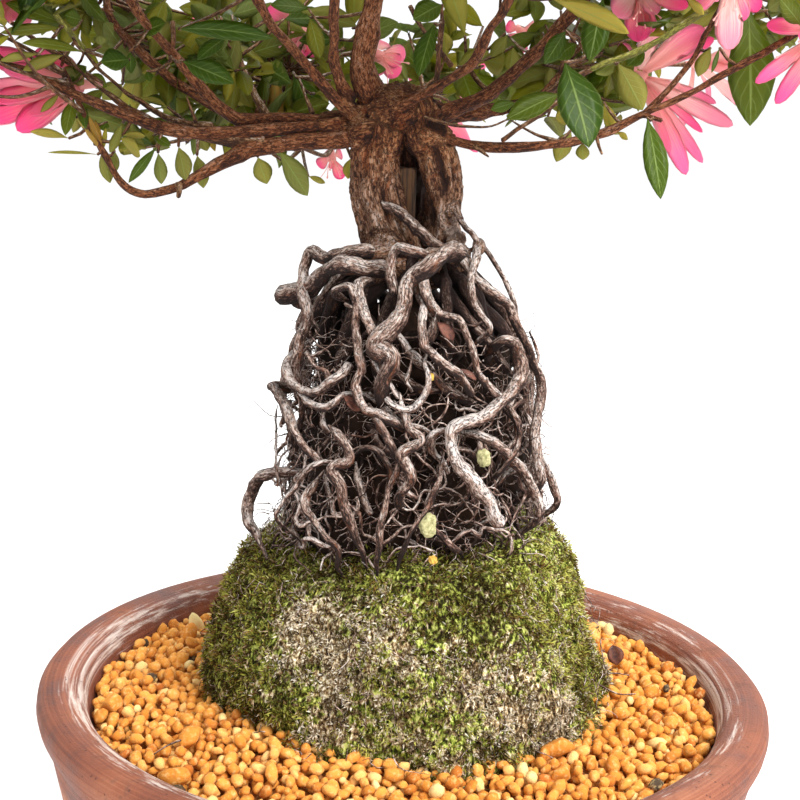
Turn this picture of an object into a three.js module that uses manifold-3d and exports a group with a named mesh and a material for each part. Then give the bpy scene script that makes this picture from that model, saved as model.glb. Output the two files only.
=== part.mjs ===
// A satsuki azalea bonsai in the exposed-root style, standing in its round terracotta training pot.
// Millimetres, +Z up. The origin is the centre of the pot's underside, on the surface that it stands on.
// The viewer's side is -Y. The tree is one piece of living wood. Every leafy spray and every bloom is a
// body of its own that sits on a twig with a hair's gap.
import * as THREE from "three";
import { mergeVertices } from "three/addons/utils/BufferGeometryUtils.js";
import Module from "manifold-3d";

const wasm = await Module();
wasm.setup();

// ---------- driving dimensions ----------
const GAP = 0.35; // between pieces that touch
const SLIVER = 0.08; // edges that the joins leave shorter than this are closed up

const POT_HEIGHT = 85;
const RIM_RADIUS = 120; // outside of the rolled lip
const MOUTH_RADIUS = 105;
const LIP_HEIGHT = 18;
const WALL_TOP_RADIUS = 116.5; // outside of the wall, just under the lip
const FOOT_RADIUS = 103;
const POT_FLOOR = 10;
const INNER_FOOT_RADIUS = 92;
const POT_SIDES = 28;
const DRAIN_RADIUS = 9;
const DRAIN_CIRCLE = 46;
const DRAIN_COUNT = 3;
const SCREEN_RADIUS = 15;
const SCREEN_THICKNESS = 1.6;

const GRIT_LEVEL = 77; // surface of the grit at the pot's wall
const GRIT_RISE = 3.5; // how much higher it lies at the mound
const GRIT_BUMP = 1.7;
const GRIT_SIDES = 40;
const GRIT_RINGS = 4;
const GRIT_INNER_RADIUS = 66; // hidden under the mound
const PEBBLE_COUNT = 7;
const PEBBLE_RADIUS = [3.6, 5.4];

const MOUND_FOOT = 71; // sunk into the grit
const MOUND_TOP = 139;
const MOUND_SIDES = 20;
const MOUND_LEAN = 0.13; // rise of the mound's shoulder towards +X

const TRUNK_X = -5;
const ROOT_CORE_FOOT = 128;
const ROOT_CORE_SIDES = 13;
const STAKE = { width: 5.5, thickness: 2.4, foot: 186, top: 259, x: -5, y: -2.6 };

const CROWN_HEART = [-4, 0, 318]; // the point that the foliage grows away from
const LOWER_PAD_RADIUS = 18;
const UPPER_PAD_RADIUS = 25;
const UPPER_PADS_ABOVE = 350;
const PAD_FLATNESS = 0.6;
const LEAVES_IN_WHORL = 4;
const LEAVES_BELOW = 3;
const LEAF_ROOTING = 0.5; // share of the way out of the core where leaves are rooted
const LEAF_LEAN = [1.0, 1.5];
const LEAF_SIZES = [1, 0.82, 0.64];
const LEAF = { length: 33, halfWidth: 6.4, thickness: 1.6, fold: 0.25, stations: [[0.5, 1]] };
const PETALS = 5;
const PETAL_LEAN = [1.0, 1.3];
const PETAL = { length: 26, halfWidth: 4.4, thickness: 1.6, fold: 0.2, stations: [[0.72, 1]] };
const STAMENS = 1;
const STAMEN_LEAN = [0.15, 0.4];
const STAMEN = { length: 21 };
const FUNNEL_LENGTH = 10;
const FUNNEL_MOUTH = 4.2;
const STALK_LENGTH = 5;
const BLOOM_TURNS = 12;

// ---------- colours and finishes ----------
const finish = (color, roughness) => new THREE.MeshStandardMaterial({ color, roughness, metalness: 0 });
const TERRACOTTA = finish("#9a5a45", 0.85);
const AKADAMA = finish("#e09a3e", 0.95);
const PLASTIC_MESH = finish("#1f2320", 0.6);
const MOSS = finish("#5d6b22", 1);
const BARK = finish("#7a5f52", 0.9);
const BAMBOO = finish("#8a6a3c", 0.75);
const LEAF_GREEN = finish("#3f6b26", 0.5);
const PETAL_PINK = finish("#f2647c", 0.6);

// ---------- small tools ----------

// A repeatable stream of numbers from 0 to 1.
function seeded(seed) {
  let state = seed >>> 0;
  return () => {
    state = (state + 0x6d2b79f5) >>> 0;
    let mixed = Math.imul(state ^ (state >>> 15), 1 | state);
    mixed = (mixed + Math.imul(mixed ^ (mixed >>> 7), 61 | mixed)) ^ mixed;
    return ((mixed ^ (mixed >>> 14)) >>> 0) / 4294967296;
  };
}

const between = (random, low, high) => low + (high - low) * random();
const vec = (p) => new THREE.Vector3(...p);

// A closed three.js geometry as a manifold-3d solid whose faces point outwards.
function solidOf(geometry) {
  const bare = geometry.clone();
  bare.deleteAttribute("normal");
  bare.deleteAttribute("uv");
  const merged = mergeVertices(bare, 1e-4);
  const corners = merged.attributes.position.array;
  const make = (triVerts) =>
    new wasm.Manifold(new wasm.Mesh({ numProp: 3, vertProperties: corners, triVerts }));
  const made = make(new Uint32Array(merged.index.array));
  return made.volume() > 0 ? made : make(new Uint32Array(merged.index.array).reverse());
}

// The largest body of a solid. A boolean can leave loose scraps beside it.
function largest(solid) {
  return solid.decompose().sort((a, b) => b.volume() - a.volume())[0];
}

function geometryOf(solid) {
  const { vertProperties, triVerts, numProp } = solid.simplify(SLIVER).getMesh();
  const count = vertProperties.length / numProp;
  const corners = new Float32Array(count * 3);
  for (let i = 0; i < count; i++) {
    corners.set(vertProperties.subarray(i * numProp, i * numProp + 3), i * 3);
  }
  const geometry = new THREE.BufferGeometry();
  geometry.setAttribute("position", new THREE.BufferAttribute(corners, 3));
  geometry.setIndex(new THREE.BufferAttribute(new Uint32Array(triVerts), 1));
  geometry.computeVertexNormals();
  return geometry;
}

const tree = new THREE.Group();
function place(name, solid, material) {
  const mesh = new THREE.Mesh(geometryOf(solid), material);
  mesh.name = name;
  tree.add(mesh);
}

// A lathe turned about Z from [radius, height] pairs.
function turned(profile, sides) {
  const points = profile.map(([radius, height]) => new THREE.Vector2(radius, height));
  return new THREE.LatheGeometry(points, sides).rotateX(Math.PI / 2);
}

// Moves each corner of a geometry by a rule that depends on where it is, so that shared corners stay shared.
function reshape(geometry, rule) {
  const position = geometry.attributes.position;
  const point = new THREE.Vector3();
  for (let i = 0; i < position.count; i++) {
    rule(point.fromBufferAttribute(position, i));
    position.setXYZ(i, point.x, point.y, point.z);
  }
  return geometry;
}

// A round limb along a smooth route, tapering through a list of radii: a cylinder bent along a curve.
// grow makes it fatter and longer all round, for cutting the hole that it stands in.
function limb(route, radii, sides, steps, grow = 0) {
  const curve = new THREE.CatmullRomCurve3(route.map(vec), false, "centripetal");
  const { normals, binormals, tangents } = curve.computeFrenetFrames(steps, false);
  return reshape(new THREE.CylinderGeometry(1, 1, 1, sides, steps), (p) => {
    const row = Math.round((0.5 - p.y) * steps);
    const spot = (row / steps) * (radii.length - 1);
    const low = Math.min(Math.floor(spot), radii.length - 2);
    const radius = THREE.MathUtils.lerp(radii[low], radii[low + 1], spot - low) + grow;
    const across = normals[row].clone().multiplyScalar(p.x * radius);
    across.addScaledVector(binormals[row], p.z * radius);
    p.copy(curve.getPointAt(row / steps)).add(across);
    if (row === 0) p.addScaledVector(tangents[0], -grow);
    if (row === steps) p.addScaledVector(tangents[steps], grow);
  });
}

// An uneven rounded lump with the given centre and half sizes.
function lump(centre, sizes, detail, unevenness, grow = 0) {
  return reshape(new THREE.IcosahedronGeometry(1, detail), (p) => {
    const ripple = Math.sin(3.1 * p.x + centre[0]) * Math.cos(2.7 * p.y + 2.3 * p.z + centre[2]);
    const swell = 1 + unevenness * ripple;
    p.set(
      centre[0] + p.x * (sizes[0] * swell + grow),
      centre[1] + p.y * (sizes[1] * swell + grow),
      centre[2] + p.z * (sizes[2] * swell + grow),
    );
  });
}

// A thin blade with a midrib, folded a little along it and arched: thickest at the rib, thin at the edge.
// stations are [share of the length, share of the half width] between its two pointed ends.
function blade({ root, along, face, length, halfWidth, thickness, arch, fold, stations }) {
  const side = along.clone().cross(face).normalize();
  const centre = (t) =>
    root.clone().addScaledVector(along, length * t).addScaledVector(face, -arch * length * t * t);
  const corners = [centre(0)];
  for (const [t, share] of stations) {
    const middle = centre(t);
    const out = halfWidth * share;
    for (const way of [-1, 1]) {
      corners.push(middle.clone().addScaledVector(side, way * out).addScaledVector(face, fold * out));
    }
    corners.push(middle.clone().addScaledVector(face, thickness / 2));
    corners.push(middle.clone().addScaledVector(face, -thickness / 2));
  }
  corners.push(centre(1));
  const [LEFT, RIGHT, TOP, BELOW] = [1, 2, 3, 4];
  const at = (station, which) => 4 * station + which;
  const last = corners.length - 1;
  const faces = [];
  for (const [rib, turn] of [[TOP, false], [BELOW, true]]) {
    const add = (a, b, c) => faces.push(...(turn ? [a, c, b] : [a, b, c]));
    add(0, at(0, rib), at(0, LEFT));
    add(0, at(0, RIGHT), at(0, rib));
    for (let k = 0; k < stations.length - 1; k++) {
      add(at(k, LEFT), at(k, rib), at(k + 1, rib));
      add(at(k, LEFT), at(k + 1, rib), at(k + 1, LEFT));
      add(at(k, rib), at(k, RIGHT), at(k + 1, RIGHT));
      add(at(k, rib), at(k + 1, RIGHT), at(k + 1, rib));
    }
    const end = stations.length - 1;
    add(at(end, LEFT), at(end, rib), last);
    add(at(end, rib), at(end, RIGHT), last);
  }
  const geometry = new THREE.BufferGeometry().setFromPoints(corners);
  geometry.setIndex(faces);
  return geometry;
}

// ---------- the pot, its drainage screens and the grit ----------

function potSolid() {
  const lipFoot = POT_HEIGHT - LIP_HEIGHT;
  const profile = [
    [0, 0],
    [FOOT_RADIUS - 2, 0],
    [FOOT_RADIUS, 3],
    [WALL_TOP_RADIUS, lipFoot],
    [RIM_RADIUS - 1.5, lipFoot + 2],
    [RIM_RADIUS, lipFoot + 6],
    [RIM_RADIUS - 0.4, POT_HEIGHT - 5],
    [RIM_RADIUS - 3.5, POT_HEIGHT - 1],
    [RIM_RADIUS - 7.5, POT_HEIGHT],
    [MOUTH_RADIUS + 3, POT_HEIGHT - 0.6],
    [MOUTH_RADIUS, POT_HEIGHT - 4],
    [INNER_FOOT_RADIUS + 2, POT_FLOOR + 4],
    [INNER_FOOT_RADIUS - 4, POT_FLOOR],
    [0, POT_FLOOR],
  ];
  let pot = solidOf(turned(profile, POT_SIDES));
  for (const [x, y] of drainPlaces()) {
    const bore = new THREE.CylinderGeometry(DRAIN_RADIUS, DRAIN_RADIUS, 3 * POT_FLOOR, 12);
    pot = pot.subtract(solidOf(bore.rotateX(Math.PI / 2).translate(x, y, 0)));
  }
  return pot;
}

function drainPlaces() {
  return Array.from({ length: DRAIN_COUNT }, (_, k) => {
    const turn = (2 * Math.PI * k) / DRAIN_COUNT + Math.PI / 2;
    return [DRAIN_CIRCLE * Math.cos(turn), DRAIN_CIRCLE * Math.sin(turn)];
  });
}

// A plastic screen that lies over a drainage hole, inside the pot.
function screenSolid(x, y, grow = 0) {
  const radius = SCREEN_RADIUS + grow;
  const middle = POT_FLOOR + GAP + SCREEN_THICKNESS / 2;
  const disc = new THREE.CylinderGeometry(radius, radius, SCREEN_THICKNESS + 2 * grow, 12);
  return solidOf(disc.rotateX(Math.PI / 2).translate(x, y, middle));
}

// The grit fills the pot. Its top is a ring of small bumps, raised by a formula, with larger pebbles on it.
function gritSolid() {
  const wallTop = [MOUTH_RADIUS - 1.3, GRIT_LEVEL];
  const ringWidth = (wallTop[0] - GRIT_INNER_RADIUS) / GRIT_RINGS;
  const profile = [
    [0, POT_FLOOR + GAP],
    [INNER_FOOT_RADIUS - 4.5, POT_FLOOR + GAP],
    [INNER_FOOT_RADIUS + 1, POT_FLOOR + 4.4],
  ];
  for (let ring = 0; ring <= GRIT_RINGS; ring++) {
    profile.push([wallTop[0] - ring * ringWidth, GRIT_LEVEL + (GRIT_RISE * ring) / GRIT_RINGS]);
  }
  profile.push([0, GRIT_LEVEL - 8]);
  const body = reshape(turned(profile, GRIT_SIDES), (p) => {
    const radius = Math.hypot(p.x, p.y);
    const onTop = p.z > GRIT_LEVEL - 0.5 && radius > GRIT_INNER_RADIUS + 1;
    if (!onTop) return;
    const ring = Math.round((wallTop[0] - radius) / ringWidth);
    const turn = Math.round((Math.atan2(p.y, p.x) / (2 * Math.PI)) * GRIT_SIDES);
    const odd = (ring + turn) % 2 === 0 ? 1 : -1;
    const uneven = Math.sin(turn * 2.4 + ring * 1.7) * 0.7;
    if (ring > 0) p.z += GRIT_BUMP * (0.7 * odd + uneven);
  });
  const random = seeded(77);
  const pebbles = Array.from({ length: PEBBLE_COUNT }, () => {
    const turn = 2 * Math.PI * random();
    const size = between(random, ...PEBBLE_RADIUS);
    const radius = between(random, GRIT_INNER_RADIUS + 14, MOUTH_RADIUS - 4 - size);
    const centre = [radius * Math.cos(turn), radius * Math.sin(turn), GRIT_LEVEL + 2.2];
    return solidOf(lump(centre, [size, size * 0.8, size * 0.7], 0, 0.15));
  });
  let grit = wasm.Manifold.union([solidOf(body), ...pebbles]);
  for (const [x, y] of drainPlaces()) grit = grit.subtract(screenSolid(x, y, GAP));
  return largest(grit.subtract(moundSolid(GAP)));
}

// ---------- the mossy mound ----------

function moundSolid(grow = 0) {
  const profile = [
    [0, MOUND_FOOT - grow],
    [69, MOUND_FOOT - grow],
    [72, 82],
    [70.5, 92],
    [67, 104],
    [62, 115],
    [56, 125],
    [48, 133],
    [36, MOUND_TOP],
    [0, MOUND_TOP],
  ];
  const rise = MOUND_TOP - MOUND_FOOT;
  return solidOf(
    reshape(turned(profile, MOUND_SIDES), (p) => {
      const turn = Math.atan2(p.y, p.x);
      const height = Math.max(0, (p.z - MOUND_FOOT) / rise);
      const folds = 0.028 * Math.sin(5 * turn + 1.1) + 0.024 * Math.sin(9 * turn + 5 * height);
      const swell = 1 + folds * (1.4 - height);
      const radius = Math.hypot(p.x, p.y) || 1;
      const out = (radius > 1 ? grow : 0) / radius;
      p.z += height * (MOUND_LEAN * p.x + 1.6 * Math.sin(4 * turn + 2)) + (p.z > MOUND_TOP - 20 ? grow : 0);
      p.x *= swell + out;
      p.y *= swell + out;
    }),
  );
}

// ---------- the wood: roots, trunk and branches, grown as one piece ----------

// Roots that show from the front, left to right: a route and the radii along it.
const FRONT_ROOTS = [
  {
    route: [
      [-10, -10, 228], [-20, -18, 229], [-29, -10, 226], [-35, -2, 227], [-37, -5, 218],
      [-35, -13, 206], [-38, -15, 194], [-36, -14, 182],
    ],
    radii: [3.2, 2.3, 2.1],
  },
  {
    route: [
      [-8, -12, 224], [-17, -22, 224], [-25, -18, 225], [-31, -11, 220], [-38, -1, 214], [-43, 3, 212],
      [-40, 10, 207], [-30, 12, 200], [-20, 8, 190],
    ],
    radii: [3.8, 3.5, 3.8, 2.8],
  },
  {
    route: [
      [-22, -18, 214], [-26, -24, 217], [-20, -29, 219], [-19, -33, 210], [-18, -36, 202],
      [-16, -39, 197], [-18, -39, 191], [-16, -41, 186], [-9, -44, 183], [-3, -42, 179],
    ],
    radii: [1.7, 1.9, 1.8, 1.5],
  },
  {
    route: [
      [-12, -14, 222], [-19, -27, 219], [-17, -32, 214], [-14, -36, 207], [-11, -38, 202],
    ],
    radii: [2.6, 2.1, 1.8],
  },
  {
    route: [
      [12, -14, 229], [7, -26, 230], [2, -30, 227], [-4, -32, 222], [-5, -35, 214], [-9, -37, 208],
      [-13, -39, 203], [-8, -42, 200], [-10, -42, 194], [-9, -38, 186],
    ],
    radii: [3.4, 3.1, 2.8, 4.3, 2.4],
  },
  {
    route: [
      [6, -20, 229], [-2, -28, 231], [-7, -28, 232], [-9, -29, 226], [-8, -31, 218],
    ],
    radii: [2, 1.9, 1.8],
  },
  {
    route: [
      [13, -14, 229], [5, -21, 231], [-4, -20, 236], [-9, -14, 240],
    ],
    radii: [2.4, 2.1, 1.8],
  },
  {
    route: [
      [4, -16, 226], [1, -30, 222], [5, -35, 214], [12, -36, 211], [15, -37, 205], [19, -38, 196],
      [25, -36, 189],
    ],
    radii: [2.2, 2, 1.5, 1.3],
  },
  {
    route: [
      [0, -24, 220], [1, -35, 213], [1, -38, 207], [5, -40, 201], [12, -41, 197], [16, -38, 190],
    ],
    radii: [2.1, 1.9, 1.6],
  },
  {
    route: [
      [8, -12, 230], [14, -22, 226], [19, -25, 221], [26, -25, 216], [31, -24, 208], [35, -21, 199],
      [39, -20, 191], [38, -22, 180], [38, -26, 168], [41, -28, 152], [44, -28, 134],
    ],
    radii: [2.4, 1.9, 1.7, 2, 1.8],
  },
  {
    route: [
      [10, -6, 244], [13, -12, 238], [19, -16, 231], [25, -18, 223], [29, -20, 214], [30, -18, 206],
    ],
    radii: [1.2, 0.9, 0.8],
  },
  {
    route: [
      [18, -12, 232], [17, -22, 230], [15, -28, 223], [17, -31, 216], [21, -32, 210], [18, -30, 204],
    ],
    radii: [2, 1.6, 1.2],
  },
  {
    route: [
      [20, -22, 198], [26, -31, 206], [31, -29, 201], [31, -30, 194], [26, -36, 188], [20, -41, 184],
      [11, -46, 181], [12, -47, 174], [17, -47, 166], [23, -46, 159], [27, -44, 152],
    ],
    radii: [2, 2.4, 2.6, 2.6, 2.9],
  },
  {
    route: [
      [-34, -10, 200], [-41, -14, 193], [-37, -24, 188], [-31, -32, 188], [-24, -36, 193],
      [-20, -33, 197],
    ],
    radii: [1.9, 1.9, 1.7],
  },
  {
    route: [
      [-38, 6, 180], [-46, -4, 184], [-42, -16, 182], [-39, -25, 179], [-34, -34, 172],
      [-28, -38, 167],
    ],
    radii: [1.8, 1.9, 1.3],
  },
  {
    route: [
      [-36, -26, 186], [-31, -33, 184], [-26, -37, 184], [-21, -37, 188], [-14, -34, 187],
    ],
    radii: [1.5, 1.5, 1.3],
  },
  {
    route: [
      [-14, -38, 186], [-9, -46, 179], [-5, -48, 171], [-7, -49, 163], [-9, -51, 155], [-11, -54, 146],
      [-11, -57, 136], [-11, -58, 124],
    ],
    radii: [1.4, 1.3, 1.2, 1.1],
  },
  {
    route: [
      [-5, -40, 190], [-2, -46, 181], [1, -47, 177], [-4, -49, 173], [-1, -49, 167], [-4, -47, 160],
      [-3, -40, 154],
    ],
    radii: [1.5, 1.6, 2, 1.9, 1.4],
  },
  {
    route: [
      [-26, -34, 178], [-20, -43, 174], [-19, -44, 170], [-24, -44, 167], [-21, -46, 160],
      [-18, -46, 152], [-14, -46, 142],
    ],
    radii: [1.6, 1.7, 1.6, 1.2],
  },
  {
    route: [
      [-22, -42, 169], [-29, -40, 167], [-35, -37, 160], [-42, -38, 150], [-50, -38, 139],
    ],
    radii: [1.2, 0.9, 0.7],
  },
  {
    route: [
      [-27, -34, 164], [-32, -40, 155], [-28, -45, 149], [-22, -49, 144], [-23, -53, 138],
      [-22, -52, 128],
    ],
    radii: [1.5, 1.5, 1.3],
  },
  {
    route: [
      [-34, -12, 162], [-43, -17, 160], [-52, -12, 155], [-57, -6, 148], [-56, -10, 140],
      [-52, -18, 132], [-48, -24, 122],
    ],
    radii: [1.6, 1.8, 1.7, 1.3],
  },
  {
    route: [
      [9, -40, 173], [7, -48, 164], [4, -50, 157], [0, -52, 151], [-4, -53, 144], [-6, -53, 132],
    ],
    radii: [1.3, 1.1, 0.9],
  },
  {
    route: [
      [13, -36, 178], [21, -42, 178], [28, -39, 172], [34, -35, 165], [38, -33, 157], [42, -36, 146],
      [44, -38, 132],
    ],
    radii: [1.6, 1.7, 1.8, 1.2],
  },
  {
    route: [
      [24, -30, 188], [31, -35, 182], [32, -36, 176], [28, -40, 170], [25, -36, 164],
    ],
    radii: [1.3, 1.2, 1.1],
  },
  {
    route: [
      [36, -16, 172], [42, -23, 165], [48, -20, 158], [53, -18, 150], [56, -20, 140], [55, -22, 128],
    ],
    radii: [1.8, 2, 2.1, 1.8],
  },
  {
    route: [
      [4, -8, 226], [9, -18, 218], [15, -22, 210], [22, -26, 203], [27, -26, 195],
    ],
    radii: [2.4, 2.1, 1.9],
  },
];

// Roots round the sides and the back, worked out from a rule: they leave the trunk's flare, wander over the
// root column and end in the mound.
const BACK_ROOTS = 11;
function backRoots() {
  const random = seeded(23);
  return Array.from({ length: BACK_ROOTS }, (_, k) => {
    const start = -0.12 * Math.PI + (1.24 * Math.PI * (k + 0.5)) / BACK_ROOTS;
    const heights = [230, 220, 202, 182, 160, 138, 122];
    const radiiOut = [12, 26, 38, 41, 44, 50, 53];
    let turn = start;
    const route = heights.map((height, step) => {
      turn += step < 2 ? 0 : between(random, -0.2, 0.2);
      const out = radiiOut[step] + (step > 1 ? between(random, -3, 3) : 0);
      const middle = TRUNK_X * (step < 2 ? 1 : 0.4);
      return [middle + out * Math.cos(turn), out * Math.sin(turn), height + between(random, -3, 3)];
    });
    return { route, radii: [3, between(random, 2, 3), between(random, 1.4, 2.2), 1.3] };
  });
}

// The trunk is three stems that have grown together above and below a gap.
const STEMS = [
  {
    route: [
      [-12, -3, 224], [-14, -4, 236], [-15.5, -3, 250], [-14, -1, 268],
    ],
    radii: [9.5, 7.6, 7, 8.5],
  },
  { route: [[8, -2, 226], [7, -3, 238], [5.8, -3, 250], [2, -1, 266]], radii: [7.5, 5.4, 6, 7] },
  { route: [[-4, 10, 224], [-4, 10, 245], [-6, 8, 268]], radii: [9, 8, 9] },
];
const TRUNK_LUMPS = [
  { centre: [-3, 1, 226], sizes: [18, 14, 8] },
  { centre: [-9, 1, 273], sizes: [17, 12, 10] },
];

// Main branches: a route and the radii along it. Each one ends in a pad of foliage. Where that pad's core is
// smaller than usual, pad is its radius.
const BRANCHES = [
  {
    route: [
      [-16, -3, 264], [-37, -6, 262], [-49, -8, 259], [-61, -10, 255], [-70, -12, 250],
      [-80, -14, 245], [-90, -17, 246], [-96, -19, 252], [-101, -20, 262], [-108, -22, 280],
    ],
    radii: [3.6, 2.4, 1.8, 1.4, 0.9],
  },
  {
    route: [
      [-16, 0, 270], [-42, 0, 267], [-57, -4, 267], [-67, -8, 274], [-79, -13, 287], [-91, -19, 299],
      [-100, -26, 322],
    ],
    radii: [4.6, 3.2, 2.4, 1.6],
  },
  {
    route: [
      [-46, -5, 265], [-62, -14, 264], [-78, -20, 264], [-93, -24, 269], [-110, -28, 276],
      [-124, -30, 284], [-140, -30, 306],
    ],
    radii: [2.4, 1.8, 1.4, 1],
  },
  {
    route: [
      [-54, -2, 268], [-70, 4, 274], [-84, 12, 285], [-96, 20, 300], [-106, 28, 318],
    ],
    radii: [2.4, 1.9, 1.4],
  },
  {
    route: [
      [-18, -4, 272], [-34, -14, 281], [-42, -24, 291], [-50, -38, 304], [-60, -58, 328],
    ],
    radii: [2.6, 1.8, 1.4],
  },
  {
    route: [
      [-18, -4, 274], [-27, -14, 284], [-28, -24, 297], [-26, -44, 314], [-22, -68, 336],
    ],
    radii: [2.4, 1.7, 1.3],
  },
  {
    route: [
      [-14, 0, 268], [-20, 0, 284], [-18, 2, 302], [-12, 4, 332], [-6, 4, 366], [-4, 2, 400],
      [-4, 0, 436],
    ],
    radii: [7.5, 5.2, 4.2, 3.2, 1.6],
  },
  {
    route: [
      [-8, -4, 272], [4, -10, 279], [14, -18, 287], [19, -28, 298], [26, -44, 314], [36, -64, 334],
    ],
    radii: [2.8, 1.9, 1.4],
  },
  {
    route: [
      [2, 0, 270], [18, 0, 279], [28, -2, 287], [40, -4, 299], [56, -8, 316], [72, -12, 338],
    ],
    radii: [4, 2.8, 2.2, 1.4],
  },
  {
    route: [
      [2, -3, 265], [26, -8, 262], [44, -11, 265], [60, -13, 270], [76, -16, 278], [92, -19, 287],
      [110, -24, 299], [132, -28, 320],
    ],
    radii: [3.2, 2, 1.6, 1],
  },
  { route: [[66, -14, 273], [77, -8, 284], [88, 2, 298], [98, 14, 318]], radii: [1.5, 1.2, 1] },
  {
    route: [
      [-4, 6, 270], [14, 10, 272], [30, 20, 275], [46, 36, 278], [62, 52, 282], [74, 64, 290],
    ],
    radii: [5, 3.4, 2.2, 1.4],
  },
  {
    route: [
      [-16, 8, 268], [-36, 24, 268], [-52, 42, 270], [-62, 58, 275], [-70, 72, 285],
    ],
    radii: [3.6, 2.4, 1.4],
  },
  { route: [[-8, 10, 268], [-8, 32, 269], [-4, 60, 272], [0, 88, 282]], radii: [3.4, 2.2, 1.3] },
  {
    route: [
      [-50, -1, 267], [-54, 12, 270], [-50, 24, 276], [-46, 34, 284],
    ],
    radii: [1.8, 1.4, 1.1],
  },
  { route: [[26, 16, 274], [36, 14, 278], [44, 12, 288]], radii: [1.8, 1.4, 1.1] },
  { route: [[39, -4, 298], [44, -14, 295], [46, -24, 290]], radii: [1.3, 1.1, 0.9], pad: 7 },
  { route: [[58, -13, 269], [65, -17, 273], [70, -20, 272]], radii: [1.2, 1, 0.9], pad: 6 },
  { route: [[-66, -15, 264], [-72, -6, 262], [-75, 2, 260]], radii: [1.2, 1, 0.9], pad: 6 },
  { route: [[-38, 26, 268], [-40, 22, 264], [-40, 18, 259]], radii: [1.3, 1, 0.9], pad: 7 },
];

// Pads on the upper dome, each on a branch that leaves the leader at its own height.
const UPPER_TIERS = [
  { count: 6, spread: 100, height: 366, leaves: 318, turn: 0.35 },
  { count: 3, spread: 50, height: 412, leaves: 372, turn: 0.1 },
];
const UPPER_ROUTE = [[0, 0], [0.35, 0.2], [0.75, 0.55], [1, 1]]; // shares of the way out and of the rise
function upperBranches() {
  const made = [];
  for (const tier of UPPER_TIERS) {
    for (let k = 0; k < tier.count; k++) {
      const turn = (2 * Math.PI * k) / tier.count + tier.turn;
      const toward = [Math.cos(turn), Math.sin(turn)];
      const at = (share, height) => [
        CROWN_HEART[0] - 8 * (1 - share) + toward[0] * tier.spread * share,
        CROWN_HEART[1] + 3 * (1 - share) + toward[1] * tier.spread * share,
        height,
      ];
      const rise = tier.height - tier.leaves;
      made.push({
        route: UPPER_ROUTE.map(([out, up]) => at(out, tier.leaves + up * rise)),
        radii: [2.2, 1.6, 1.1],
      });
    }
  }
  return made;
}

const WOOD_LIMBS = [
  ...STEMS.map((s) => ({ ...s, sides: 8, stepsPerLeg: 1.34 })),
  ...FRONT_ROOTS.map((s) => ({ ...s, sides: s.radii[0] > 2.1 ? 5 : 4, stepsPerLeg: 0.9 })),
  ...backRoots().map((s) => ({ ...s, sides: 4, stepsPerLeg: 1 })),
  ...BRANCHES.map((s) => ({ ...s, sides: s.radii[0] > 3 ? 5 : 4, stepsPerLeg: 1 })),
  ...upperBranches().map((s) => ({ ...s, sides: 4, stepsPerLeg: 1 })),
];

// The matted fine roots that fill the lower part of the root column.
function rootCore(grow) {
  const profile = [
    [0, ROOT_CORE_FOOT - grow],
    [36, ROOT_CORE_FOOT - grow],
    [39, 146],
    [38, 160],
    [36, 174],
    [32, 186],
    [22, 196],
    [0, 202 + grow],
  ];
  return reshape(turned(profile, ROOT_CORE_SIDES), (p) => {
    const turn = Math.atan2(p.y, p.x);
    const radius = Math.hypot(p.x, p.y) || 1;
    const swell = 1 + 0.09 * Math.sin(5 * turn + p.z * 0.16) + (radius > 1 ? grow : 0) / radius;
    p.x *= swell;
    p.y *= swell;
  });
}

function woodSolid(grow = 0) {
  const limbs = WOOD_LIMBS.map(({ route, radii, sides, stepsPerLeg }) =>
    solidOf(limb(route, radii, sides, Math.round((route.length - 1) * stepsPerLeg), grow)),
  );
  const lumps = TRUNK_LUMPS.map(({ centre, sizes }) => solidOf(lump(centre, sizes, 1, 0.12, grow)));
  return wasm.Manifold.union([...limbs, ...lumps, solidOf(rootCore(grow))]);
}

// A split bamboo cane that props the tree, in the gap between its stems.
function stakeSolid(grow = 0) {
  const { width, thickness, foot, top, x, y } = STAKE;
  const box = new THREE.BoxGeometry(width + 2 * grow, thickness + 2 * grow, top - foot + 2 * grow);
  return solidOf(box.translate(x, y, (foot + top) / 2));
}

// ---------- foliage and blooms ----------

// Every branch but the leader's foot ends in a pad of foliage, whose centre is the branch's tip.
function padPlaces() {
  return [...BRANCHES, ...upperBranches()].map(({ route, pad }) => {
    const centre = vec(route.at(-1));
    const usual = centre.z > UPPER_PADS_ABOVE ? UPPER_PAD_RADIUS : LOWER_PAD_RADIUS;
    const wide = pad ?? usual;
    return { centre, sizes: [wide, wide, PAD_FLATNESS * wide], isShoot: pad !== undefined };
  });
}

// How far a pad's core reaches from its centre in a direction.
const reachOf = (sizes, way) => 1 / Math.hypot(way.x / sizes[0], way.y / sizes[1], way.z / sizes[2]);

// Blooms stand on the outside of a pad: which pad, and which way they open.
const BLOOMS = [
  { pad: 2, toward: [0.2, 0.75, -0.65] },
  { pad: 15, toward: [0.85, -0.1, -0.45] },
  { pad: 9, toward: [-0.2, -0.3, -0.9] },
  { pad: 9, toward: [0.95, 0.25, 0.15] },
  { pad: 11, toward: [0.85, 0.5, 0.1] },
  { pad: 12, toward: [-0.6, 0.8, 0.1] },
  { pad: 13, toward: [0.1, 0.99, -0.1] },
  { pad: 3, toward: [-0.9, 0.4, 0.1] },
  { pad: 5, toward: [0.3, -0.95, -0.15] },
  { pad: 8, toward: [0.35, -0.35, -0.87] },
  { pad: 20, toward: [0.85, 0.1, 0.5] },
  { pad: 22, toward: [-0.5, 0.7, 0.5] },
  { pad: 24, toward: [-0.3, -0.8, 0.5] },
  { pad: 6, toward: [0.3, -0.4, 0.9] },
];

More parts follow.
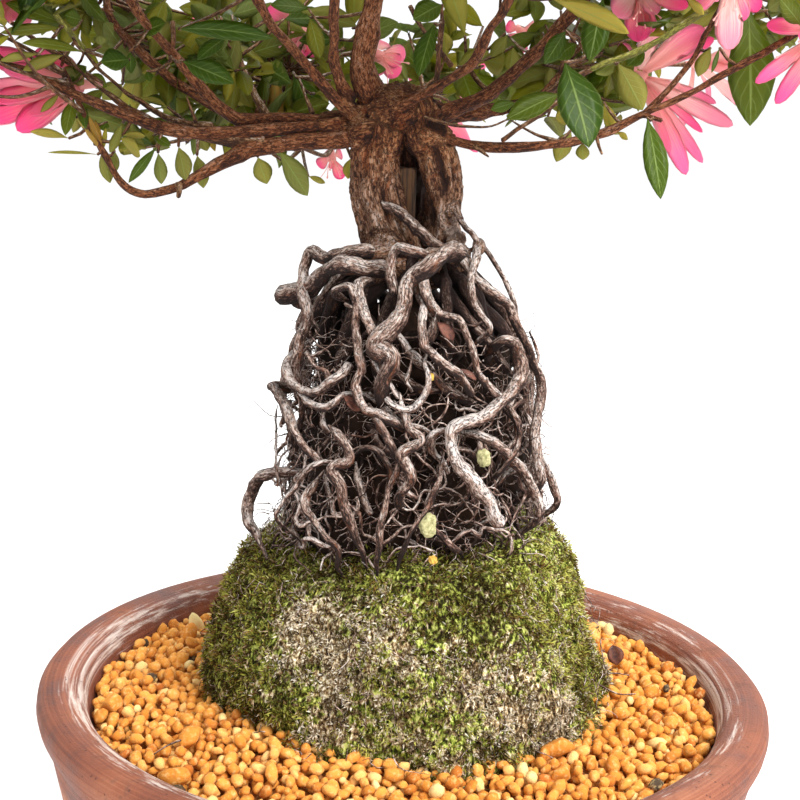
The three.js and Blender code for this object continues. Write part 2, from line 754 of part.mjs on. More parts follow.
// A round of blades about an axis, each leaning away from it by an angle.
function whorl({ heart, axis, count, lean, random, shape }) {
  const sideways = new THREE.Vector3(0.31, 0.23, 0.92).cross(axis).normalize();
  const startTurn = 2 * Math.PI * random();
  return Array.from({ length: count }, (_, k) => {
    const turn = startTurn + (2 * Math.PI * (k + between(random, -0.15, 0.15))) / count;
    const radial = sideways.clone().applyAxisAngle(axis, turn);
    const angle = between(random, ...lean);
    const along = radial.clone().multiplyScalar(Math.sin(angle)).addScaledVector(axis, Math.cos(angle));
    const face = axis.clone().addScaledVector(along, -axis.dot(along)).normalize();
    const size = between(random, 0.9, 1.1);
    const arch = between(random, 0.1, 0.3);
    return { ...shape, root: heart, along, face, arch, length: shape.length * size };
  });
}

// The same blade, with a hair's room all round it.
const withRoom = (shape) => ({
  ...shape,
  root: shape.root.clone().addScaledVector(shape.along, -GAP),
  length: shape.length + 2 * GAP,
  halfWidth: shape.halfWidth + GAP,
  thickness: shape.thickness + 2 * GAP,
});

// A bloom: narrow strap petals that spread from a short funnel, and stamens that stand out of it.
function bloomSolid({ foot, way }, seed) {
  const random = seeded(seed);
  const mouth = foot.clone().addScaledVector(way, FUNNEL_LENGTH);
  const rod = (from, to, radii, sides) => solidOf(limb([from.toArray(), to.toArray()], radii, sides, 1));
  const tipOf = ({ along, length }) => heart.clone().addScaledVector(along, length);
  const heart = mouth.clone().addScaledVector(way, -FUNNEL_MOUTH);
  const petals = whorl({ heart, axis: way, count: PETALS, lean: PETAL_LEAN, random, shape: PETAL });
  const stamens = whorl({ heart, axis: way, count: STAMENS, lean: STAMEN_LEAN, random, shape: STAMEN });
  return wasm.Manifold.union([
    rod(foot, mouth, [1.5, FUNNEL_MOUTH], 4),
    ...petals.map((shape) => solidOf(blade(shape))),
    ...stamens.map((shape) => rod(heart, tipOf(shape), [0.7, 0.7], 3)),
  ]);
}

// A spray: whorls of leaves that stand out of a small core, and a stalk for each bloom that it bears. A leaf
// that would cross another piece is shorter, and left out where a short one would cross it too.
function spraySolid(index, { centre, sizes, isShoot }, core, stalks, neighbours) {
  const random = seeded(500 + index);
  const outward = centre.clone().sub(vec(CROWN_HEART)).normalize();
  const up = new THREE.Vector3(0, 0, 1);
  const below = up.clone().negate().addScaledVector(outward, -0.4);
  const axes = [outward.clone().addScaledVector(up, 0.9), outward.clone().addScaledVector(up, -0.6), below];
  const used = isShoot ? axes.slice(1) : axes.slice(0, centre.z < UPPER_PADS_ABOVE ? 3 : 2);
  const leaves = used.flatMap((direction) => {
    const axis = direction.normalize();
    const heart = centre.clone().addScaledVector(axis, reachOf(sizes, axis) * LEAF_ROOTING);
    const count = direction === below ? LEAVES_BELOW : LEAVES_IN_WHORL;
    return whorl({ heart, axis, count, lean: LEAF_LEAN, random, shape: LEAF });
  });
  const grown = [];
  for (const leaf of leaves) {
    const { length, halfWidth } = leaf;
    const resized = LEAF_SIZES.map((k) => ({ ...leaf, length: length * k, halfWidth: halfWidth * k }));
    const fit = resized.find((shape) => solidOf(blade(withRoom(shape))).intersect(neighbours).isEmpty());
    if (fit) grown.push(solidOf(blade(fit)));
  }
  return wasm.Manifold.union([core, ...grown, ...stalks]);
}

// ---------- putting it together ----------

const woodRoom = woodSolid(GAP); // the wood with a hair's gap round it
place("pot", potSolid(), TERRACOTTA);
drainPlaces().forEach(([x, y], k) => place(`drain_screen_${k + 1}`, screenSolid(x, y), PLASTIC_MESH));
place("grit", gritSolid(), AKADAMA);
place("moss_mound", largest(moundSolid().subtract(woodRoom)), MOSS);
place("azalea_wood", largest(woodSolid().subtract(stakeSolid(GAP))), BARK);
place("bamboo_stake", stakeSolid(), BAMBOO);

const pads = padPlaces();
const cores = pads.map(({ centre, sizes }) => {
  return largest(solidOf(lump(centre.toArray(), sizes, 0, 0.16)).subtract(woodRoom));
});

// Blooms come first, each turned until it is clear of the pads, the wood and the other blooms.
const bloomsSoFar = [];
const stalks = pads.map(() => []);
BLOOMS.forEach(({ pad, toward }, k) => {
  const { centre, sizes } = pads[pad];
  const way = vec(toward).normalize();
  const foot = centre.clone().addScaledVector(way, reachOf(sizes, way) + STALK_LENGTH);
  const taken = wasm.Manifold.union([woodRoom, ...cores, ...bloomsSoFar]);
  const bloom = Array.from({ length: BLOOM_TURNS }, (_, turn) => 900 + BLOOM_TURNS * k + turn)
    .map((seed) => bloomSolid({ foot, way }, seed))
    .find((solid) => solid.intersect(taken).isEmpty());
  bloomsSoFar.push(bloom);
  const root = centre.clone().lerp(foot, 0.5);
  const end = foot.clone().addScaledVector(way, -GAP);
  stalks[pad].push(solidOf(limb([root.toArray(), end.toArray()], [1.2, 1.2], 4, 1)));
  place(`bloom_${String(k + 1).padStart(2, "0")}`, bloom, PETAL_PINK);
});

const sprays = [...cores];
pads.forEach((pad, k) => {
  const others = sprays.filter((_, other) => other !== k);
  const neighbours = wasm.Manifold.union([woodRoom, ...bloomsSoFar, ...others, ...stalks.flat()]);
  sprays[k] = spraySolid(k, pad, cores[k], stalks[k], neighbours);
  place(`leafy_spray_${String(k + 1).padStart(2, "0")}`, sprays[k], LEAF_GREEN);
});

export default tree;
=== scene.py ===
"""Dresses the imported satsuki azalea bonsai: its clay pot, grit, moss, roots, bark, leaves and blooms.

Metres and +Z up, as in the frame, with the origin under the middle of the pot. The tree's front faces -Y.
Sizes inside the classes are millimetres, and MM turns them into metres where the points are made.
"""
import functools
import logging
import math
from dataclasses import dataclass
from enum import StrEnum

import bpy
import numpy as np
from mathutils import Matrix, Vector
from mathutils.kdtree import KDTree


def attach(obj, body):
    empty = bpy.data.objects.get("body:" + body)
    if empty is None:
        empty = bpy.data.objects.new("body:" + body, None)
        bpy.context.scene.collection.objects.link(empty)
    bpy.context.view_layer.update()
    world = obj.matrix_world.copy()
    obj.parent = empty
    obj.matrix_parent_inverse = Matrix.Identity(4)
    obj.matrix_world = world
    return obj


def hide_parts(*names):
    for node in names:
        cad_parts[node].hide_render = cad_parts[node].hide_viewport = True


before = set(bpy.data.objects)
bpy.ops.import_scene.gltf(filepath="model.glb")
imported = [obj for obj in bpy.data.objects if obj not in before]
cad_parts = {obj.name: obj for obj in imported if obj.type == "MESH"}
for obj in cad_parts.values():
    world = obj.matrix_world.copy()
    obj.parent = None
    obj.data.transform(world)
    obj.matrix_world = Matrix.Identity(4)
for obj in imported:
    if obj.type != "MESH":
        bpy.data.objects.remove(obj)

logging.basicConfig(level=logging.INFO, format="%(message)s")
LOG = logging.getLogger("bonsai")

Array = np.ndarray
Place = tuple[float, float, float]
Socket = bpy.types.NodeSocket

MM = 0.001
BODY = "root"
BAKE_MAP = "OFBake"  # the map that a texture bake uses, where a piece brings its own
FULL_TURN = 2 * math.pi
GOLDEN_TURN = math.pi * (3 - math.sqrt(5))
UP = np.array([0.0, 0.0, 1.0])


class Slot(StrEnum):
    """The frame's material slots, one named with each piece made here."""

    TERRACOTTA = "terracotta"
    GRIT = "grit"
    MOSS = "moss"
    BARK = "bark"
    BAMBOO = "bamboo"
    LEAF = "leaf"
    PETAL = "petal"


# ---------- small sums ----------


def unit(vectors: Array) -> Array:
    """Vectors of length one in the same directions."""
    vectors = np.asarray(vectors, float)
    return vectors / np.maximum(np.linalg.norm(vectors, axis=-1, keepdims=True), 1e-12)


def square_to(vectors: Array, axes: Array) -> Array:
    """The part of each vector that is square to its axis, an axis of length one, brought to length one."""
    return unit(vectors - axes * (vectors * axes).sum(-1, keepdims=True))


def corner_values(corners: Array, seed: int) -> Array:
    """A repeatable number from -1 to 1 for each whole-numbered corner of a grid.

    Args:
        corners: whole numbers, three along the last axis.
        seed: picks another set of numbers.

    Returns:
        One number for each corner.
    """
    cells = corners.astype(np.int64).astype(np.uint32)
    primes = np.array([73856093, 19349663, 83492791], np.uint32)
    parts = cells * primes
    mixed = parts[..., 0] ^ parts[..., 1] ^ parts[..., 2] ^ np.uint32((seed * 40503 + 977) & 0xFFFFFFFF)
    for shift, factor in ((15, 0x2C1B3C6D), (12, 0x297A2D39)):
        mixed = (mixed ^ (mixed >> np.uint32(shift))) * np.array(factor, np.uint32)
    return (mixed ^ (mixed >> np.uint32(15))) / 2.0**31 - 1


def noise(points: Array, size: float, seed: int = 0) -> Array:
    """Smooth noise from -1 to 1.

    Args:
        points: where to read it, three numbers along the last axis.
        size: how far apart its swells are, in the same unit.
        seed: picks another pattern.

    Returns:
        One number for each point.
    """
    spot = np.asarray(points, float) / size
    corner = np.floor(spot)
    share = spot - corner
    share = share * share * (3 - 2 * share)
    total = np.zeros(spot.shape[:-1])
    for step in np.ndindex(2, 2, 2):
        weight = np.prod(np.where(step, share, 1 - share), axis=-1)
        total += weight * corner_values(corner + step, seed)
    return total


def cloud(points: Array, size: float, seed: int = 0, octaves: int = 3) -> Array:
    """Noise, mostly from -1 to 1, in layers that are each half as large as the one before."""
    layers = [noise(points, size / 2**k, seed + k) / 2**k for k in range(octaves)]
    return sum(layers) / (2 - 2.0 ** (1 - octaves)) * 1.3


def swell(value: Array, low: float, high: float) -> Array:
    """A smooth step from 0 at low to 1 at high."""
    share = np.clip((np.asarray(value, float) - low) / (high - low), 0, 1)
    return share * share * (3 - 2 * share)


def smooth_line(route: Array, step: float) -> Array:
    """Even samples of a centripetal curve through the points of a route.

    Args:
        route: the points that the curve passes through.
        step: how far apart the samples are, about.

    Returns:
        The samples, from the first point to the last.
    """
    route = np.asarray(route, float)
    ends = np.vstack([2 * route[0] - route[1], route, 2 * route[-1] - route[-2]])
    share = np.linspace(0, 1, 12, endpoint=False)[:, None]
    pieces = []
    for p0, p1, p2, p3 in zip(ends, ends[1:], ends[2:], ends[3:]):
        d0, d1, d2 = (max(np.linalg.norm(b - a), 1e-9) ** 0.5 for a, b in ((p0, p1), (p1, p2), (p2, p3)))
        out = ((p1 - p0) / d0 - (p2 - p0) / (d0 + d1) + (p2 - p1) / d1) * d1
        home = ((p2 - p1) / d1 - (p3 - p1) / (d1 + d2) + (p3 - p2) / d2) * d1
        cubic = 2 * p1 - 2 * p2 + out + home
        square = -3 * p1 + 3 * p2 - 2 * out - home
        pieces.append(((cubic * share + square) * share + out) * share + p1)
    fine = np.vstack([*pieces, route[-1:]])
    run = np.concatenate([[0], np.cumsum(np.linalg.norm(np.diff(fine, axis=0), axis=1))])
    even = np.linspace(0, run[-1], max(3, round(run[-1] / step) + 1))
    return np.stack([np.interp(even, run, fine[:, axis]) for axis in range(3)], axis=1)


def run_of(line: Array) -> Array:
    """How far along its line each point is."""
    return np.concatenate([[0], np.cumsum(np.linalg.norm(np.diff(line, axis=0), axis=1))])


def along(values: tuple[float, ...], count: int) -> Array:
    """Values spread evenly from one end of a line to the other, at count places."""
    return np.interp(np.linspace(0, len(values) - 1, count), np.arange(len(values)), values)


def drift(line: Array, size: float, seed: int) -> Array:
    """Smooth noise in X, Y and Z at each point of a line, to bend it by."""
    return np.stack([noise(line + 50 * axis, size, seed) for axis in range(3)], -1)


def around(radius: Array | float, turn: Array | float, height: Array | float) -> Array:
    """Points about the Z axis, by their radius, turn and height."""
    return np.stack(np.broadcast_arrays(radius * np.cos(turn), radius * np.sin(turn), height), -1)


def frames_of(line: Array) -> tuple[Array, Array, Array]:
    """The direction of a line at each point, and two directions across it that don't twist.

    Args:
        line: the points.

    Returns:
        Tangents, first and second directions across, each of length one.
    """
    tangents = unit(np.gradient(line, axis=0))
    start = np.cross(tangents[0], UP if abs(tangents[0][2]) < 0.9 else [1.0, 0, 0])
    firsts = np.empty_like(line)
    current = start
    for k, tangent in enumerate(tangents):
        current = current - tangent * (current @ tangent)
        current = current / max(math.sqrt(current @ current), 1e-12)
        firsts[k] = current
    return tangents, firsts, np.cross(tangents, firsts)


# ---------- meshes ----------


class Meshwork:
    """Gathers patches of points and faces into one mesh, with a few named values at each point.

    Patches are in millimetres. Charts are flat places for the corners of the faces, for texture bakes.
    """

    def __init__(self) -> None:
        """Starts with nothing in it."""
        self.points: list[Array] = []
        self.faces: dict[int, list[Array]] = {3: [], 4: []}
        self.charts: dict[int, list[Array]] = {3: [], 4: []}
        self.values: dict[str, list[tuple[int, Array]]] = {}
        self.has_charts = False
        self.count = 0

    def add(self, points: Array, faces: list[Array], charts: list[Array] | None = None, **values) -> None:
        """Adds one patch.

        Args:
            points: its points, in millimetres.
            faces: arrays of triangles and of quads, which count the patch's own points.
            charts: a place from 0 to 1 for each corner of the faces, array by array.
            values: numbers or vectors for each point, or one number for all.
        """
        self.points.append(np.asarray(points, float))
        self.has_charts |= charts is not None
        for k, patch in enumerate(faces):
            if len(patch):
                size = patch.shape[1]
                corner = np.array([[0, 0], [1, 0], [1, 1], [0, 1]])[:size] * 0.01 + 0.002
                chart = np.broadcast_to(corner, (len(patch), size, 2)) if charts is None else charts[k]
                self.faces[size].append(np.asarray(patch) + self.count)
                self.charts[size].append(chart)
        for name, value in values.items():
            value = np.asarray(value, float)
            value = np.full(len(points), value) if value.ndim == 0 else value
            self.values.setdefault(name, []).append((self.count, value))
        self.count += len(points)

    def build(self, name: str, finish: bpy.types.Material | None) -> bpy.types.Object:
        """Makes the mesh object.

        Args:
            name: the object's name.
            finish: its material.

        Returns:
            The object, in the scene.
        """
        mesh = bpy.data.meshes.new(name)
        points = np.concatenate(self.points) * MM
        kinds = [np.concatenate(self.faces[size]) for size in (3, 4) if self.faces[size]]
        corners = np.concatenate([kind.ravel() for kind in kinds])
        sizes = np.concatenate([np.full(len(kind), kind.shape[1]) for kind in kinds])
        starts = np.concatenate([[0], np.cumsum(sizes)[:-1]])
        mesh.vertices.add(len(points))
        mesh.vertices.foreach_set("co", points.astype(np.float32).ravel())
        mesh.loops.add(len(corners))
        mesh.loops.foreach_set("vertex_index", corners.astype(np.int32))
        mesh.polygons.add(len(sizes))
        mesh.polygons.foreach_set("loop_start", starts.astype(np.int32))
        mesh.polygons.foreach_set("use_smooth", np.ones(len(sizes), bool))
        mesh.update(calc_edges=True)
        for label, patches in self.values.items():
            whole = np.zeros((self.count, *patches[0][1].shape[1:]), np.float32)
            for start, patch in patches:
                whole[start : start + len(patch)] = patch
            kind, field = ("FLOAT", "value") if whole.ndim == 1 else ("FLOAT_VECTOR", "vector")
            mesh.attributes.new(label, kind, "POINT").data.foreach_set(field, whole.ravel())
        if self.has_charts:
            sizes = [size for size in (3, 4) if self.charts[size]]
            charts = [np.concatenate(self.charts[size]).reshape(-1, 2) for size in sizes]
            chart = mesh.uv_layers.new(name=BAKE_MAP)
            chart.uv.foreach_set("vector", np.concatenate(charts).astype(np.float32).ravel())
        if finish is not None:
            mesh.materials.append(finish)
        piece = bpy.data.objects.new(name, mesh)
        bpy.context.scene.collection.objects.link(piece)
        return piece


def settle(piece: bpy.types.Object, slot: Slot, *nodes: str) -> None:
    """Ties a finished piece to the tree's one body and reports it.

    Args:
        piece: the piece, in its place.
        slot: the material slot meant for its finish; not used.
        nodes: the plain solids that it stands for.
    """
    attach(piece, BODY)
    if nodes:
        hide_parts(*nodes)
    piece.data.calc_loop_triangles()
    LOG.info("%-22s %7d triangles", piece.name, len(piece.data.loop_triangles))


def ring_faces(rows: int, columns: int) -> Array:
    """Quads of a grid of points whose rows are closed rings.

    Args:
        rows: how many rings.
        columns: points in each.

    Returns:
        Four point numbers for each face.
    """
    row = np.arange(rows - 1)[:, None] * columns
    here = np.arange(columns)[None, :]
    after = (here + 1) % columns
    return np.stack([row + here, row + after, row + columns + after, row + columns + here], -1).reshape(-1, 4)


def fan_faces(hub: int, first: int, columns: int, flip: bool) -> Array:
    """Triangles from a hub to each side of a ring.

    Args:
        hub: the number of the hub's point.
        first: the number of the ring's first point.
        columns: points in the ring.
        flip: whether the faces look along -Z.

    Returns:
        Three point numbers for each face.
    """
    here = np.arange(columns)
    after = (here + 1) % columns
    ring = (after, here) if flip else (here, after)
    return np.stack([np.full(columns, hub), first + ring[0], first + ring[1]], -1)


def skin_faces(rows: int, columns: int) -> list[Array]:
    """Faces of a skin of closed rings, shut by a hub at each end: the last two points after the rings.

    Args:
        rows: how many rings.
        columns: points in each.

    Returns:
        The faces at the first end, at the last end and between the rings.
    """
    hub = rows * columns
    ends = [fan_faces(hub, 0, columns, True), fan_faces(hub + 1, hub - columns, columns, False)]
    return [*ends, ring_faces(rows, columns)]


def sweep(
    work: Meshwork, line: Array, radii: Array, sides: int, relief: Array | None = None, key: float = 0,
    **values: Array | float,
) -> None:  # fmt: skip
    """Adds a closed tube along a line.

    Each point gets a grain: how far along the tube it is, and where it lies across it.

    Args:
        work: what the tube is added to.
        line: the middle of the tube.
        radii: its radius at each point of the line.
        sides: how many points go round it.
        relief: what the radius is multiplied by, for each point of the line and each side.
        key: shifts the grain, so that no two tubes look alike.
        values: values for the whole tube, or for each point of its line.
    """
    tangents, firsts, seconds = frames_of(line)
    turn = np.arange(sides) / sides * FULL_TURN
    spokes = firsts[:, None] * np.cos(turn)[None, :, None] + seconds[:, None] * np.sin(turn)[None, :, None]
    reach = radii[:, None] * (1 if relief is None else relief)
    reach = np.broadcast_to(reach, (len(line), sides))
    skin = line[:, None] + spokes * reach[..., None]
    ends = np.stack([line[0] - tangents[0] * radii[0] * 0.5, line[-1] + tangents[-1] * radii[-1] * 0.7])
    run = run_of(line)
    across = np.stack([reach * np.cos(turn), reach * np.sin(turn)], -1)
    far = np.broadcast_to(run[:, None, None], (*reach.shape, 1))
    grain = np.concatenate([far, across], -1).reshape(-1, 3)
    grain = np.vstack([grain, [run[0], 0, 0], [run[-1], 0, 0]]) + [31.7 * key, 5.3 * key, 2.9 * key]
    spread = {}
    for name, value in values.items():
        value = np.asarray(value, float)
        if value.ndim:
            value = np.concatenate([np.repeat(value, sides), value[[0, -1]]])
        spread[name] = value
    work.add(np.vstack([skin.reshape(-1, 3), ends]), skin_faces(*reach.shape), grain=grain, **spread)


def bark_relief(line: Array, radii: Array, sides: int, key: float, knobs: float, ridges: float) -> Array:
    """How the skin of a limb swells and creases.

    Args:
        line: the middle of the limb.
        radii: its radii.
        sides: points round it.
        key: picks another pattern.
        knobs: how strong the swellings along it are.
        ridges: how strong the ridges along it are.

    Returns:
        A multiplier for each point of the line and each side.
    """
    run = run_of(line)
    turn = np.arange(sides) / sides * FULL_TURN
    shift = 61.3 * key
    lengthwise = cloud(np.stack([run + shift, run * 0, run * 0], -1), 7.5, 3, 2) * knobs
    round_it = around(radii[:, None], turn, (run + shift)[:, None] * 0.16)[..., [2, 0, 1]]
    crease = 1 - 2 * np.abs(cloud(round_it, 1.7, 11, 2))
    lumps = cloud(round_it * [5.5, 1, 1], 3.4, 17, 2)
    return 1 + lengthwise[:, None] + ridges * (0.7 * crease + 0.8 * lumps)


# ---------- finishes ----------


def shade(text: str) -> tuple[float, float, float, float]:
    """A colour as its shader needs it, from the usual six digits.

    Args:
        text: a hash and six digits.

    Returns:
        Red, green, blue and 1.
    """
    parts = (int(text[k : k + 2], 16) / 255 for k in (1, 3, 5))
    red, green, blue = (p / 12.92 if p <= 0.04045 else ((p + 0.055) / 1.055) ** 2.4 for p in parts)
    return red, green, blue, 1.0


class Surface:
    """The nodes of one material, with short methods for the few kinds of node that the finishes use."""

    def __init__(self, name: str) -> None:
        """Starts with a plain shader.

        Args:
            name: the material's name.
        """
        self.material = bpy.data.materials.new(name)
        self.material.use_nodes = True
        self.nodes = self.material.node_tree.nodes
        self.links = self.material.node_tree.links
        self.shader = self.nodes["Principled BSDF"]

    def put(self, socket: Socket, value: Socket | float | tuple | None) -> None:
        """Links a socket, or sets its number or colour.

        Args:
            socket: the input to fill.
            value: an output to link to it, its number or colour, or None to leave it as it is.
        """
        if isinstance(value, bpy.types.NodeSocket):
            self.links.new(value, socket)
        elif value is not None:
            socket.default_value = value

    def make(
        self, kind: str, fed: dict[str | int, Socket | float | tuple | None], output: str | int = 0,
        **settings: str,
    ) -> Socket:  # fmt: skip
        """Adds a node.

        Args:
            kind: what kind of node it is.
            fed: what goes into its inputs, by their names or numbers.
            output: the name or number of the output that is wanted.
            settings: the node's own settings.

        Returns:
            That output.
        """
        node = self.nodes.new(kind)
        for name, choice in settings.items():
            setattr(node, name, choice)
        for name, value in fed.items():
            self.put(node.inputs[name], value)
        return node.outputs[output]

    def value(self, name: str) -> Socket:
        """A number that the mesh holds at each point."""
        return self.make("ShaderNodeAttribute", {}, "Fac", attribute_name=name)

    def vector(self, name: str) -> Socket:
        """A vector that the mesh holds at each point."""
        return self.make("ShaderNodeAttribute", {}, "Vector", attribute_name=name)

    def place(self) -> Socket:
        """Where a point is on the object, in metres."""
        return self.make("ShaderNodeTexCoord", {}, "Object")

    def parts(self, vector: Socket) -> tuple[Socket, ...]:
        """The three numbers of a vector."""
        return tuple(self.make("ShaderNodeSeparateXYZ", {0: vector}).node.outputs)

    def stretch(self, vector: Socket, scale: Place) -> Socket:
        """A vector with its X, Y and Z multiplied."""
        return self.make("ShaderNodeMapping", {"Vector": vector, "Scale": scale})

    def noise(self, vector: Socket, scale: float, detail: float = 3, roughness: float = 0.55) -> Socket:
        """Cloudy noise from about 0.2 to 0.8."""
        fed = {"Vector": vector, "Scale": scale, "Detail": detail, "Roughness": roughness}
        return self.make("ShaderNodeTexNoise", fed)

    def cells(self, vector: Socket, scale: float) -> Socket:
        """How far each point is from the middle of the nearest cell."""
        return self.make("ShaderNodeTexVoronoi", {"Vector": vector, "Scale": scale}, "Distance")

    def ramp(self, share: Socket, *stops: tuple[float, str]) -> Socket:
        """A colour picked from stops by a number.

        Args:
            share: the number that picks.
            stops: numbers in rising order, each with its colour.

        Returns:
            The colour.
        """
        colour = self.make("ShaderNodeValToRGB", {0: share})
        elements = colour.node.color_ramp.elements
        for k, (position, paint) in enumerate(stops):
            element = elements[k] if k < 2 else elements.new(position)
            element.position = position
            element.color = shade(paint)
        return colour

    def fade(self, value: Socket, low: float, high: float, first: float = 0, last: float = 1) -> Socket:
        """A number eased from first, at low, to last, at high."""
        fed = dict(enumerate((value, low, high, first, last)))
        return self.make("ShaderNodeMapRange", fed, interpolation_type="SMOOTHSTEP")

    def sum(self, first: Socket | float, second: Socket | float, way: str = "ADD") -> Socket:
        """Two numbers added, or worked together another way."""
        return self.make("ShaderNodeMath", {0: first, 1: second}, operation=way)

    def times(self, value: Socket, factor: Socket | float) -> Socket:
        """Two numbers multiplied."""
        return self.sum(value, factor, "MULTIPLY")

    def weigh(self, *parts: tuple[Socket, float]) -> Socket:
        """Numbers added up, each times its own weight."""
        return functools.reduce(self.sum, [self.times(value, weight) for value, weight in parts])

    def blend(
        self, share: Socket | float, first: Socket | str, second: Socket | str, way: str = "MIX"
    ) -> Socket:
        """Two colours mixed by a share, or worked together another way.

        Args:
            share: how much of the second colour.
            first: one colour.
            second: the other.
            way: how the node mixes them.

        Returns:
            The mixed colour.
        """
        first, second = (shade(colour) if isinstance(colour, str) else colour for colour in (first, second))
        fed = {0: share, 6: first, 7: second}
        return self.make("ShaderNodeMix", fed, 2, data_type="RGBA", blend_type=way)

    def bump(self, height: Socket, depth: float, under: Socket | None = None) -> Socket:
        """The bent normal of small relief, so many millimetres deep, on the relief under it."""
        return self.make("ShaderNodeBump", {"Distance": depth * MM, "Height": height, "Normal": under})

    def coat(
        self, colour: Socket, roughness: Socket | float, normal: Socket | None = None, **more: float
    ) -> None:
        """Feeds the shader.

        Args:
            colour: the base colour.
            roughness: how dull the surface is.
            normal: the bent normal.
            more: other sockets by name, with _ for a space.
        """
        for name, value in {"Base_Color": colour, "Roughness": roughness, "Normal": normal, **more}.items():
            self.put(self.shader.inputs[name.replace("_", " ")], value)

    def let_light_through(self, share: float, colour: Socket, normal: Socket | None = None) -> None:
        """Mixes in light that comes through a thin sheet.

        Args:
            share: how much of the light goes through.
            colour: the colour it gets.
            normal: the bent normal.
        """
        glow = self.make("ShaderNodeBsdfTranslucent", {"Color": colour, "Normal": normal})
        mixed = self.make("ShaderNodeMixShader", {0: share, 1: self.shader.outputs[0], 2: glow})
        self.links.new(mixed, self.nodes["Material Output"].inputs["Surface"])


@dataclass(frozen=True)
class BarkFinish:
    """Flaky bark: small pale flakes on brown, painted paler where it faces up as if lit from above, with
    cracks and rusty patches.

    Attributes:
        name: the material's name.
        dark: the colour of its cracks, and of the painted shade where it lies deep.
        mid: its usual colour.
        pale: the colour of its flakes.
        depth: how deep its cracks are, in millimetres.
        rust: how strong its rusty patches are.
        dust_and_top_light: how much paler it is where it faces up, as painted light from above.
        flake_white_and_highlight: how white its palest flakes are; this whiteness also stands in for painted
            highlights.
    """

    name: str
    dark: str
    mid: str
    pale: str
    depth: float
    rust: float = 0.5
    dust_and_top_light: float = 0.14
    flake_white_and_highlight: float = 0.4

    def material(self) -> bpy.types.Material:
        """Makes the material, which reads grain, tone, deep and warm from the mesh.

        Returns:
            The material.
        """
        surface = Surface(self.name)
        grain = surface.vector("grain")
        tone, deep = surface.value("tone"), surface.value("deep")
        flakes = surface.noise(surface.stretch(grain, (0.36, 1.0, 1.0)), 1.6, 4, 0.7)
        streaks = surface.noise(surface.stretch(grain, (0.2, 1.0, 1.0)), 0.8, 3, 0.6)
        patches = surface.noise(surface.stretch(grain, (0.4, 0.8, 0.8)), 0.26, 3)
        # Painted light: the bark is paler where it faces up and darker where it faces down, as if lit from
        # above.
        rise = surface.parts(surface.make("ShaderNodeNewGeometry", {}, "Normal"))[2]
        dust_and_top_light = surface.fade(rise, -0.7, 0.8, -self.dust_and_top_light / 2, self.dust_and_top_light / 2)
        paler = surface.sum(tone, -0.5)
        level = surface.weigh(
            (flakes, 0.64), (streaks, 0.14), (patches, 0.22), (paler, 0.16), (dust_and_top_light, 1), (deep, -0.2)
        )
        # The palest flakes go towards white, partly as pale flakes and partly as painted highlights.
        pale = surface.blend(self.flake_white_and_highlight, self.pale, "#ffffff")
        skin = surface.ramp(level, (0.4, self.dark), (0.48, self.mid), (0.58, self.pale))
        skin = surface.blend(surface.fade(level, 0.57, 0.65, 0, 0.85), skin, pale)
        rusty = surface.noise(surface.stretch(grain, (0.3, 0.6, 0.6)), 0.55, 3, 0.6)
        skin = surface.blend(surface.fade(rusty, 0.55, 0.68, 0, self.rust), skin, "#7c4524")
        net = surface.noise(surface.stretch(grain, (0.35, 1.0, 1.0)), 1.0, 3, 0.6)
        cracks = surface.fade(surface.sum(surface.sum(net, -0.5), 0, "ABSOLUTE"), 0.006, 0.045)
        skin = surface.blend(surface.fade(cracks, 0.0, 1.0, 0.85, 0), skin, self.dark)
        skin = surface.blend(surface.value("warm"), skin, "#ffcf8c", "MULTIPLY")
        # Painted shade: deep darkens the bark in recesses, furrows and the inside of the root mass.
        skin = surface.blend(surface.times(deep, 0.92), skin, self.dark)
        relief = surface.weigh((flakes, 1), (streaks, 1), (cracks, 0.5))
        surface.coat(skin, 0.85, surface.bump(relief, self.depth), Specular_IOR_Level=0.3)
        return surface.material


@dataclass(frozen=True)
class FuzzFinish:
    """Small blades, such as moss: kind picks the colour, and light, which rises with how far out a point is,
    paints light and shade onto it.

    Attributes:
        name: the material's name.
        stops: the colours from one kind to the next.
    """

    name: str
    stops: tuple[tuple[float, str], ...]

    def material(self) -> bpy.types.Material:
        """Makes the material, which reads kind and light from the mesh.

        Returns:
            The material.
        """
        surface = Surface(self.name)
        colour = surface.ramp(surface.value("kind"), *self.stops)
        # Painted shade and light: the colour goes nearly black where light is low and stays whole where light
        # is high.
        depth = surface.ramp(surface.value("light"), (0.0, "#181008"), (0.28, "#85755c"), (0.52, "#ffffff"))
        lit = surface.blend(1.0, colour, depth, "MULTIPLY")
        surface.coat(lit, 0.75, Specular_IOR_Level=0.2)
        surface.let_light_through(0.5, lit)
        return surface.material


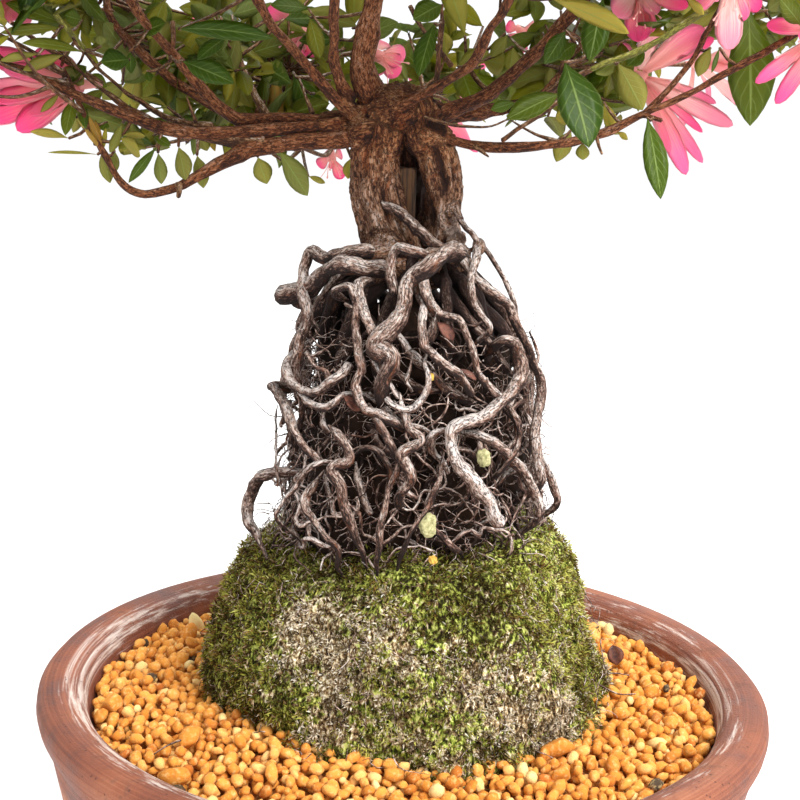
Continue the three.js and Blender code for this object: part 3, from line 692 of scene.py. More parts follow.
@dataclass(frozen=True)
class MossBedFinish:
    """Low dense moss seen from above: green, brown and bleached flecks, for what lies between the blades,
    with painted shadow.
    """

    name: str = "moss_bed"

    def material(self) -> bpy.types.Material:
        """Makes the material, which reads cream, lush and bright from the mesh.

        Returns:
            The material.
        """
        surface = Surface(self.name)
        place = surface.place()
        flecks = surface.noise(surface.stretch(place, (1.0, 1.0, 0.55)), 950, 3, 0.6)
        levels = (0.38, 0.47, 0.55, 0.64)
        green = surface.ramp(flecks, *zip(levels, ("#171005", "#45421a", "#83893a", "#c3c56e")))
        fresh = surface.ramp(flecks, *zip(levels, ("#191505", "#56661e", "#9cab41", "#d4d97e")))
        dry = surface.ramp(flecks, (0.38, "#1f140a"), (0.47, "#745a3c"), (0.55, "#b9a47c"), (0.63, "#efe5cc"))
        body = surface.blend(surface.value("lush"), green, fresh)
        mottle = surface.noise(place, 330, 3, 0.6)
        share = surface.weigh((surface.value("cream"), 1), (surface.sum(mottle, -0.5), 2.6))
        body = surface.blend(surface.fade(share, 0.3, 0.6), body, dry)
        # Painted shadow: dark patches, darker still where the moss is painted dim.
        shadow = surface.fade(surface.noise(place, 210, 3, 0.6), 0.36, 0.54, 0.5, 0)
        shadow = surface.sum(shadow, surface.fade(surface.value("bright"), 0.3, 0.9, 0.6, 0))
        body = surface.blend(shadow, body, "#1c1206")
        surface.coat(body, 0.95, surface.bump(flecks, 1.0), Specular_IOR_Level=0.15)
        return surface.material


@dataclass(frozen=True)
class SoilFinish:
    """Matted old soil: dark crumbs with a few paler fibres.

    Attributes:
        name: the material's name.
        dark: the colour of its hollows.
        light: the colour of its crumbs.
        crumb: the size of its crumbs, in millimetres.
    """

    name: str
    dark: str
    light: str
    crumb: float

    def material(self) -> bpy.types.Material:
        """Makes the material.

        Returns:
            The material.
        """
        surface = Surface(self.name)
        place = surface.place()
        crumbs = surface.noise(place, 1 / (self.crumb * MM), 5, 0.65)
        patches = surface.noise(place, 0.12 / (self.crumb * MM), 3)
        level = surface.weigh((crumbs, 0.6), (patches, 0.4))
        colour = surface.ramp(level, (0.38, self.dark), (0.66, self.light))
        surface.coat(colour, 0.95, surface.bump(crumbs, 0.8), Specular_IOR_Level=0.15)
        return surface.material


@dataclass(frozen=True)
class GritFinish:
    """Soft baked clay pellets, each of its own tone, with fine pores and a few dark specks."""

    name: str = "akadama_grit"

    def material(self) -> bpy.types.Material:
        """Makes the material, which reads tone from the mesh.

        Returns:
            The material.
        """
        surface = Surface(self.name)
        place = surface.place()
        tones = ((0.0, "#4a3c2e"), (0.05, "#80461b"), (0.2, "#b5672a"), (0.45, "#cf8333"), (0.75, "#e09c47"),
                 (0.93, "#efbd72"), (1.0, "#ecd596"))  # fmt: skip
        body = surface.ramp(surface.value("tone"), *tones)
        clouds = surface.noise(place, 700, 4, 0.6)
        dust_and_top_light = surface.blend(surface.fade(clouds, 0.48, 0.72, 0, 0.42), body, "#f9dc9c")
        stain = surface.blend(surface.fade(surface.noise(place, 420, 3), 0.56, 0.7, 0, 0.4), dust_and_top_light, "#a45a24")
        specks = surface.fade(surface.cells(place, 1500), 0.10, 0.16, 0.5, 0)
        colour = surface.blend(specks, stain, "#6b3a1c")
        pores = surface.noise(place, 2600, 3, 0.6)
        surface.coat(colour, 0.92, surface.bump(surface.sum(pores, clouds), 0.25), Specular_IOR_Level=0.2)
        return surface.material


@dataclass(frozen=True)
class ClayFinish:
    """Unglazed fired clay, thrown on a wheel, with a pale mineral crust where water has dried."""

    name: str = "fired_clay"

    def material(self) -> bpy.types.Material:
        """Makes the material, which reads wheel, crust and wear from the mesh.

        Returns:
            The material.
        """
        surface = Surface(self.name)
        place, wheel = surface.place(), surface.vector("wheel")
        lines = surface.noise(surface.stretch(wheel, (1.0, 1.0, 0.05)), 1.1, 4, 0.6)
        broad = surface.noise(surface.stretch(wheel, (1.0, 1.0, 0.35)), 0.14, 3, 0.5)
        blotches = surface.noise(place, 55, 5, 0.66)
        level = surface.weigh((lines, 0.3), (broad, 0.25), (blotches, 0.45))
        red = surface.ramp(level, (0.38, "#552a1c"), (0.47, "#763e28"), (0.54, "#8a4e34"), (0.64, "#a4694c"))
        tan = surface.ramp(level, (0.36, "#8a5034"), (0.50, "#a36643"), (0.66, "#bb8459"))
        body = surface.blend(surface.value("wear"), red, tan)
        grime = surface.fade(surface.noise(place, 110, 4, 0.65), 0.52, 0.68, 0, 0.55)
        body = surface.blend(grime, body, "#55342a")
        salts = surface.noise(surface.stretch(wheel, (1.3, 1.3, 0.9)), 0.42, 5, 0.7)
        reach = surface.sum(surface.weigh((surface.value("crust"), 1), (salts, 1.7)), -1.12)
        body = surface.blend(surface.fade(reach, 0.0, 0.42, 0, 0.9), body, "#dccdc3")
        pits = surface.fade(surface.cells(place, 300), 0.05, 0.13, 1, 0)
        body = surface.blend(surface.times(pits, 0.7), body, "#472419")
        relief = surface.weigh((lines, 1), (pits, -0.9), (surface.noise(place, 1300, 4), 1))
        surface.coat(body, surface.fade(blotches, 0.3, 0.7, 0.55, 0.85), surface.bump(relief, 0.42))
        return surface.material


@dataclass(frozen=True)
class LeafFinish:
    """Leaves with a pale midrib and side veins: glossy above, paler and duller below.

    Attributes:
        name: the material's name.
        upper: colours of the upper side, from the darkest leaf to the youngest.
        lower: the same for the underside.
    """

    name: str
    upper: tuple[tuple[float, str], ...]
    lower: tuple[tuple[float, str], ...]

    def material(self) -> bpy.types.Material:
        """Makes the material, which reads blade and tone from the mesh.

        Returns:
            The material.
        """
        surface = Surface(self.name)
        run, across, skin = surface.parts(surface.vector("blade"))
        tone = surface.value("tone")
        edge = surface.times(across, across)
        out = surface.sum(edge, 0.5, "POWER")
        under = surface.fade(skin, 0.1, -0.1)
        body = surface.blend(under, surface.ramp(tone, *self.upper), surface.ramp(tone, *self.lower))
        slant = surface.weigh((run, 7 * FULL_TURN), (out, -2 * FULL_TURN))
        vein = surface.fade(surface.sum(slant, 0, "SINE"), 0.76, 1, 0, 0.26)
        rib = surface.fade(out, 0.02, 0.09, 0.6, 0)
        body = surface.blend(surface.sum(vein, rib, "MAXIMUM"), body, "#a3b86a")
        body = surface.blend(surface.fade(edge, 0.8, 1.0, 0, 0.4), body, "#93a05c")
        relief = surface.weigh((vein, 1), (rib, 1), (surface.noise(surface.place(), 900, 2), 1))
        normal = surface.bump(relief, 0.15)
        surface.coat(body, surface.fade(under, 0, 1, 0.4, 0.7), normal, Specular_IOR_Level=0.28)
        glow = surface.blend(0.5, body, "#b9c832")
        surface.let_light_through(0.55, glow, normal)
        return surface.material


@dataclass(frozen=True)
class PetalFinish:
    """Strap petals: salmon at the foot and along the edges, hot pink towards the tip, with fine streaks."""

    name: str = "strap_petal"

    def material(self) -> bpy.types.Material:
        """Makes the material, which reads blade and tone from the mesh.

        Returns:
            The material.
        """
        surface = Surface(self.name)
        blade = surface.vector("blade")
        run, across, _ = surface.parts(blade)
        tone = surface.value("tone")
        foot = surface.ramp(tone, (0.0, "#ffa3a8"), (0.5, "#ffbcb6"), (1.0, "#ffdfd8"))
        tip = surface.ramp(tone, (0.0, "#ff3f98"), (0.5, "#ff7bb0"), (1.0, "#ffa8b8"))
        streaks = surface.noise(surface.stretch(blade, (0.5, 3.2, 0.0)), 2.2, 4, 0.6)
        reach = surface.weigh((run, 1), (surface.sum(streaks, -0.5), 1.3))
        body = surface.blend(surface.fade(reach, 0.3, 0.9), foot, tip)
        edge = surface.fade(surface.times(across, across), 0.6, 1.0, 0, 0.35)
        body = surface.blend(edge, body, "#ffd2cc")
        normal = surface.bump(streaks, 0.3)
        surface.coat(body, 0.5, normal, Specular_IOR_Level=0.35)
        surface.let_light_through(0.6, surface.blend(0.3, body, "#ffffff"), normal)
        return surface.material


@dataclass(frozen=True)
class PlainFinish:
    """A smooth made thing with soft clouds of tone.

    Attributes:
        name: the material's name.
        dark: its darker colour.
        light: its lighter colour.
        grain: how stretched its pattern is along X, Y and Z.
        size: the size of its pattern, in millimetres.
        roughness: how dull it is.
    """

    name: str
    dark: str
    light: str
    grain: Place
    size: float
    roughness: float

    def material(self) -> bpy.types.Material:
        """Makes the material.

        Returns:
            The material.
        """
        surface = Surface(self.name)
        pattern = surface.noise(surface.stretch(surface.place(), self.grain), 1 / (self.size * MM), 4, 0.6)
        colour = surface.ramp(pattern, (0.35, self.dark), (0.65, self.light))
        surface.coat(colour, self.roughness, surface.bump(pattern, 0.25))
        return surface.material


# The trunk's and the branches' colours are dark partly for their own bark and partly to paint the shade that
# the crown casts on them.
TRUNK_BARK = BarkFinish("trunk_bark", "#260f05", "#5a3621", "#926e56", 1.1, 0.6, 0.1, 0.2)
BRANCH_BARK = BarkFinish("branch_bark", "#2c1206", "#68381c", "#926040", 0.6, 0.3, 0.08, 0.1)
ROOT_BARK = BarkFinish("root_bark", "#1f0f0a", "#66493d", "#ad978b", 0.8, 0.4, 0.24)
FINE_ROOT_BARK = BarkFinish("fine_root_bark", "#1c0d08", "#62453a", "#b59d90", 0.15, 0.35, 0.16)
YOUNG_BARK = BarkFinish("young_twig", "#2c170b", "#63412a", "#927050", 0.1)
GREEN_BARK = BarkFinish("green_twig", "#4d4a1e", "#7b7a34", "#a39c52", 0.1, 0.15)
# Nearly black: the root heart's soil colour also paints the deep shade inside the root column.
ROOT_SOIL = SoilFinish("matted_root_soil_in_shade", "#0a0503", "#2a1a10", 1.6)
MOSS = FuzzFinish("moss", (
    (0.00, "#fffcf2"), (0.12, "#fbefd6"), (0.24, "#c9b28e"), (0.34, "#6e4c34"), (0.44, "#a0823f"),
    (0.56, "#7d8430"), (0.70, "#b4b750"), (0.84, "#dfdf76"), (0.94, "#f2f0a8"), (1.00, "#fbf9d6"),
))  # fmt: skip
LEAF_TONES = (0, 0.3, 0.55, 0.75, 0.92, 1)
AZALEA_LEAF = LeafFinish(
    "azalea_leaf",
    tuple(zip(LEAF_TONES, ("#1f4418", "#485f1d", "#7a7726", "#9c9431", "#bba63f", "#b0622b"))),
    tuple(zip(LEAF_TONES, ("#5e703c", "#7c834a", "#978f49", "#ae9f4c", "#c4ad54", "#b5743a"))),
)


# ---------- the pot and what lies in it ----------


@dataclass(frozen=True)
class ClayPot:
    """A round clay pot with a thick rolled lip and three drainage holes.

    Attributes:
        outline: radius and height of its section, from the middle of the foot to the middle of the floor.
        sides: how many points go round it.
        hole_radius: the drainage holes' radius.
        hole_circle: how far they are from the middle.
    """

    outline: tuple[tuple[float, float], ...] = (
        (2, 0), (60, 0), (100.5, 0), (102.4, 0.9), (103.2, 3), (107.6, 25), (111.8, 46), (115.6, 64),
        (116.6, 69), (117.6, 73), (119.3, 76), (120.7, 79.6), (121, 83), (119.9, 85.7), (117.2, 87.1),
        (113, 87.1), (109.2, 86), (106.4, 84.2), (105, 81.2), (103.8, 74), (100.6, 56), (97.2, 36), (94, 18),
        (92.6, 13),
        (88.5, 10.2), (60, 10), (2, 10),
    )  # fmt: skip
    sides: int = 128
    hole_radius: float = 9
    hole_circle: float = 46

    def section(self) -> Array:
        """The outline as a smooth line of radius and height."""
        route = np.array([(radius, 0, height) for radius, height in self.outline], float)
        return np.maximum(smooth_line(route, 3.1)[:, [0, 2]], 0)

    def build(self) -> bpy.types.Object:
        """Makes the pot, with its holes cut.

        Returns:
            The pot.
        """
        section = self.section()
        turn = np.arange(self.sides) / self.sides * FULL_TURN
        radius, height = section[:, :1], section[:, 1:]
        spot = np.stack(np.broadcast_arrays(radius, height, 40 * np.cos(turn)), -1)
        wheel_marks = 0.16 * noise(spot * [1, 1, 0.02], 2.3, 5) + 0.3 * noise(spot * [1, 1, 0.5], 22, 6)
        out = radius + np.where(radius > 99, wheel_marks * swell(radius, 99, 104), 0) - 0.2
        hubs = np.array([[0, 0, section[0, 1]], [0, 0, section[-1, 1]]])
        inner_lip = swell(radius, 103.4, 106) * swell(-radius, -116.5, -110) * swell(height, 72, 79)
        inner_wall = swell(-radius, -106.5, -105.6) * swell(height, 66, 76) * 0.8
        left, right = swell(np.cos(turn - 3.55), 0.3, 0.9), swell(np.cos(turn - 0.4), 0.2, 0.9)
        crust = inner_lip * (0.3 + 0.14 * left) + inner_wall * (0.02 + 0.2 * right)
        wear = swell(-height, -67, -60) * swell(radius, 99, 103)
        work = Meshwork()
        work.add(
            np.vstack([around(out, turn, height).reshape(-1, 3), hubs]),
            skin_faces(*out.shape),
            wheel=np.vstack([spot.reshape(-1, 3), hubs]),
            crust=np.append(np.broadcast_to(crust, out.shape).ravel(), [0, 0]),
            wear=np.append(np.broadcast_to(wear, out.shape).ravel(), [1, 0]),
        )
        pot = work.build("clay_pot", ClayFinish().material())
        self.cut_holes(pot)
        settle(pot, Slot.TERRACOTTA, "pot")
        return pot

    def cut_holes(self, pot: bpy.types.Object) -> None:
        """Cuts the three drainage holes through the floor.

        Args:
            pot: the pot.
        """
        for k in range(3):
            turn = FULL_TURN * k / 3 + FULL_TURN / 4
            spot = around(self.hole_circle * MM, turn, 0.005)
            radius = self.hole_radius * MM
            bpy.ops.mesh.primitive_cylinder_add(vertices=40, radius=radius, depth=0.03, location=spot)
            drill = bpy.context.object
            cut = pot.modifiers.new("hole", "BOOLEAN")
            cut.operation, cut.solver, cut.object = "DIFFERENCE", "EXACT", drill
            apply_modifiers(pot)
            bpy.data.objects.remove(drill)


def apply_modifiers(piece: bpy.types.Object) -> None:
    """Replaces a piece's mesh by what its modifiers make of it.

    Args:
        piece: the piece.
    """
    shaped = bpy.data.meshes.new_from_object(piece.evaluated_get(bpy.context.evaluated_depsgraph_get()))
    piece.modifiers.clear()
    piece.data = shaped


def ball(levels: int) -> tuple[Array, Array]:
    """The points and triangles of a round ball of radius one, made from an icosahedron.

    Args:
        levels: how many times each triangle is split in four.

    Returns:
        Points and triangles.
    """
    gold = (1 + math.sqrt(5)) / 2
    points = [(-1, gold, 0), (1, gold, 0), (-1, -gold, 0), (1, -gold, 0), (0, -1, gold), (0, 1, gold),
              (0, -1, -gold), (0, 1, -gold), (gold, 0, -1), (gold, 0, 1), (-gold, 0, -1),
              (-gold, 0, 1)]  # fmt: skip
    faces = [(0, 11, 5), (0, 5, 1), (0, 1, 7), (0, 7, 10), (0, 10, 11), (1, 5, 9), (5, 11, 4), (11, 10, 2),
             (10, 7, 6), (7, 1, 8), (3, 9, 4), (3, 4, 2), (3, 2, 6), (3, 6, 8), (3, 8, 9), (4, 9, 5),
             (2, 4, 11), (6, 2, 10), (8, 6, 7), (9, 8, 1)]  # fmt: skip
    points = [tuple(p) for p in unit(np.array(points))]
    for _ in range(levels):
        middles: dict[tuple[int, int], int] = {}

        def middle(a: int, b: int) -> int:
            """The point half way between two others, made once.

            Args:
                a: the number of one point.
                b: the number of the other.

            Returns:
                The new point's number.
            """
            pair = (min(a, b), max(a, b))
            if pair not in middles:
                middles[pair] = len(points)
                points.append(tuple(unit(np.add(points[a], points[b]))))
            return middles[pair]

        split = []
        for a, b, c in faces:
            ab, bc, ca = middle(a, b), middle(b, c), middle(c, a)
            split += [(a, ab, ca), (b, bc, ab), (c, ca, bc), (ab, bc, ca)]
        faces = split
    return np.array(points), np.array(faces)


def turns_of(rng: np.random.Generator, count: int) -> Array:
    """Random rotations, as three-by-three matrices.

    Args:
        rng: the source of chance.
        count: how many.

    Returns:
        One matrix for each.
    """
    spin = unit(rng.normal(size=(count, 4)))
    w, x, y, z = spin.T
    rows = [
        [1 - 2 * (y * y + z * z), 2 * (x * y - z * w), 2 * (x * z + y * w)],
        [2 * (x * y + z * w), 1 - 2 * (x * x + z * z), 2 * (y * z - x * w)],
        [2 * (x * z - y * w), 2 * (y * z + x * w), 1 - 2 * (x * x + y * y)],
    ]
    return np.moveaxis(np.array(rows), 2, 0)


# For each patch of moss its middle and size, the share of bleached blades, how fresh it is and how bright it
# is painted, which stands in for the light on it.
MOSS_PATCHES: tuple[tuple[Place, float, float, float, float], ...] = (
    ((-31, -47, 125), 7, 0.95, 0.5, 0.97),
    ((-33, -52, 112), 8, 0.76, 0.4, 0.92),
    ((-14, -57, 122), 11, 0.56, 0.35, 0.92),
    ((-2, -61, 114), 10, 0.64, 0.45, 0.92),
    ((-20, -62, 107), 9, 0.66, 0.55, 0.92),
    ((6, -54, 128), 9, 0.28, 0.5, 0.81),
    ((-58, -22, 112), 14, 0.08, 0.22, 0.86),
    ((-47, -40, 112), 9, 0.12, 0.3, 0.86),
    ((-47, -25, 130), 10, 0.06, 0.2, 0.76),
    ((-18, -41, 135), 12, 0.08, 0.28, 0.67),
    ((10, -46, 134), 10, 0.08, 0.3, 0.65),
    ((22, -51, 125), 7, 0.16, 0.1, 0.54),
    ((43, -10, 136), 11, 0.1, 0.72, 0.97),
    ((53, -23, 122), 11, 0.1, 0.7, 0.99),
    ((38, -38, 127), 8, 0.26, 0.5, 0.86),
    ((48, -42, 110), 10, 0.34, 0.78, 1.08),
    ((59, -36, 97), 8, 0.26, 0.4, 0.81),
    ((40, -54, 100), 9, 0.76, 0.7, 1.08),
    ((28, -58, 108), 8, 0.64, 0.6, 1.03),
    ((50, -49, 90), 8, 0.74, 0.6, 0.97),
    ((2, -68, 95), 12, 0.32, 0.85, 1.08),
    ((10, -66, 104), 9, 0.36, 0.7, 1.03),
    ((17, -70, 84), 8, 0.36, 0.7, 0.92),
    ((27, -66, 87), 4.5, 0.36, 0.05, 0.43),
    ((57, -41, 92), 3.5, 0.26, 0.05, 0.49),
    ((-36, -56, 100), 8, 0.14, 0.35, 0.81),
    ((-26, -64, 93), 5, 0.76, 0.4, 0.86),
)


@dataclass(frozen=True)
class GritFill:
    """The orange pellets that fill the pot round the mound, dropped one by one onto a bed.

    Attributes:
        bed_height: the top of the bed that the loose pellets lie on.
        rise: how much higher it is at the mound.
        heap: how much higher still it is at the mound's gully.
        heap_at: the middle of that heap.
        heap_size: how wide it is.
        inner: how near the middle pellets lie.
        outer: the pot's inner radius at the grit.
        pellets: how many pellets are dropped.
        radii: the smallest and the largest usual radius.
        chunks: how many of them are large.
        chunk_radii: the smallest and the largest radius of a large one.
        tries: how many places each pellet rolls through before it lies.
        shapes: how many different shapes there are.
        packing: how near two of them come, as a share of their radii together.
        settling: how high one lies over another, as a share of what balls would.
        resting: how high above the bed one lies, in its own radii.
        pale: the share of nearly white ones.
        dark: the share of dark ones.
    """

    bed_height: float = 75.0
    rise: float = 4.5
    heap: float = 4.0
    heap_at: tuple[float, float] = (-42, -40)
    heap_size: float = 26
    inner: float = 54
    outer: float = 104.2
    pellets: int = 3000
    radii: tuple[float, float] = (1.3, 2.3)
    chunks: int = 20
    chunk_radii: tuple[float, float] = (2.9, 4.0)
    tries: int = 7
    shapes: int = 20
    packing: float = 0.9
    settling: float = 0.82
    resting: float = 0.55
    pale: float = 0.025
    dark: float = 0.01

    def bed_at(self, spots: Array) -> Array:
        """The bed's height at places given by X and Y.

        Args:
            spots: the places.

        Returns:
            One height for each.
        """
        radius = np.hypot(spots[..., 0], spots[..., 1])
        near = np.exp(-(((spots - self.heap_at) / self.heap_size) ** 2).sum(-1))
        return self.bed_height + self.rise * swell(-radius, -self.outer, -66) + self.heap * near

    def drop(self, rng: np.random.Generator) -> tuple[Array, Array]:
        """Drops the pellets.

        Args:
            rng: the source of chance.

        Returns:
            Their middles and their radii.
        """
        sizes = rng.uniform(*self.radii, self.pellets) * rng.uniform(0.85, 1.1, self.pellets)
        picked = rng.choice(np.arange(self.pellets // 2, self.pellets), self.chunks, replace=False)
        sizes[picked] = rng.uniform(*self.chunk_radii, self.chunks)
        middles = np.zeros((self.pellets, 3))
        for k, size in enumerate(sizes):
            turn = rng.uniform(0, FULL_TURN, self.tries)
            radius = np.sqrt(rng.uniform(self.inner**2, (self.outer - size) ** 2, self.tries))
            spots = np.stack([radius * np.cos(turn), radius * np.sin(turn)], -1)
            gaps = np.linalg.norm(spots[:, None] - middles[None, :k, :2], axis=-1)
            reach = (size + sizes[None, :k]) * self.packing
            stacked = middles[None, :k, 2] + np.sqrt(np.maximum(reach**2 - gaps**2, 0)) * self.settling
            stacked = np.where(gaps < reach, stacked, -1e3).max(axis=1, initial=-1e3)
            heights = np.maximum(stacked, self.bed_at(spots) + size * self.resting)
            best = int(np.argmin(heights - self.bed_at(spots)))
            middles[k] = (*spots[best], heights[best])
        return middles, sizes

    def shapes_of(self, rng: np.random.Generator, points: Array) -> list[Array]:
        """Some uneven pellets of radius one: round, long and broken ones.

        Args:
            rng: the source of chance.
            points: the points of an even ball.

        Returns:
            The points of each shape.
        """
        made = []
        for k in range(self.shapes):
            uneven = 0.16 * noise(points, 0.9, 40 + k) + 0.07 * noise(points, 0.42, 70 + k)
            lumpy = points * (1 + uneven)[:, None]
            for _ in range(6 if k % 3 == 0 else 3):
                facet = unit(rng.normal(size=3))
                over = np.maximum(lumpy @ facet - rng.uniform(0.62, 0.92), 0)
                lumpy = lumpy - over[:, None] * facet * 0.9
            made.append(lumpy * rng.uniform((1.0, 0.85, 0.72), (1.5, 1.1, 1.0)))
        return made

    def build(self) -> None:
        """Makes the bed and the pellets."""
        rng = np.random.default_rng(77)
        middles, sizes = self.drop(rng)
        chunk_ball, pellet_ball = ball(2), cobble()
        chunks, pellets = self.shapes_of(rng, chunk_ball[0]), self.shapes_of(rng, pellet_ball[0])
        spins = turns_of(rng, self.pellets)
        usual = np.clip(rng.normal(0.62, 0.17, self.pellets), 0.08, 0.95)
        tones = np.where(rng.random(self.pellets) < self.pale, rng.uniform(0.96, 1.0, self.pellets), usual)
        tones = np.where(rng.random(self.pellets) < self.dark, 0.0, tones)
        columns = math.ceil(math.sqrt(self.pellets))
        work = Meshwork()
        for k, (middle, size) in enumerate(zip(middles, sizes)):
            is_large = size > self.chunk_radii[0] - 0.05
            points = (chunks if is_large else pellets)[k % self.shapes]
            faces = (chunk_ball if is_large else pellet_ball)[1]
            chart = self.chart_of(points, faces, np.array([k % columns, k // columns]), columns)
            tone = tones[k] * (0.72 if is_large and k % 3 == 0 else 1)
            work.add(points @ spins[k] * size + middle, [faces], [chart], tone=tone)
        settle(work.build("grit_pellets", GritFinish().material()), Slot.GRIT, "grit")
        self.build_bed()

    @staticmethod
    def chart_of(points: Array, faces: Array, cell: Array, columns: int) -> Array:
        """Lays a pellet's two halves side by side in its own cell of a square.

        Args:
            points: the pellet's points.
            faces: its faces.
            cell: column and row of its cell.
            columns: cells along each side of the square.

        Returns:
            A place in the square for each corner of each face.
        """
        corners = points[faces]
        is_low = corners[..., 2].mean(axis=1) < 0
        flat = np.clip(corners[..., :2] * 0.3 + 0.5, 0.02, 0.98) * [0.5, 1.0]
        flat[..., 0] += np.where(is_low, 0.5, 0)[:, None]
        return (cell + flat) / columns

    def build_bed(self) -> None:
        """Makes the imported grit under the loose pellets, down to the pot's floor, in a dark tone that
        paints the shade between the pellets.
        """
        sides = 96
        turn = np.arange(sides) / sides * FULL_TURN
        radii = np.array([87.0, 92.2, 97.0, self.outer - 2.2, 102.6, 98, 92, 86, 80, 74, 68, 62, 54, 40])
        x, y = radii[:, None] * np.cos(turn), radii[:, None] * np.sin(turn)
        height = self.bed_at(np.stack([x, y], -1)) - 0.6 + 0.7 * noise(np.stack([x, y, 0 * x], -1), 4.0, 9)
        height[:4] = np.array([10.6, 15, 40, 62])[:, None]
        hubs = [[0, 0, 10.6], [0, 0, self.bed_height + self.rise]]
        skin = np.vstack([np.stack([x, y, height], -1).reshape(-1, 3), hubs])
        work = Meshwork()
        # Painted shade: the low tone darkens the bed, which shows only in the gaps between the pellets.
        work.add(skin, skin_faces(*x.shape), tone=0.07)
        settle(work.build("grit_bed", GritFinish("shaded_packed_grit").material()), Slot.GRIT)


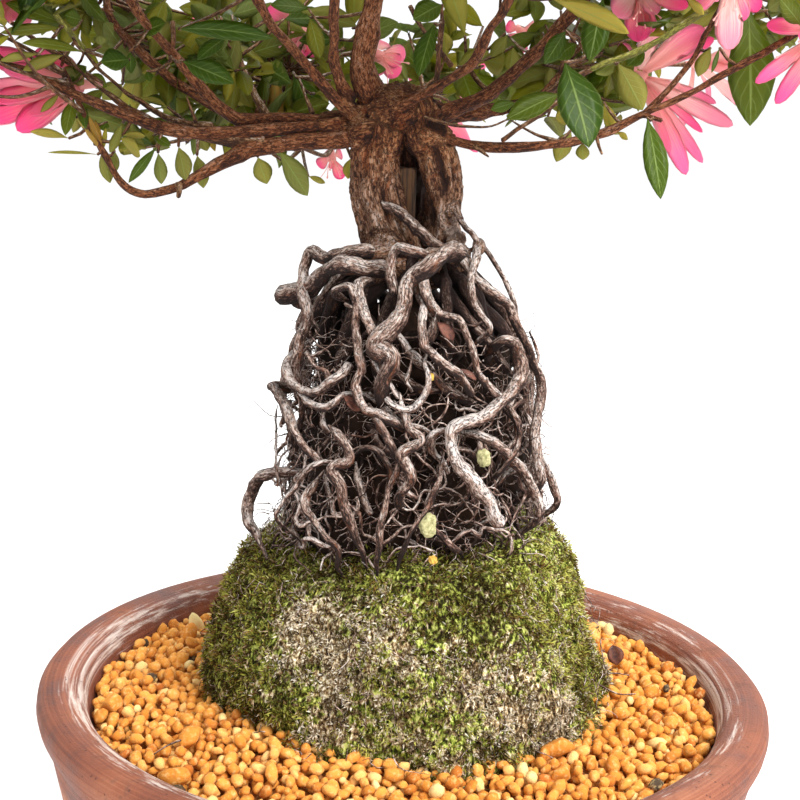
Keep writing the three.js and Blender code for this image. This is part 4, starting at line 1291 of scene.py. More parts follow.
@dataclass(frozen=True)
class MossMound:
    """The steep mound of old soil, with moss all over it: living green, and dry and pale in front.

    Attributes:
        outline: radius and height of its section.
        foot: the height of its lowest edge.
        top: the height of its top, before it leans.
        lean: how much its shoulder rises towards +X.
        gully: turn, width and depth of the hollow that runs down its front to the grit.
        gully_top: between which heights the gully begins.
        hollows: turn, width, height, spread and depth of each hollow, or swelling where its depth is below 0.
        columns: points round it.
        tufts: how many tufts grow on it.
        blades: blades in a tuft.
    """

    outline: tuple[tuple[float, float], ...] = (
        (65, 71), (67, 76), (67.3, 82), (66.3, 92), (63, 104), (58.8, 115), (54, 125), (48.5, 133), (37, 139),
        (20, 141), (3, 141),
    )  # fmt: skip
    foot: float = 71
    top: float = 139
    lean: float = 0.13
    gully: tuple[float, float, float] = (math.radians(223), 0.42, 8.5)
    gully_top: tuple[float, float] = (84, 100)
    hollows: tuple[tuple[float, ...], ...] = ((0.12, 0.5, 97, 15, 6), (-0.42, 0.32, 80, 9, -4))
    columns: int = 170
    tufts: int = 15800
    blades: int = 6

    def skin(self) -> Array:
        """The mound's surface as rows of points, each row a closed ring.

        Returns:
            The points, by row and column.
        """
        route = np.array([(radius, 0, height) for radius, height in self.outline], float)
        section = smooth_line(route, 2.6)
        turn = np.arange(self.columns) / self.columns * FULL_TURN
        level = section[:, 2][:, None] + 0 * turn
        share = np.clip((level - self.foot) / (self.top - self.foot), 0, 1.05)
        folds = 0.028 * np.sin(5 * turn + 1.1) + 0.024 * np.sin(9 * turn + 5 * share)
        radius = section[:, 0][:, None] * (1 + folds * (1.4 - share))
        way, width, depth = self.gully
        low, high = self.gully_top
        radius = radius - depth * np.exp(-((self.off(turn, way) / width) ** 2)) * swell(-level, -high, -low)
        for way, width, height, spread, depth in self.hollows:
            near = (self.off(turn, way) / width) ** 2 + ((level - height) / spread) ** 2
            radius = radius - depth * np.exp(-near)
        x, y = radius * np.cos(turn) - 1.5 - 1.8 * swell(share, 0.3, 0.7), radius * np.sin(turn)
        z = level + share * (self.lean * x + 1.6 * np.sin(4 * turn + 2))
        points = np.stack([x, y, z], -1)
        depth = 1.7 * cloud(points, 17, 21, 2) + 1.2 * cloud(points, 7.5, 31, 2)
        return points + self.normals(points) * (depth * swell(share, 0.02, 0.12))[..., None]

    @staticmethod
    def off(turn: Array, way: float) -> Array:
        """How far turns are from one way, at most half a turn to either side."""
        return (turn - way + math.pi) % FULL_TURN - math.pi

    @staticmethod
    def normals(points: Array) -> Array:
        """Which way a surface of closed rings faces, at each of its points."""
        round_it = np.roll(points, -1, axis=1) - np.roll(points, 1, axis=1)
        return unit(np.cross(round_it, np.gradient(points, axis=0)))

    def build(self) -> None:
        """Makes the soil and the moss."""
        points = self.skin()
        spots = np.vstack([points.reshape(-1, 3), [[0, 0, self.foot], [0, 0, self.top + 2]]])
        cream, lush, bright = self.growth(spots)
        work = Meshwork()
        work.add(spots, skin_faces(len(points), self.columns), cream=cream, lush=lush, bright=bright)
        settle(work.build("mound_soil", MossBedFinish().material()), Slot.MOSS, "moss_mound")
        rng = np.random.default_rng(5)
        roots, ways = self.scatter(points, rng)
        repeat = np.repeat(np.arange(len(roots)), self.blades)
        cream, lush, bright = self.growth(roots)
        draw = rng.random(len(repeat))
        tuft_draw = rng.random(len(roots))[repeat]
        draw = 0.45 * draw + 0.55 * tuft_draw
        is_dry = draw < 1.12 * cream[repeat]
        green = np.clip(0.52 + 0.42 * lush[repeat] + rng.normal(0, 0.09, len(repeat)), 0.46, 1)
        brown = rng.uniform(0.2, 0.46, len(repeat))
        is_brown = rng.random(len(repeat)) < 0.44 - 0.28 * lush[repeat]
        kind = np.where(is_dry, rng.beta(1.3, 2.6, len(repeat)) * 0.3, np.where(is_brown, brown, green))
        finish = MOSS.material()
        blades = self.blades_of(roots, ways, bright, lush, is_dry, rng)
        for name, chosen in (("moss_living", ~is_dry), ("moss_dry", is_dry)):
            work = Meshwork()
            self.plant(work, blades[0][chosen], blades[1][chosen], kind[chosen])
            settle(work.build(name, finish), Slot.MOSS)

    def scatter(self, points: Array, rng: np.random.Generator) -> tuple[Array, Array]:
        """Even random places on the mound.

        Args:
            points: its surface.
            rng: the source of chance.

        Returns:
            The places and which way the surface faces there.
        """
        normals = self.normals(points)
        after = np.roll(points, -1, axis=1)
        sides = np.linalg.norm(np.cross(after[:-1] - points[:-1], points[1:] - points[:-1]), axis=-1)
        middle = points[:-1]
        top = 1 - 0.75 * swell(middle[..., 2], 132, 140)
        front = 0.8 * swell(-middle[..., 1], -5, 30)
        sides = sides * np.where(middle[..., 2] > 75, 1, 0) * np.maximum(top, front)
        picked = rng.choice(sides.size, self.tufts, p=(sides / sides.sum()).ravel())
        row, column = np.divmod(picked, self.columns)
        u, v = rng.random((2, self.tufts, 1))
        corner = [points[row, column], after[row, column], points[row + 1, column], after[row + 1, column]]
        place = (corner[0] * (1 - u) + corner[1] * u) * (1 - v) + (corner[2] * (1 - u) + corner[3] * u) * v
        return place, normals[row, column]

    @staticmethod
    def growth(place: Array) -> tuple[Array, Array, Array]:
        """What grows where: by known patches in front, and by chance elsewhere.

        Args:
            place: the places.

        Returns:
            The share of bleached blades, how fresh the green is and how bright it is painted for the light on
            it, from 0 to 1.
        """
        usual = np.stack([0.22 + 0.3 * cloud(place, 16, 61, 2), 0.5 + 0.3 * cloud(place, 20, 63, 2)], -1)
        usual = np.concatenate([usual, 0.85 + 0 * usual[:, :1]], -1)
        total, weight = usual * 0.06, np.full((len(place), 1), 0.06)
        for middle, size, *values in MOSS_PATCHES:
            near = np.exp(-((np.linalg.norm(place - middle, axis=1) / size) ** 2))[:, None]
            total, weight = total + near * np.array(values), weight + near
        cream, lush, bright = (total / weight).T
        cream = np.clip(cream + 0.3 * cloud(place, 7, 71, 2) * (0.3 + cream), 0, 1)
        lush = np.clip(lush + 0.3 * cloud(place, 9, 73, 2), 0, 1)
        return cream, lush, bright

    def blades_of(
        self, roots: Array, ways: Array, bright: Array, lush: Array, is_dry: Array, rng: np.random.Generator
    ) -> tuple[Array, Array]:
        """Small kite-shaped blades, in tufts that stand up in clumps.

        Args:
            roots: where the tufts stand.
            ways: which way the surface faces there.
            bright: how bright the moss is painted there, for the light on it.
            lush: how fresh it is there.
            is_dry: for each blade, whether it is bleached.
            rng: the source of chance.

        Returns:
            Four points for each blade, and how much light reaches each of them.
        """
        clump = swell(cloud(roots, 3.4, 81, 2), -0.5, 0.55)
        lie = square_to(rng.normal(size=roots.shape) - UP * (0.2 + 0.9 * lush)[:, None], ways)
        rise = unit(ways * rng.uniform(0.35, 1.0, (len(roots), 1)) + lie * 0.8)
        size = rng.uniform(1.5, 2.7, len(roots)) * (0.75 + 0.45 * clump) * (1.15 - 0.25 * lush)
        repeat = np.repeat(np.arange(len(roots)), self.blades)
        count = len(repeat)
        base = roots[repeat] + ways[repeat] * (0.9 * clump)[repeat, None] + 0.3 * rng.normal(size=(count, 3))
        way = unit(rise[repeat] + np.where(is_dry, 0.8, 0.6)[:, None] * rng.normal(size=(count, 3)))
        length = size[repeat] * rng.uniform(0.6, 1.15, count) * np.where(is_dry, 0.85, 1)
        side = square_to(rng.normal(size=(count, 3)), way)
        half = (rng.uniform(0.17, 0.31, count) * np.where(is_dry, 1.12, 1))[:, None]
        bend = square_to(rng.normal(size=(count, 3)), way)
        bend = bend * (length * rng.uniform(0.05, 0.45, count))[:, None]
        middle = base + way * (0.5 * length)[:, None] + bend * 0.2
        tip = base + way * length[:, None] + bend
        points = np.stack([base, middle + side * half, middle - side * half, tip], 1)
        # Painted light and shade: each blade is dark at its foot and bright at its tip, darker between clumps
        # and where the moss is painted dim.
        top = rng.uniform(0.5, 1.15, count) * (bright * (0.42 + 0.75 * clump))[repeat]
        lights = np.stack([top * 0.05, top * 0.55, top * 0.55, top], 1)
        return points, lights

    @staticmethod
    def plant(work: Meshwork, points: Array, lights: Array, kind: Array) -> None:
        """Adds blades to a mesh.

        Args:
            work: what they are added to.
            points: four points for each.
            lights: how much light reaches each of them.
            kind: each blade's kind.
        """
        start = np.arange(len(points))[:, None] * 4
        hues = np.clip(kind, 0.01, 0.99)[:, None] + np.array([0, 0.006, -0.006, 0])
        chart = np.stack([hues, lights], -1)
        patches = ([0, 1, 2], [2, 1, 3])
        work.add(
            points.reshape(-1, 3),
            [np.concatenate([start + patch for patch in patches])],
            [np.concatenate([chart[:, patch] for patch in patches])],
            kind=hues.ravel(),
            light=lights.ravel(),
        )


def cobble() -> tuple[Array, Array]:
    """The points and quads of a cube with each side split in four, blown up to a ball of radius one.

    Returns:
        The points, and four point numbers for each face.
    """
    spots = [p for p in np.ndindex(3, 3, 3) if p != (1, 1, 1)]
    number = {p: k for k, p in enumerate(spots)}
    faces = []
    for axis in range(3):
        for level in (0, 2):
            for a, b in np.ndindex(2, 2):
                corners = [(a, b), (a + 1, b), (a + 1, b + 1), (a, b + 1)]
                corners = corners if level else corners[::-1]
                faces.append([number[tuple(np.insert(corner, axis, level))] for corner in corners])
    faces = [face if k // 8 != 1 else face[::-1] for k, face in enumerate(faces)]
    return unit(np.array(spots, float) - 1), np.array(faces)


# ---------- the wood ----------


@dataclass(frozen=True)
class Limb:
    """A root, stem or branch: the points that it passes through and the radii along it.

    Attributes:
        route: the points.
        radii: radii at even shares of the way.
        pad: the radius of the heart of the leaf pad at its end, where that isn't the usual one.
        tone: how much paler it is than usual.
    """

    route: tuple[Place, ...]
    radii: tuple[float, ...]
    pad: float | None = None
    tone: float = 0

    def line(self, step: float) -> Array:
        """Even samples of its middle line."""
        return smooth_line(np.array(self.route, float), step)


@dataclass(frozen=True)
class Lump:
    """A rounded mass of wood.

    Attributes:
        middle: where it is.
        sizes: half its size along X, Y and Z.
    """

    middle: Place
    sizes: Place


FRONT_ROOTS: tuple[Limb, ...] = (
    Limb(((-10, -10, 228), (-20, -18, 229), (-29, -10, 226), (-35, -2, 227), (-37, -5, 218),
          (-35, -13, 206), (-38, -15, 194), (-36, -14, 182)), (3.2, 2.3, 2.1)),
    Limb(((-8, -12, 224), (-17, -22, 224), (-25, -18, 225), (-31, -11, 220), (-38, -1, 214), (-43, 3, 212),
          (-39, 10, 211), (-30, 12, 206), (-20, 8, 194)), (3.8, 3.5, 3.8, 2.8)),
    Limb(((-22, -18, 214), (-26, -24, 217), (-20, -29, 219), (-19, -33, 210), (-18, -36, 202),
          (-16, -39, 197), (-18, -39, 191), (-16, -41, 186), (-9, -44, 183), (-3, -42, 179)),
          (1.7, 1.9, 1.8, 1.5)),
    Limb(((-12, -14, 222), (-19, -27, 219), (-17, -32, 214), (-14, -36, 207), (-11, -38, 202)),
          (2.6, 2.1, 1.8)),
    Limb(((12, -14, 229), (7, -26, 230), (2, -30, 227), (-4, -32, 222), (-5, -35, 214), (-9, -37, 208),
          (-13, -39, 203), (-8, -42, 200), (-10, -42, 194), (-9, -38, 186)), (3.4, 3.1, 2.8, 4.3, 2.4)),
    Limb(((6, -20, 229), (-2, -28, 231), (-7, -28, 232), (-9, -29, 226), (-8, -31, 218)), (2, 1.9, 1.8)),
    Limb(((12, -16, 229), (4.7, -18, 231.5), (0.6, -17, 235), (-3.2, -15, 238), (-7, -13, 241),
          (-11.5, -10, 243.5), (-14, -6, 246)), (2.3, 2, 1.8, 1.6)),
    Limb(((4, -16, 226), (1, -30, 222), (5, -35, 214), (12, -36, 211), (15, -37, 205), (19, -38, 196),
          (25, -36, 189)), (2.2, 2, 1.5, 1.3)),
    Limb(((0, -24, 220), (1, -35, 213), (1, -38, 207), (5, -40, 201), (12, -41, 197), (16, -38, 190)),
          (2.1, 1.9, 1.6)),
    Limb(((8, -12, 230), (14, -22, 226), (19, -25, 221), (26, -25, 216), (31, -24, 208), (35, -21, 199),
          (39, -20, 191), (38, -22, 180), (38, -26, 168), (40, -27, 156), (41, -26, 146)),
          (2.4, 1.9, 1.7, 2, 1.8)),
    Limb(((10, -6, 244), (13, -12, 238), (19, -16, 231), (25, -18, 223), (29, -20, 214), (30, -18, 206)),
          (1.2, 0.9, 0.8)),
    Limb(((18, -12, 232), (17, -22, 230), (15, -28, 223), (17, -31, 216), (21, -32, 210), (18, -30, 204)),
          (2, 1.6, 1.2)),
    Limb(((20, -22, 198), (26, -31, 206), (31, -29, 201), (31, -30, 194), (26, -36, 188), (20, -41, 184),
          (11, -46, 181), (12, -47, 174), (17, -47, 166), (23, -46, 159), (27, -44, 152)),
          (2, 2.4, 2.6, 2.6, 2.9), tone=0.9),
    Limb(((-34, -10, 200), (-41, -14, 193), (-37, -24, 188), (-31, -32, 188), (-24, -36, 193),
          (-20, -33, 197)), (1.9, 1.9, 1.7)),
    Limb(((-38, 6, 180), (-46, -4, 184), (-42, -16, 182), (-39, -25, 179), (-34, -34, 172),
          (-28, -38, 167)), (1.8, 1.9, 1.3)),
    Limb(((-36, -26, 186), (-31, -33, 184), (-26, -37, 184), (-21, -37, 188), (-14, -34, 187)),
          (1.5, 1.5, 1.3)),
    Limb(((-14, -38, 186), (-9, -46, 179), (-5, -48, 171), (-7, -49, 163), (-9, -51, 155), (-9, -52, 148),
          (-10.5, -52, 140), (-10.5, -47, 133)), (1.4, 1.3, 1.2, 1.1)),
    Limb(((-5, -40, 190), (-2, -46, 181), (1, -47, 177), (-4, -49, 173), (-1, -49, 167), (-4, -47, 160),
          (-3, -40, 154)), (1.5, 1.6, 2, 1.9, 1.4)),
    Limb(((-26, -34, 178), (-20, -43, 174), (-19, -44, 170), (-24, -44, 167), (-21, -46, 160),
          (-18, -46, 152), (-14, -45, 138), (-13, -43, 134)), (1.6, 1.7, 1.6, 1.2)),
    Limb(((-22, -42, 169), (-29, -40, 167), (-35, -37, 160), (-42, -38, 150), (-47, -36, 136)),
          (1.2, 0.9, 0.7)),
    Limb(((-27, -34, 164), (-32, -40, 155), (-28, -45, 149), (-22, -49, 144), (-23, -49, 138),
          (-22, -45, 133)), (1.5, 1.5, 1.3)),
    Limb(((-30, -12, 157), (-41, -16, 158), (-48, -12, 155), (-52.5, -7, 148), (-53, -9, 141),
          (-51, -15, 134), (-48.5, -18, 129)), (2, 2.4, 2.5, 2.3, 2)),
    Limb(((9, -40, 173), (7, -48, 164), (4, -50, 157), (0, -52, 151), (-3, -50, 140), (-4, -46, 134)),
          (1.3, 1.1, 0.9)),
    Limb(((13, -36, 178), (21, -42, 178), (28, -39, 172), (34, -35, 165), (38, -33, 157), (41, -33, 148),
          (42, -29, 139)), (1.6, 1.7, 1.8, 1.2)),
    Limb(((24, -30, 188), (31, -35, 182), (32, -36, 176), (28, -40, 170), (25, -36, 164)),
          (1.3, 1.2, 1.1)),
    Limb(((36, -16, 172), (42, -20, 163), (46, -19, 155), (50, -16, 147), (52, -15, 139)),
          (1.5, 1.7, 1.6, 1)),
    Limb(((4, -8, 226), (9, -18, 218), (15, -22, 210), (22, -26, 203), (27, -26, 195)), (2.4, 2.1, 1.9)),
    Limb(((-14, -35, 203), (-13, -39, 200), (-11, -41, 196), (-7, -42, 192.6), (-4.7, -41, 188.5)),
          (0.8, 0.9, 0.6), tone=0.9),
    Limb(((-1.6, -36.5, 201), (-2, -38.5, 196.7), (-2.7, -39, 192.7), (-1.6, -38, 189.6)), (0.7, 0.8, 0.6),
          tone=0.6),
    Limb(((2.9, -35, 202.6), (2.3, -39, 199), (3.3, -41.5, 194.7), (2.5, -42, 190.4), (-0.3, -43, 186.5),
          (-4.3, -43, 186), (-8, -42, 187.3), (-9.3, -39, 188.4)), (0.9, 1.1, 1.3, 1.4), tone=0.35),
    Limb(((-17.6, -37, 170), (-14, -41.5, 173), (-10, -43, 172), (-7.2, -43.5, 168.4), (-7.2, -42, 163),
          (-7.8, -40, 158.8)), (1.2, 1.1, 0.9), tone=0.3),
    Limb(((10, -45, 180.8), (6.8, -43.5, 179.4), (4.9, -43, 176.8), (5.4, -42, 173.5), (7.6, -41, 169.8),
          (9.9, -38, 165.6)), (1.9, 1.5, 0.9), tone=0.4),
    Limb(((23.8, -30, 187), (27.9, -30, 183.5), (31, -28.5, 179.8), (30.8, -29, 175), (28, -30, 171.3)),
          (1.3, 1.4, 1.1)),
    Limb(((26.3, -34, 161.5), (28.2, -34.5, 164.6), (32.2, -31, 165.3), (36, -27, 161.5),
          (38.8, -23, 155)), (1.1, 1.6, 1.5, 1.2), tone=0.6),
    Limb(((1.3, -35, 199.7), (5.6, -37.5, 194.8), (9.9, -36, 190.5), (14.2, -33.5, 187.7),
          (18.8, -29, 183)), (1.7, 1.9, 1.4)),
    Limb(((-14.7, -36.5, 188), (-10.5, -39, 186), (-6.2, -40.5, 181.7), (-1.4, -40, 180.4),
          (3.9, -40, 177.8)), (1.5, 1.4, 1)),
    Limb(((-0.7, -27, 216.5), (2, -30, 215), (4.6, -32, 211.8), (4, -34, 207.3), (1.2, -33, 203.5)),
          (1.6, 1.8, 1.4)),
    Limb(((-7.3, -32, 208.6), (-4.3, -33, 203.3), (-0.7, -34, 199.5), (2.8, -33.5, 196.7),
          (6.5, -33, 190.4)), (1.4, 1.7, 1.4)),
    Limb(((-8.2, -34, 196.3), (-3.9, -35, 193), (0.3, -36, 190.8), (5, -35, 190), (10.7, -32.5, 190.5)),
          (1.4, 1.7, 1.5)),
    Limb(((-44.4, -3, 177), (-43.4, -14, 173), (-43, -19.5, 167.5), (-42.5, -23, 161),
          (-42.3, -21, 154.5)), (0.5, 0.6, 0.5)),
    Limb(((-43.5, -3, 176.5), (-40, -17, 174.4), (-38.5, -19, 170.5), (-37, -18.5, 166.8)),
          (0.9, 0.8, 0.7)),
    Limb(((-17.5, -36, 167.5), (-16.6, -37.5, 162), (-15, -38, 157), (-12.8, -39, 152)), (1.3, 1.5, 1.2)),
    Limb(((13.6, -40, 167.6), (16.2, -41, 162.3), (16, -42, 156), (14.2, -43.5, 151), (12.3, -46, 145)),
          (0.8, 0.9, 0.7)),
    Limb(((26.5, -35, 156), (28, -36, 152), (25.6, -40, 147.3), (23.5, -43, 143)), (1.1, 1.2, 1)),
    Limb(((-26, -29, 182.6), (-28, -30, 180.7), (-27.4, -32, 177.6), (-25.7, -31, 175.3)), (1, 1.1, 0.9),
          tone=0.4),
    Limb(((-35, -30.5, 153.7), (-37, -32.5, 149), (-38, -34.5, 143), (-38, -37, 139.4)), (0.8, 0.9, 0.6),
          tone=0.6),
    Limb(((-29, -31, 166.5), (-32.4, -31, 164), (-36, -29.5, 159.3), (-32.2, -31, 157.6)), (0.9, 0.8, 0.5),
          tone=0.8),
)  # fmt: skip

STEMS: tuple[Limb, ...] = (
    Limb(((-6, -2, 221), (-9.3, -3, 230), (-12.6, -4, 239), (-15, -4, 248), (-15.8, -3, 258),
          (-13, -1, 271)), (9.2, 8.6, 7.7, 6.9, 6.9, 8)),
    Limb(((9.5, -2, 223), (7.6, -3, 233), (6.6, -4, 241), (6.3, -4, 248), (4.6, -3, 255), (2.2, -2, 262),
          (-2, 0, 271)), (6.5, 5.1, 4.5, 5.2, 5.8, 4.8, 5.5)),
    Limb(((-3, 9, 222), (-4, 9, 245), (-5, 7, 270)), (8, 6.5, 8)),
)  # fmt: skip

BRANCHES: tuple[Limb, ...] = (
    Limb(((-15, -3, 264), (-25.5, -3, 262.6), (-32.1, -4, 261.7), (-37.5, -5, 261.4), (-48.5, -6, 259.9),
          (-53.8, -8, 258.5), (-59.2, -9, 256.1), (-64.5, -10, 253), (-69.8, -11, 249.8),
          (-75.1, -12, 246.7), (-80.9, -13, 244.6), (-85.3, -14, 243.9), (-91.1, -16, 245.9),
          (-94.2, -17, 250.4), (-96.1, -18, 254.5), (-98.8, -19, 259.8), (-108, -22, 280)),
          (4, 4, 4.2, 2.7, 1.8, 1.4, 0.8)),
    Limb(((-25.3, 0, 267.1), (-39.3, -1, 267.5), (-51.7, -2, 267.1), (-58.8, -3, 267.4),
          (-68.2, -7, 275.2), (-75.9, -11, 284.6), (-82.4, -14, 291.6), (-86.9, -17, 297.6),
          (-100, -26, 322)), (4.6, 3.7, 3, 2.5, 2.2, 1.8)),
    Limb(((-27, -3, 267), (-40, -4, 265.4), (-57.3, -7, 263.6), (-67.8, -9, 262.9), (-75.3, -12, 263.3),
          (-85, -16, 265.6), (-93.2, -20, 268.6), (-105.9, -24, 273.6), (-116.6, -27, 278.6),
          (-124.7, -29, 281.9), (-140, -30, 306)), (3.4, 3.2, 2.8, 2.1, 1.5, 1.1)),
    Limb(((-56.9, -3, 266.3), (-62.7, -2, 269.4), (-70.8, 0, 273.4), (-78.2, 3, 277.5), (-84.3, 6, 281.6),
          (-90.3, 9, 286.1), (-96.8, 13, 291.9), (-102.4, 17, 298.7), (-106, 28, 318)),
          (2.6, 2.4, 2.2, 1.9, 1.6)),
    Limb(((-23.1, -4, 270.9), (-28.5, -8, 275.2), (-33.3, -12, 280.6), (-38.3, -16, 285.9),
          (-42.6, -22, 290.9), (-47.1, -28, 296.1), (-60, -58, 328)), (3, 2.4, 2.1, 1.7)),
    Limb(((-23.2, -4, 274.5), (-26.5, -8, 279.2), (-28.3, -12, 284.3), (-28.3, -20, 291.5),
          (-28, -30, 298), (-22, -68, 336)), (2.6, 2.2, 1.9, 1.5)),
    Limb(((-14, 0, 268), (-20, 0, 284), (-18, 2, 302), (-12, 4, 332), (-6, 4, 366), (-4, 2, 400),
          (-4, 0, 436)), (7.5, 5.2, 4.2, 3.2, 1.6)),
    Limb(((-13.2, -4, 271.3), (-8.3, -6, 273.3), (-2.2, -9, 276.2), (3.1, -12, 279.6), (8.8, -16, 282.9),
          (13.3, -20, 287), (15.2, -25, 291.2), (16.7, -30, 295.5), (19.3, -36, 299.4), (36, -64, 334)),
          (2.8, 2.4, 2, 1.7, 1.5)),
    Limb(((1.2, 0, 270), (10.1, 0, 273.4), (16.5, -1, 276.6), (23, -2, 281.1), (28.8, -3, 286.7),
          (34.8, -5, 292.8), (39.5, -6, 298.6), (43.8, -8, 304.2), (72, -12, 338)),
          (4.6, 3.6, 3.2, 2.8, 2.4, 1.8)),
    Limb(((-0.2, -3, 265.7), (9.1, -6, 263.3), (16.8, -8, 262.1), (25.1, -9, 262.1), (36.5, -11, 263.2),
          (46.7, -12, 265.1), (52.9, -13, 267.2), (59.2, -14, 270.1), (66.6, -15, 274.2),
          (77.8, -17, 279.9), (91.7, -20, 288.5), (99.9, -22, 293.6), (107.7, -24, 298.9),
          (132, -28, 320)), (3, 2.4, 2, 1.8, 1.6, 1.5, 1.3, 1.1)),
    Limb(((66, -15, 273.9), (70.1, -14, 278.2), (74.9, -12, 284), (80.3, -8, 290.6), (82.7, -5, 294.6),
          (84.8, -2, 298.7), (88, 2, 303.8), (98, 14, 318)), (1.6, 1.4, 1.3, 1.1)),
    Limb(((-4, 6, 270), (14, 10, 272), (30, 20, 275), (46, 36, 278), (62, 52, 282), (74, 64, 290)),
          (5, 3.4, 2.2, 1.4)),
    Limb(((-16, 8, 268), (-36, 24, 268), (-52, 42, 270), (-62, 58, 275), (-70, 72, 285)), (3.6, 2.4, 1.4)),
    Limb(((-8, 10, 268), (-8, 32, 269), (-4, 60, 272), (0, 88, 282)), (3.4, 2.2, 1.3)),
    Limb(((-50, -1, 267), (-54, 12, 270), (-50, 24, 276), (-46, 34, 284)), (1.8, 1.4, 1.1)),
    Limb(((26, 16, 274), (36, 14, 278), (44, 12, 288)), (1.8, 1.4, 1.1)),
    Limb(((39, -4, 298), (44, -14, 295), (46, -24, 290)), (1.3, 1.1, 0.9), pad=7),
    Limb(((58, -13, 269), (65, -17, 273), (70, -20, 272)), (1.2, 1, 0.9), pad=6),
    Limb(((-66, -15, 264), (-72, -6, 262), (-75, 2, 260)), (1.2, 1, 0.9), pad=6),
    Limb(((-38, 26, 268), (-40, 22, 264), (-40, 18, 259)), (1.3, 1, 0.9), pad=7),
)  # fmt: skip

TRUNK_LUMPS = (
    Lump((-1, 4, 222), (11, 8, 7)),
    Lump((-8, 1, 271), (14, 10, 9)),
    Lump((-15.5, -2, 264), (9, 8, 9)),
    Lump((1, -2, 264), (7.5, 7, 6.5)),
    Lump((9.5, -6.5, 233.5), (3.9, 3.4, 3.2)),
)


def column_radius(height: Array) -> Array:
    """How far out the root column's roots lie at a height."""
    heights = (118, 128, 139, 150, 165, 180, 195, 208, 220, 230)
    return np.interp(height, heights, (54, 50, 47, 45, 42.5, 41, 40, 37, 29, 16))


def mound_radius(height: Array) -> Array:
    """How far out the moss lies at a height."""
    return np.interp(height, (84, 92, 104, 115, 125, 133, 140, 146), (67, 66.3, 63, 59, 54, 48, 41, 34))


def back_roots() -> tuple[Limb, ...]:
    """Roots round the sides and the back, which leave the trunk's flare and wander down into the mound.

    Returns:
        The roots, in the order in which the plain solids have them.
    """
    state = 23

    def between(low: float, high: float) -> float:
        """The next number of the same stream that the plain solids draw from.

        Args:
            low: the least it can be.
            high: the most it can be.

        Returns:
            The number.
        """
        nonlocal state
        state = (state + 0x6D2B79F5) & 0xFFFFFFFF
        mixed = ((state ^ (state >> 15)) * (1 | state)) & 0xFFFFFFFF
        mixed = ((mixed + ((mixed ^ (mixed >> 7)) * (61 | mixed) & 0xFFFFFFFF)) & 0xFFFFFFFF) ^ mixed
        return low + (high - low) * ((mixed ^ (mixed >> 14)) & 0xFFFFFFFF) / 4294967296

    count, made = 11, []
    heights, reaches = (226, 216, 201, 182, 160, 138, 122), (9, 24, 37, 41, 44, 50, 53)
    for k in range(count - 1):
        turn = -0.12 * math.pi + 1.24 * math.pi * (k + 0.5) / count
        route = []
        for step, (height, far) in enumerate(zip(heights, reaches)):
            turn += 0 if step < 2 else between(-0.2, 0.2)
            out = far + (between(-3, 3) if step > 1 else 0)
            middle = -5 * (1 if step < 2 else 0.4)
            x = middle + out * math.cos(turn)
            x *= (0.91 if x > 0 else 0.89 if height < 170 else 1.0) if step > 1 else 1
            route.append((x, out * math.sin(turn), height + between(-3, 3)))
        made.append(Limb(tuple(route), (3, between(2, 3), between(1.4, 2.2), 1.3)))
    return tuple(made)


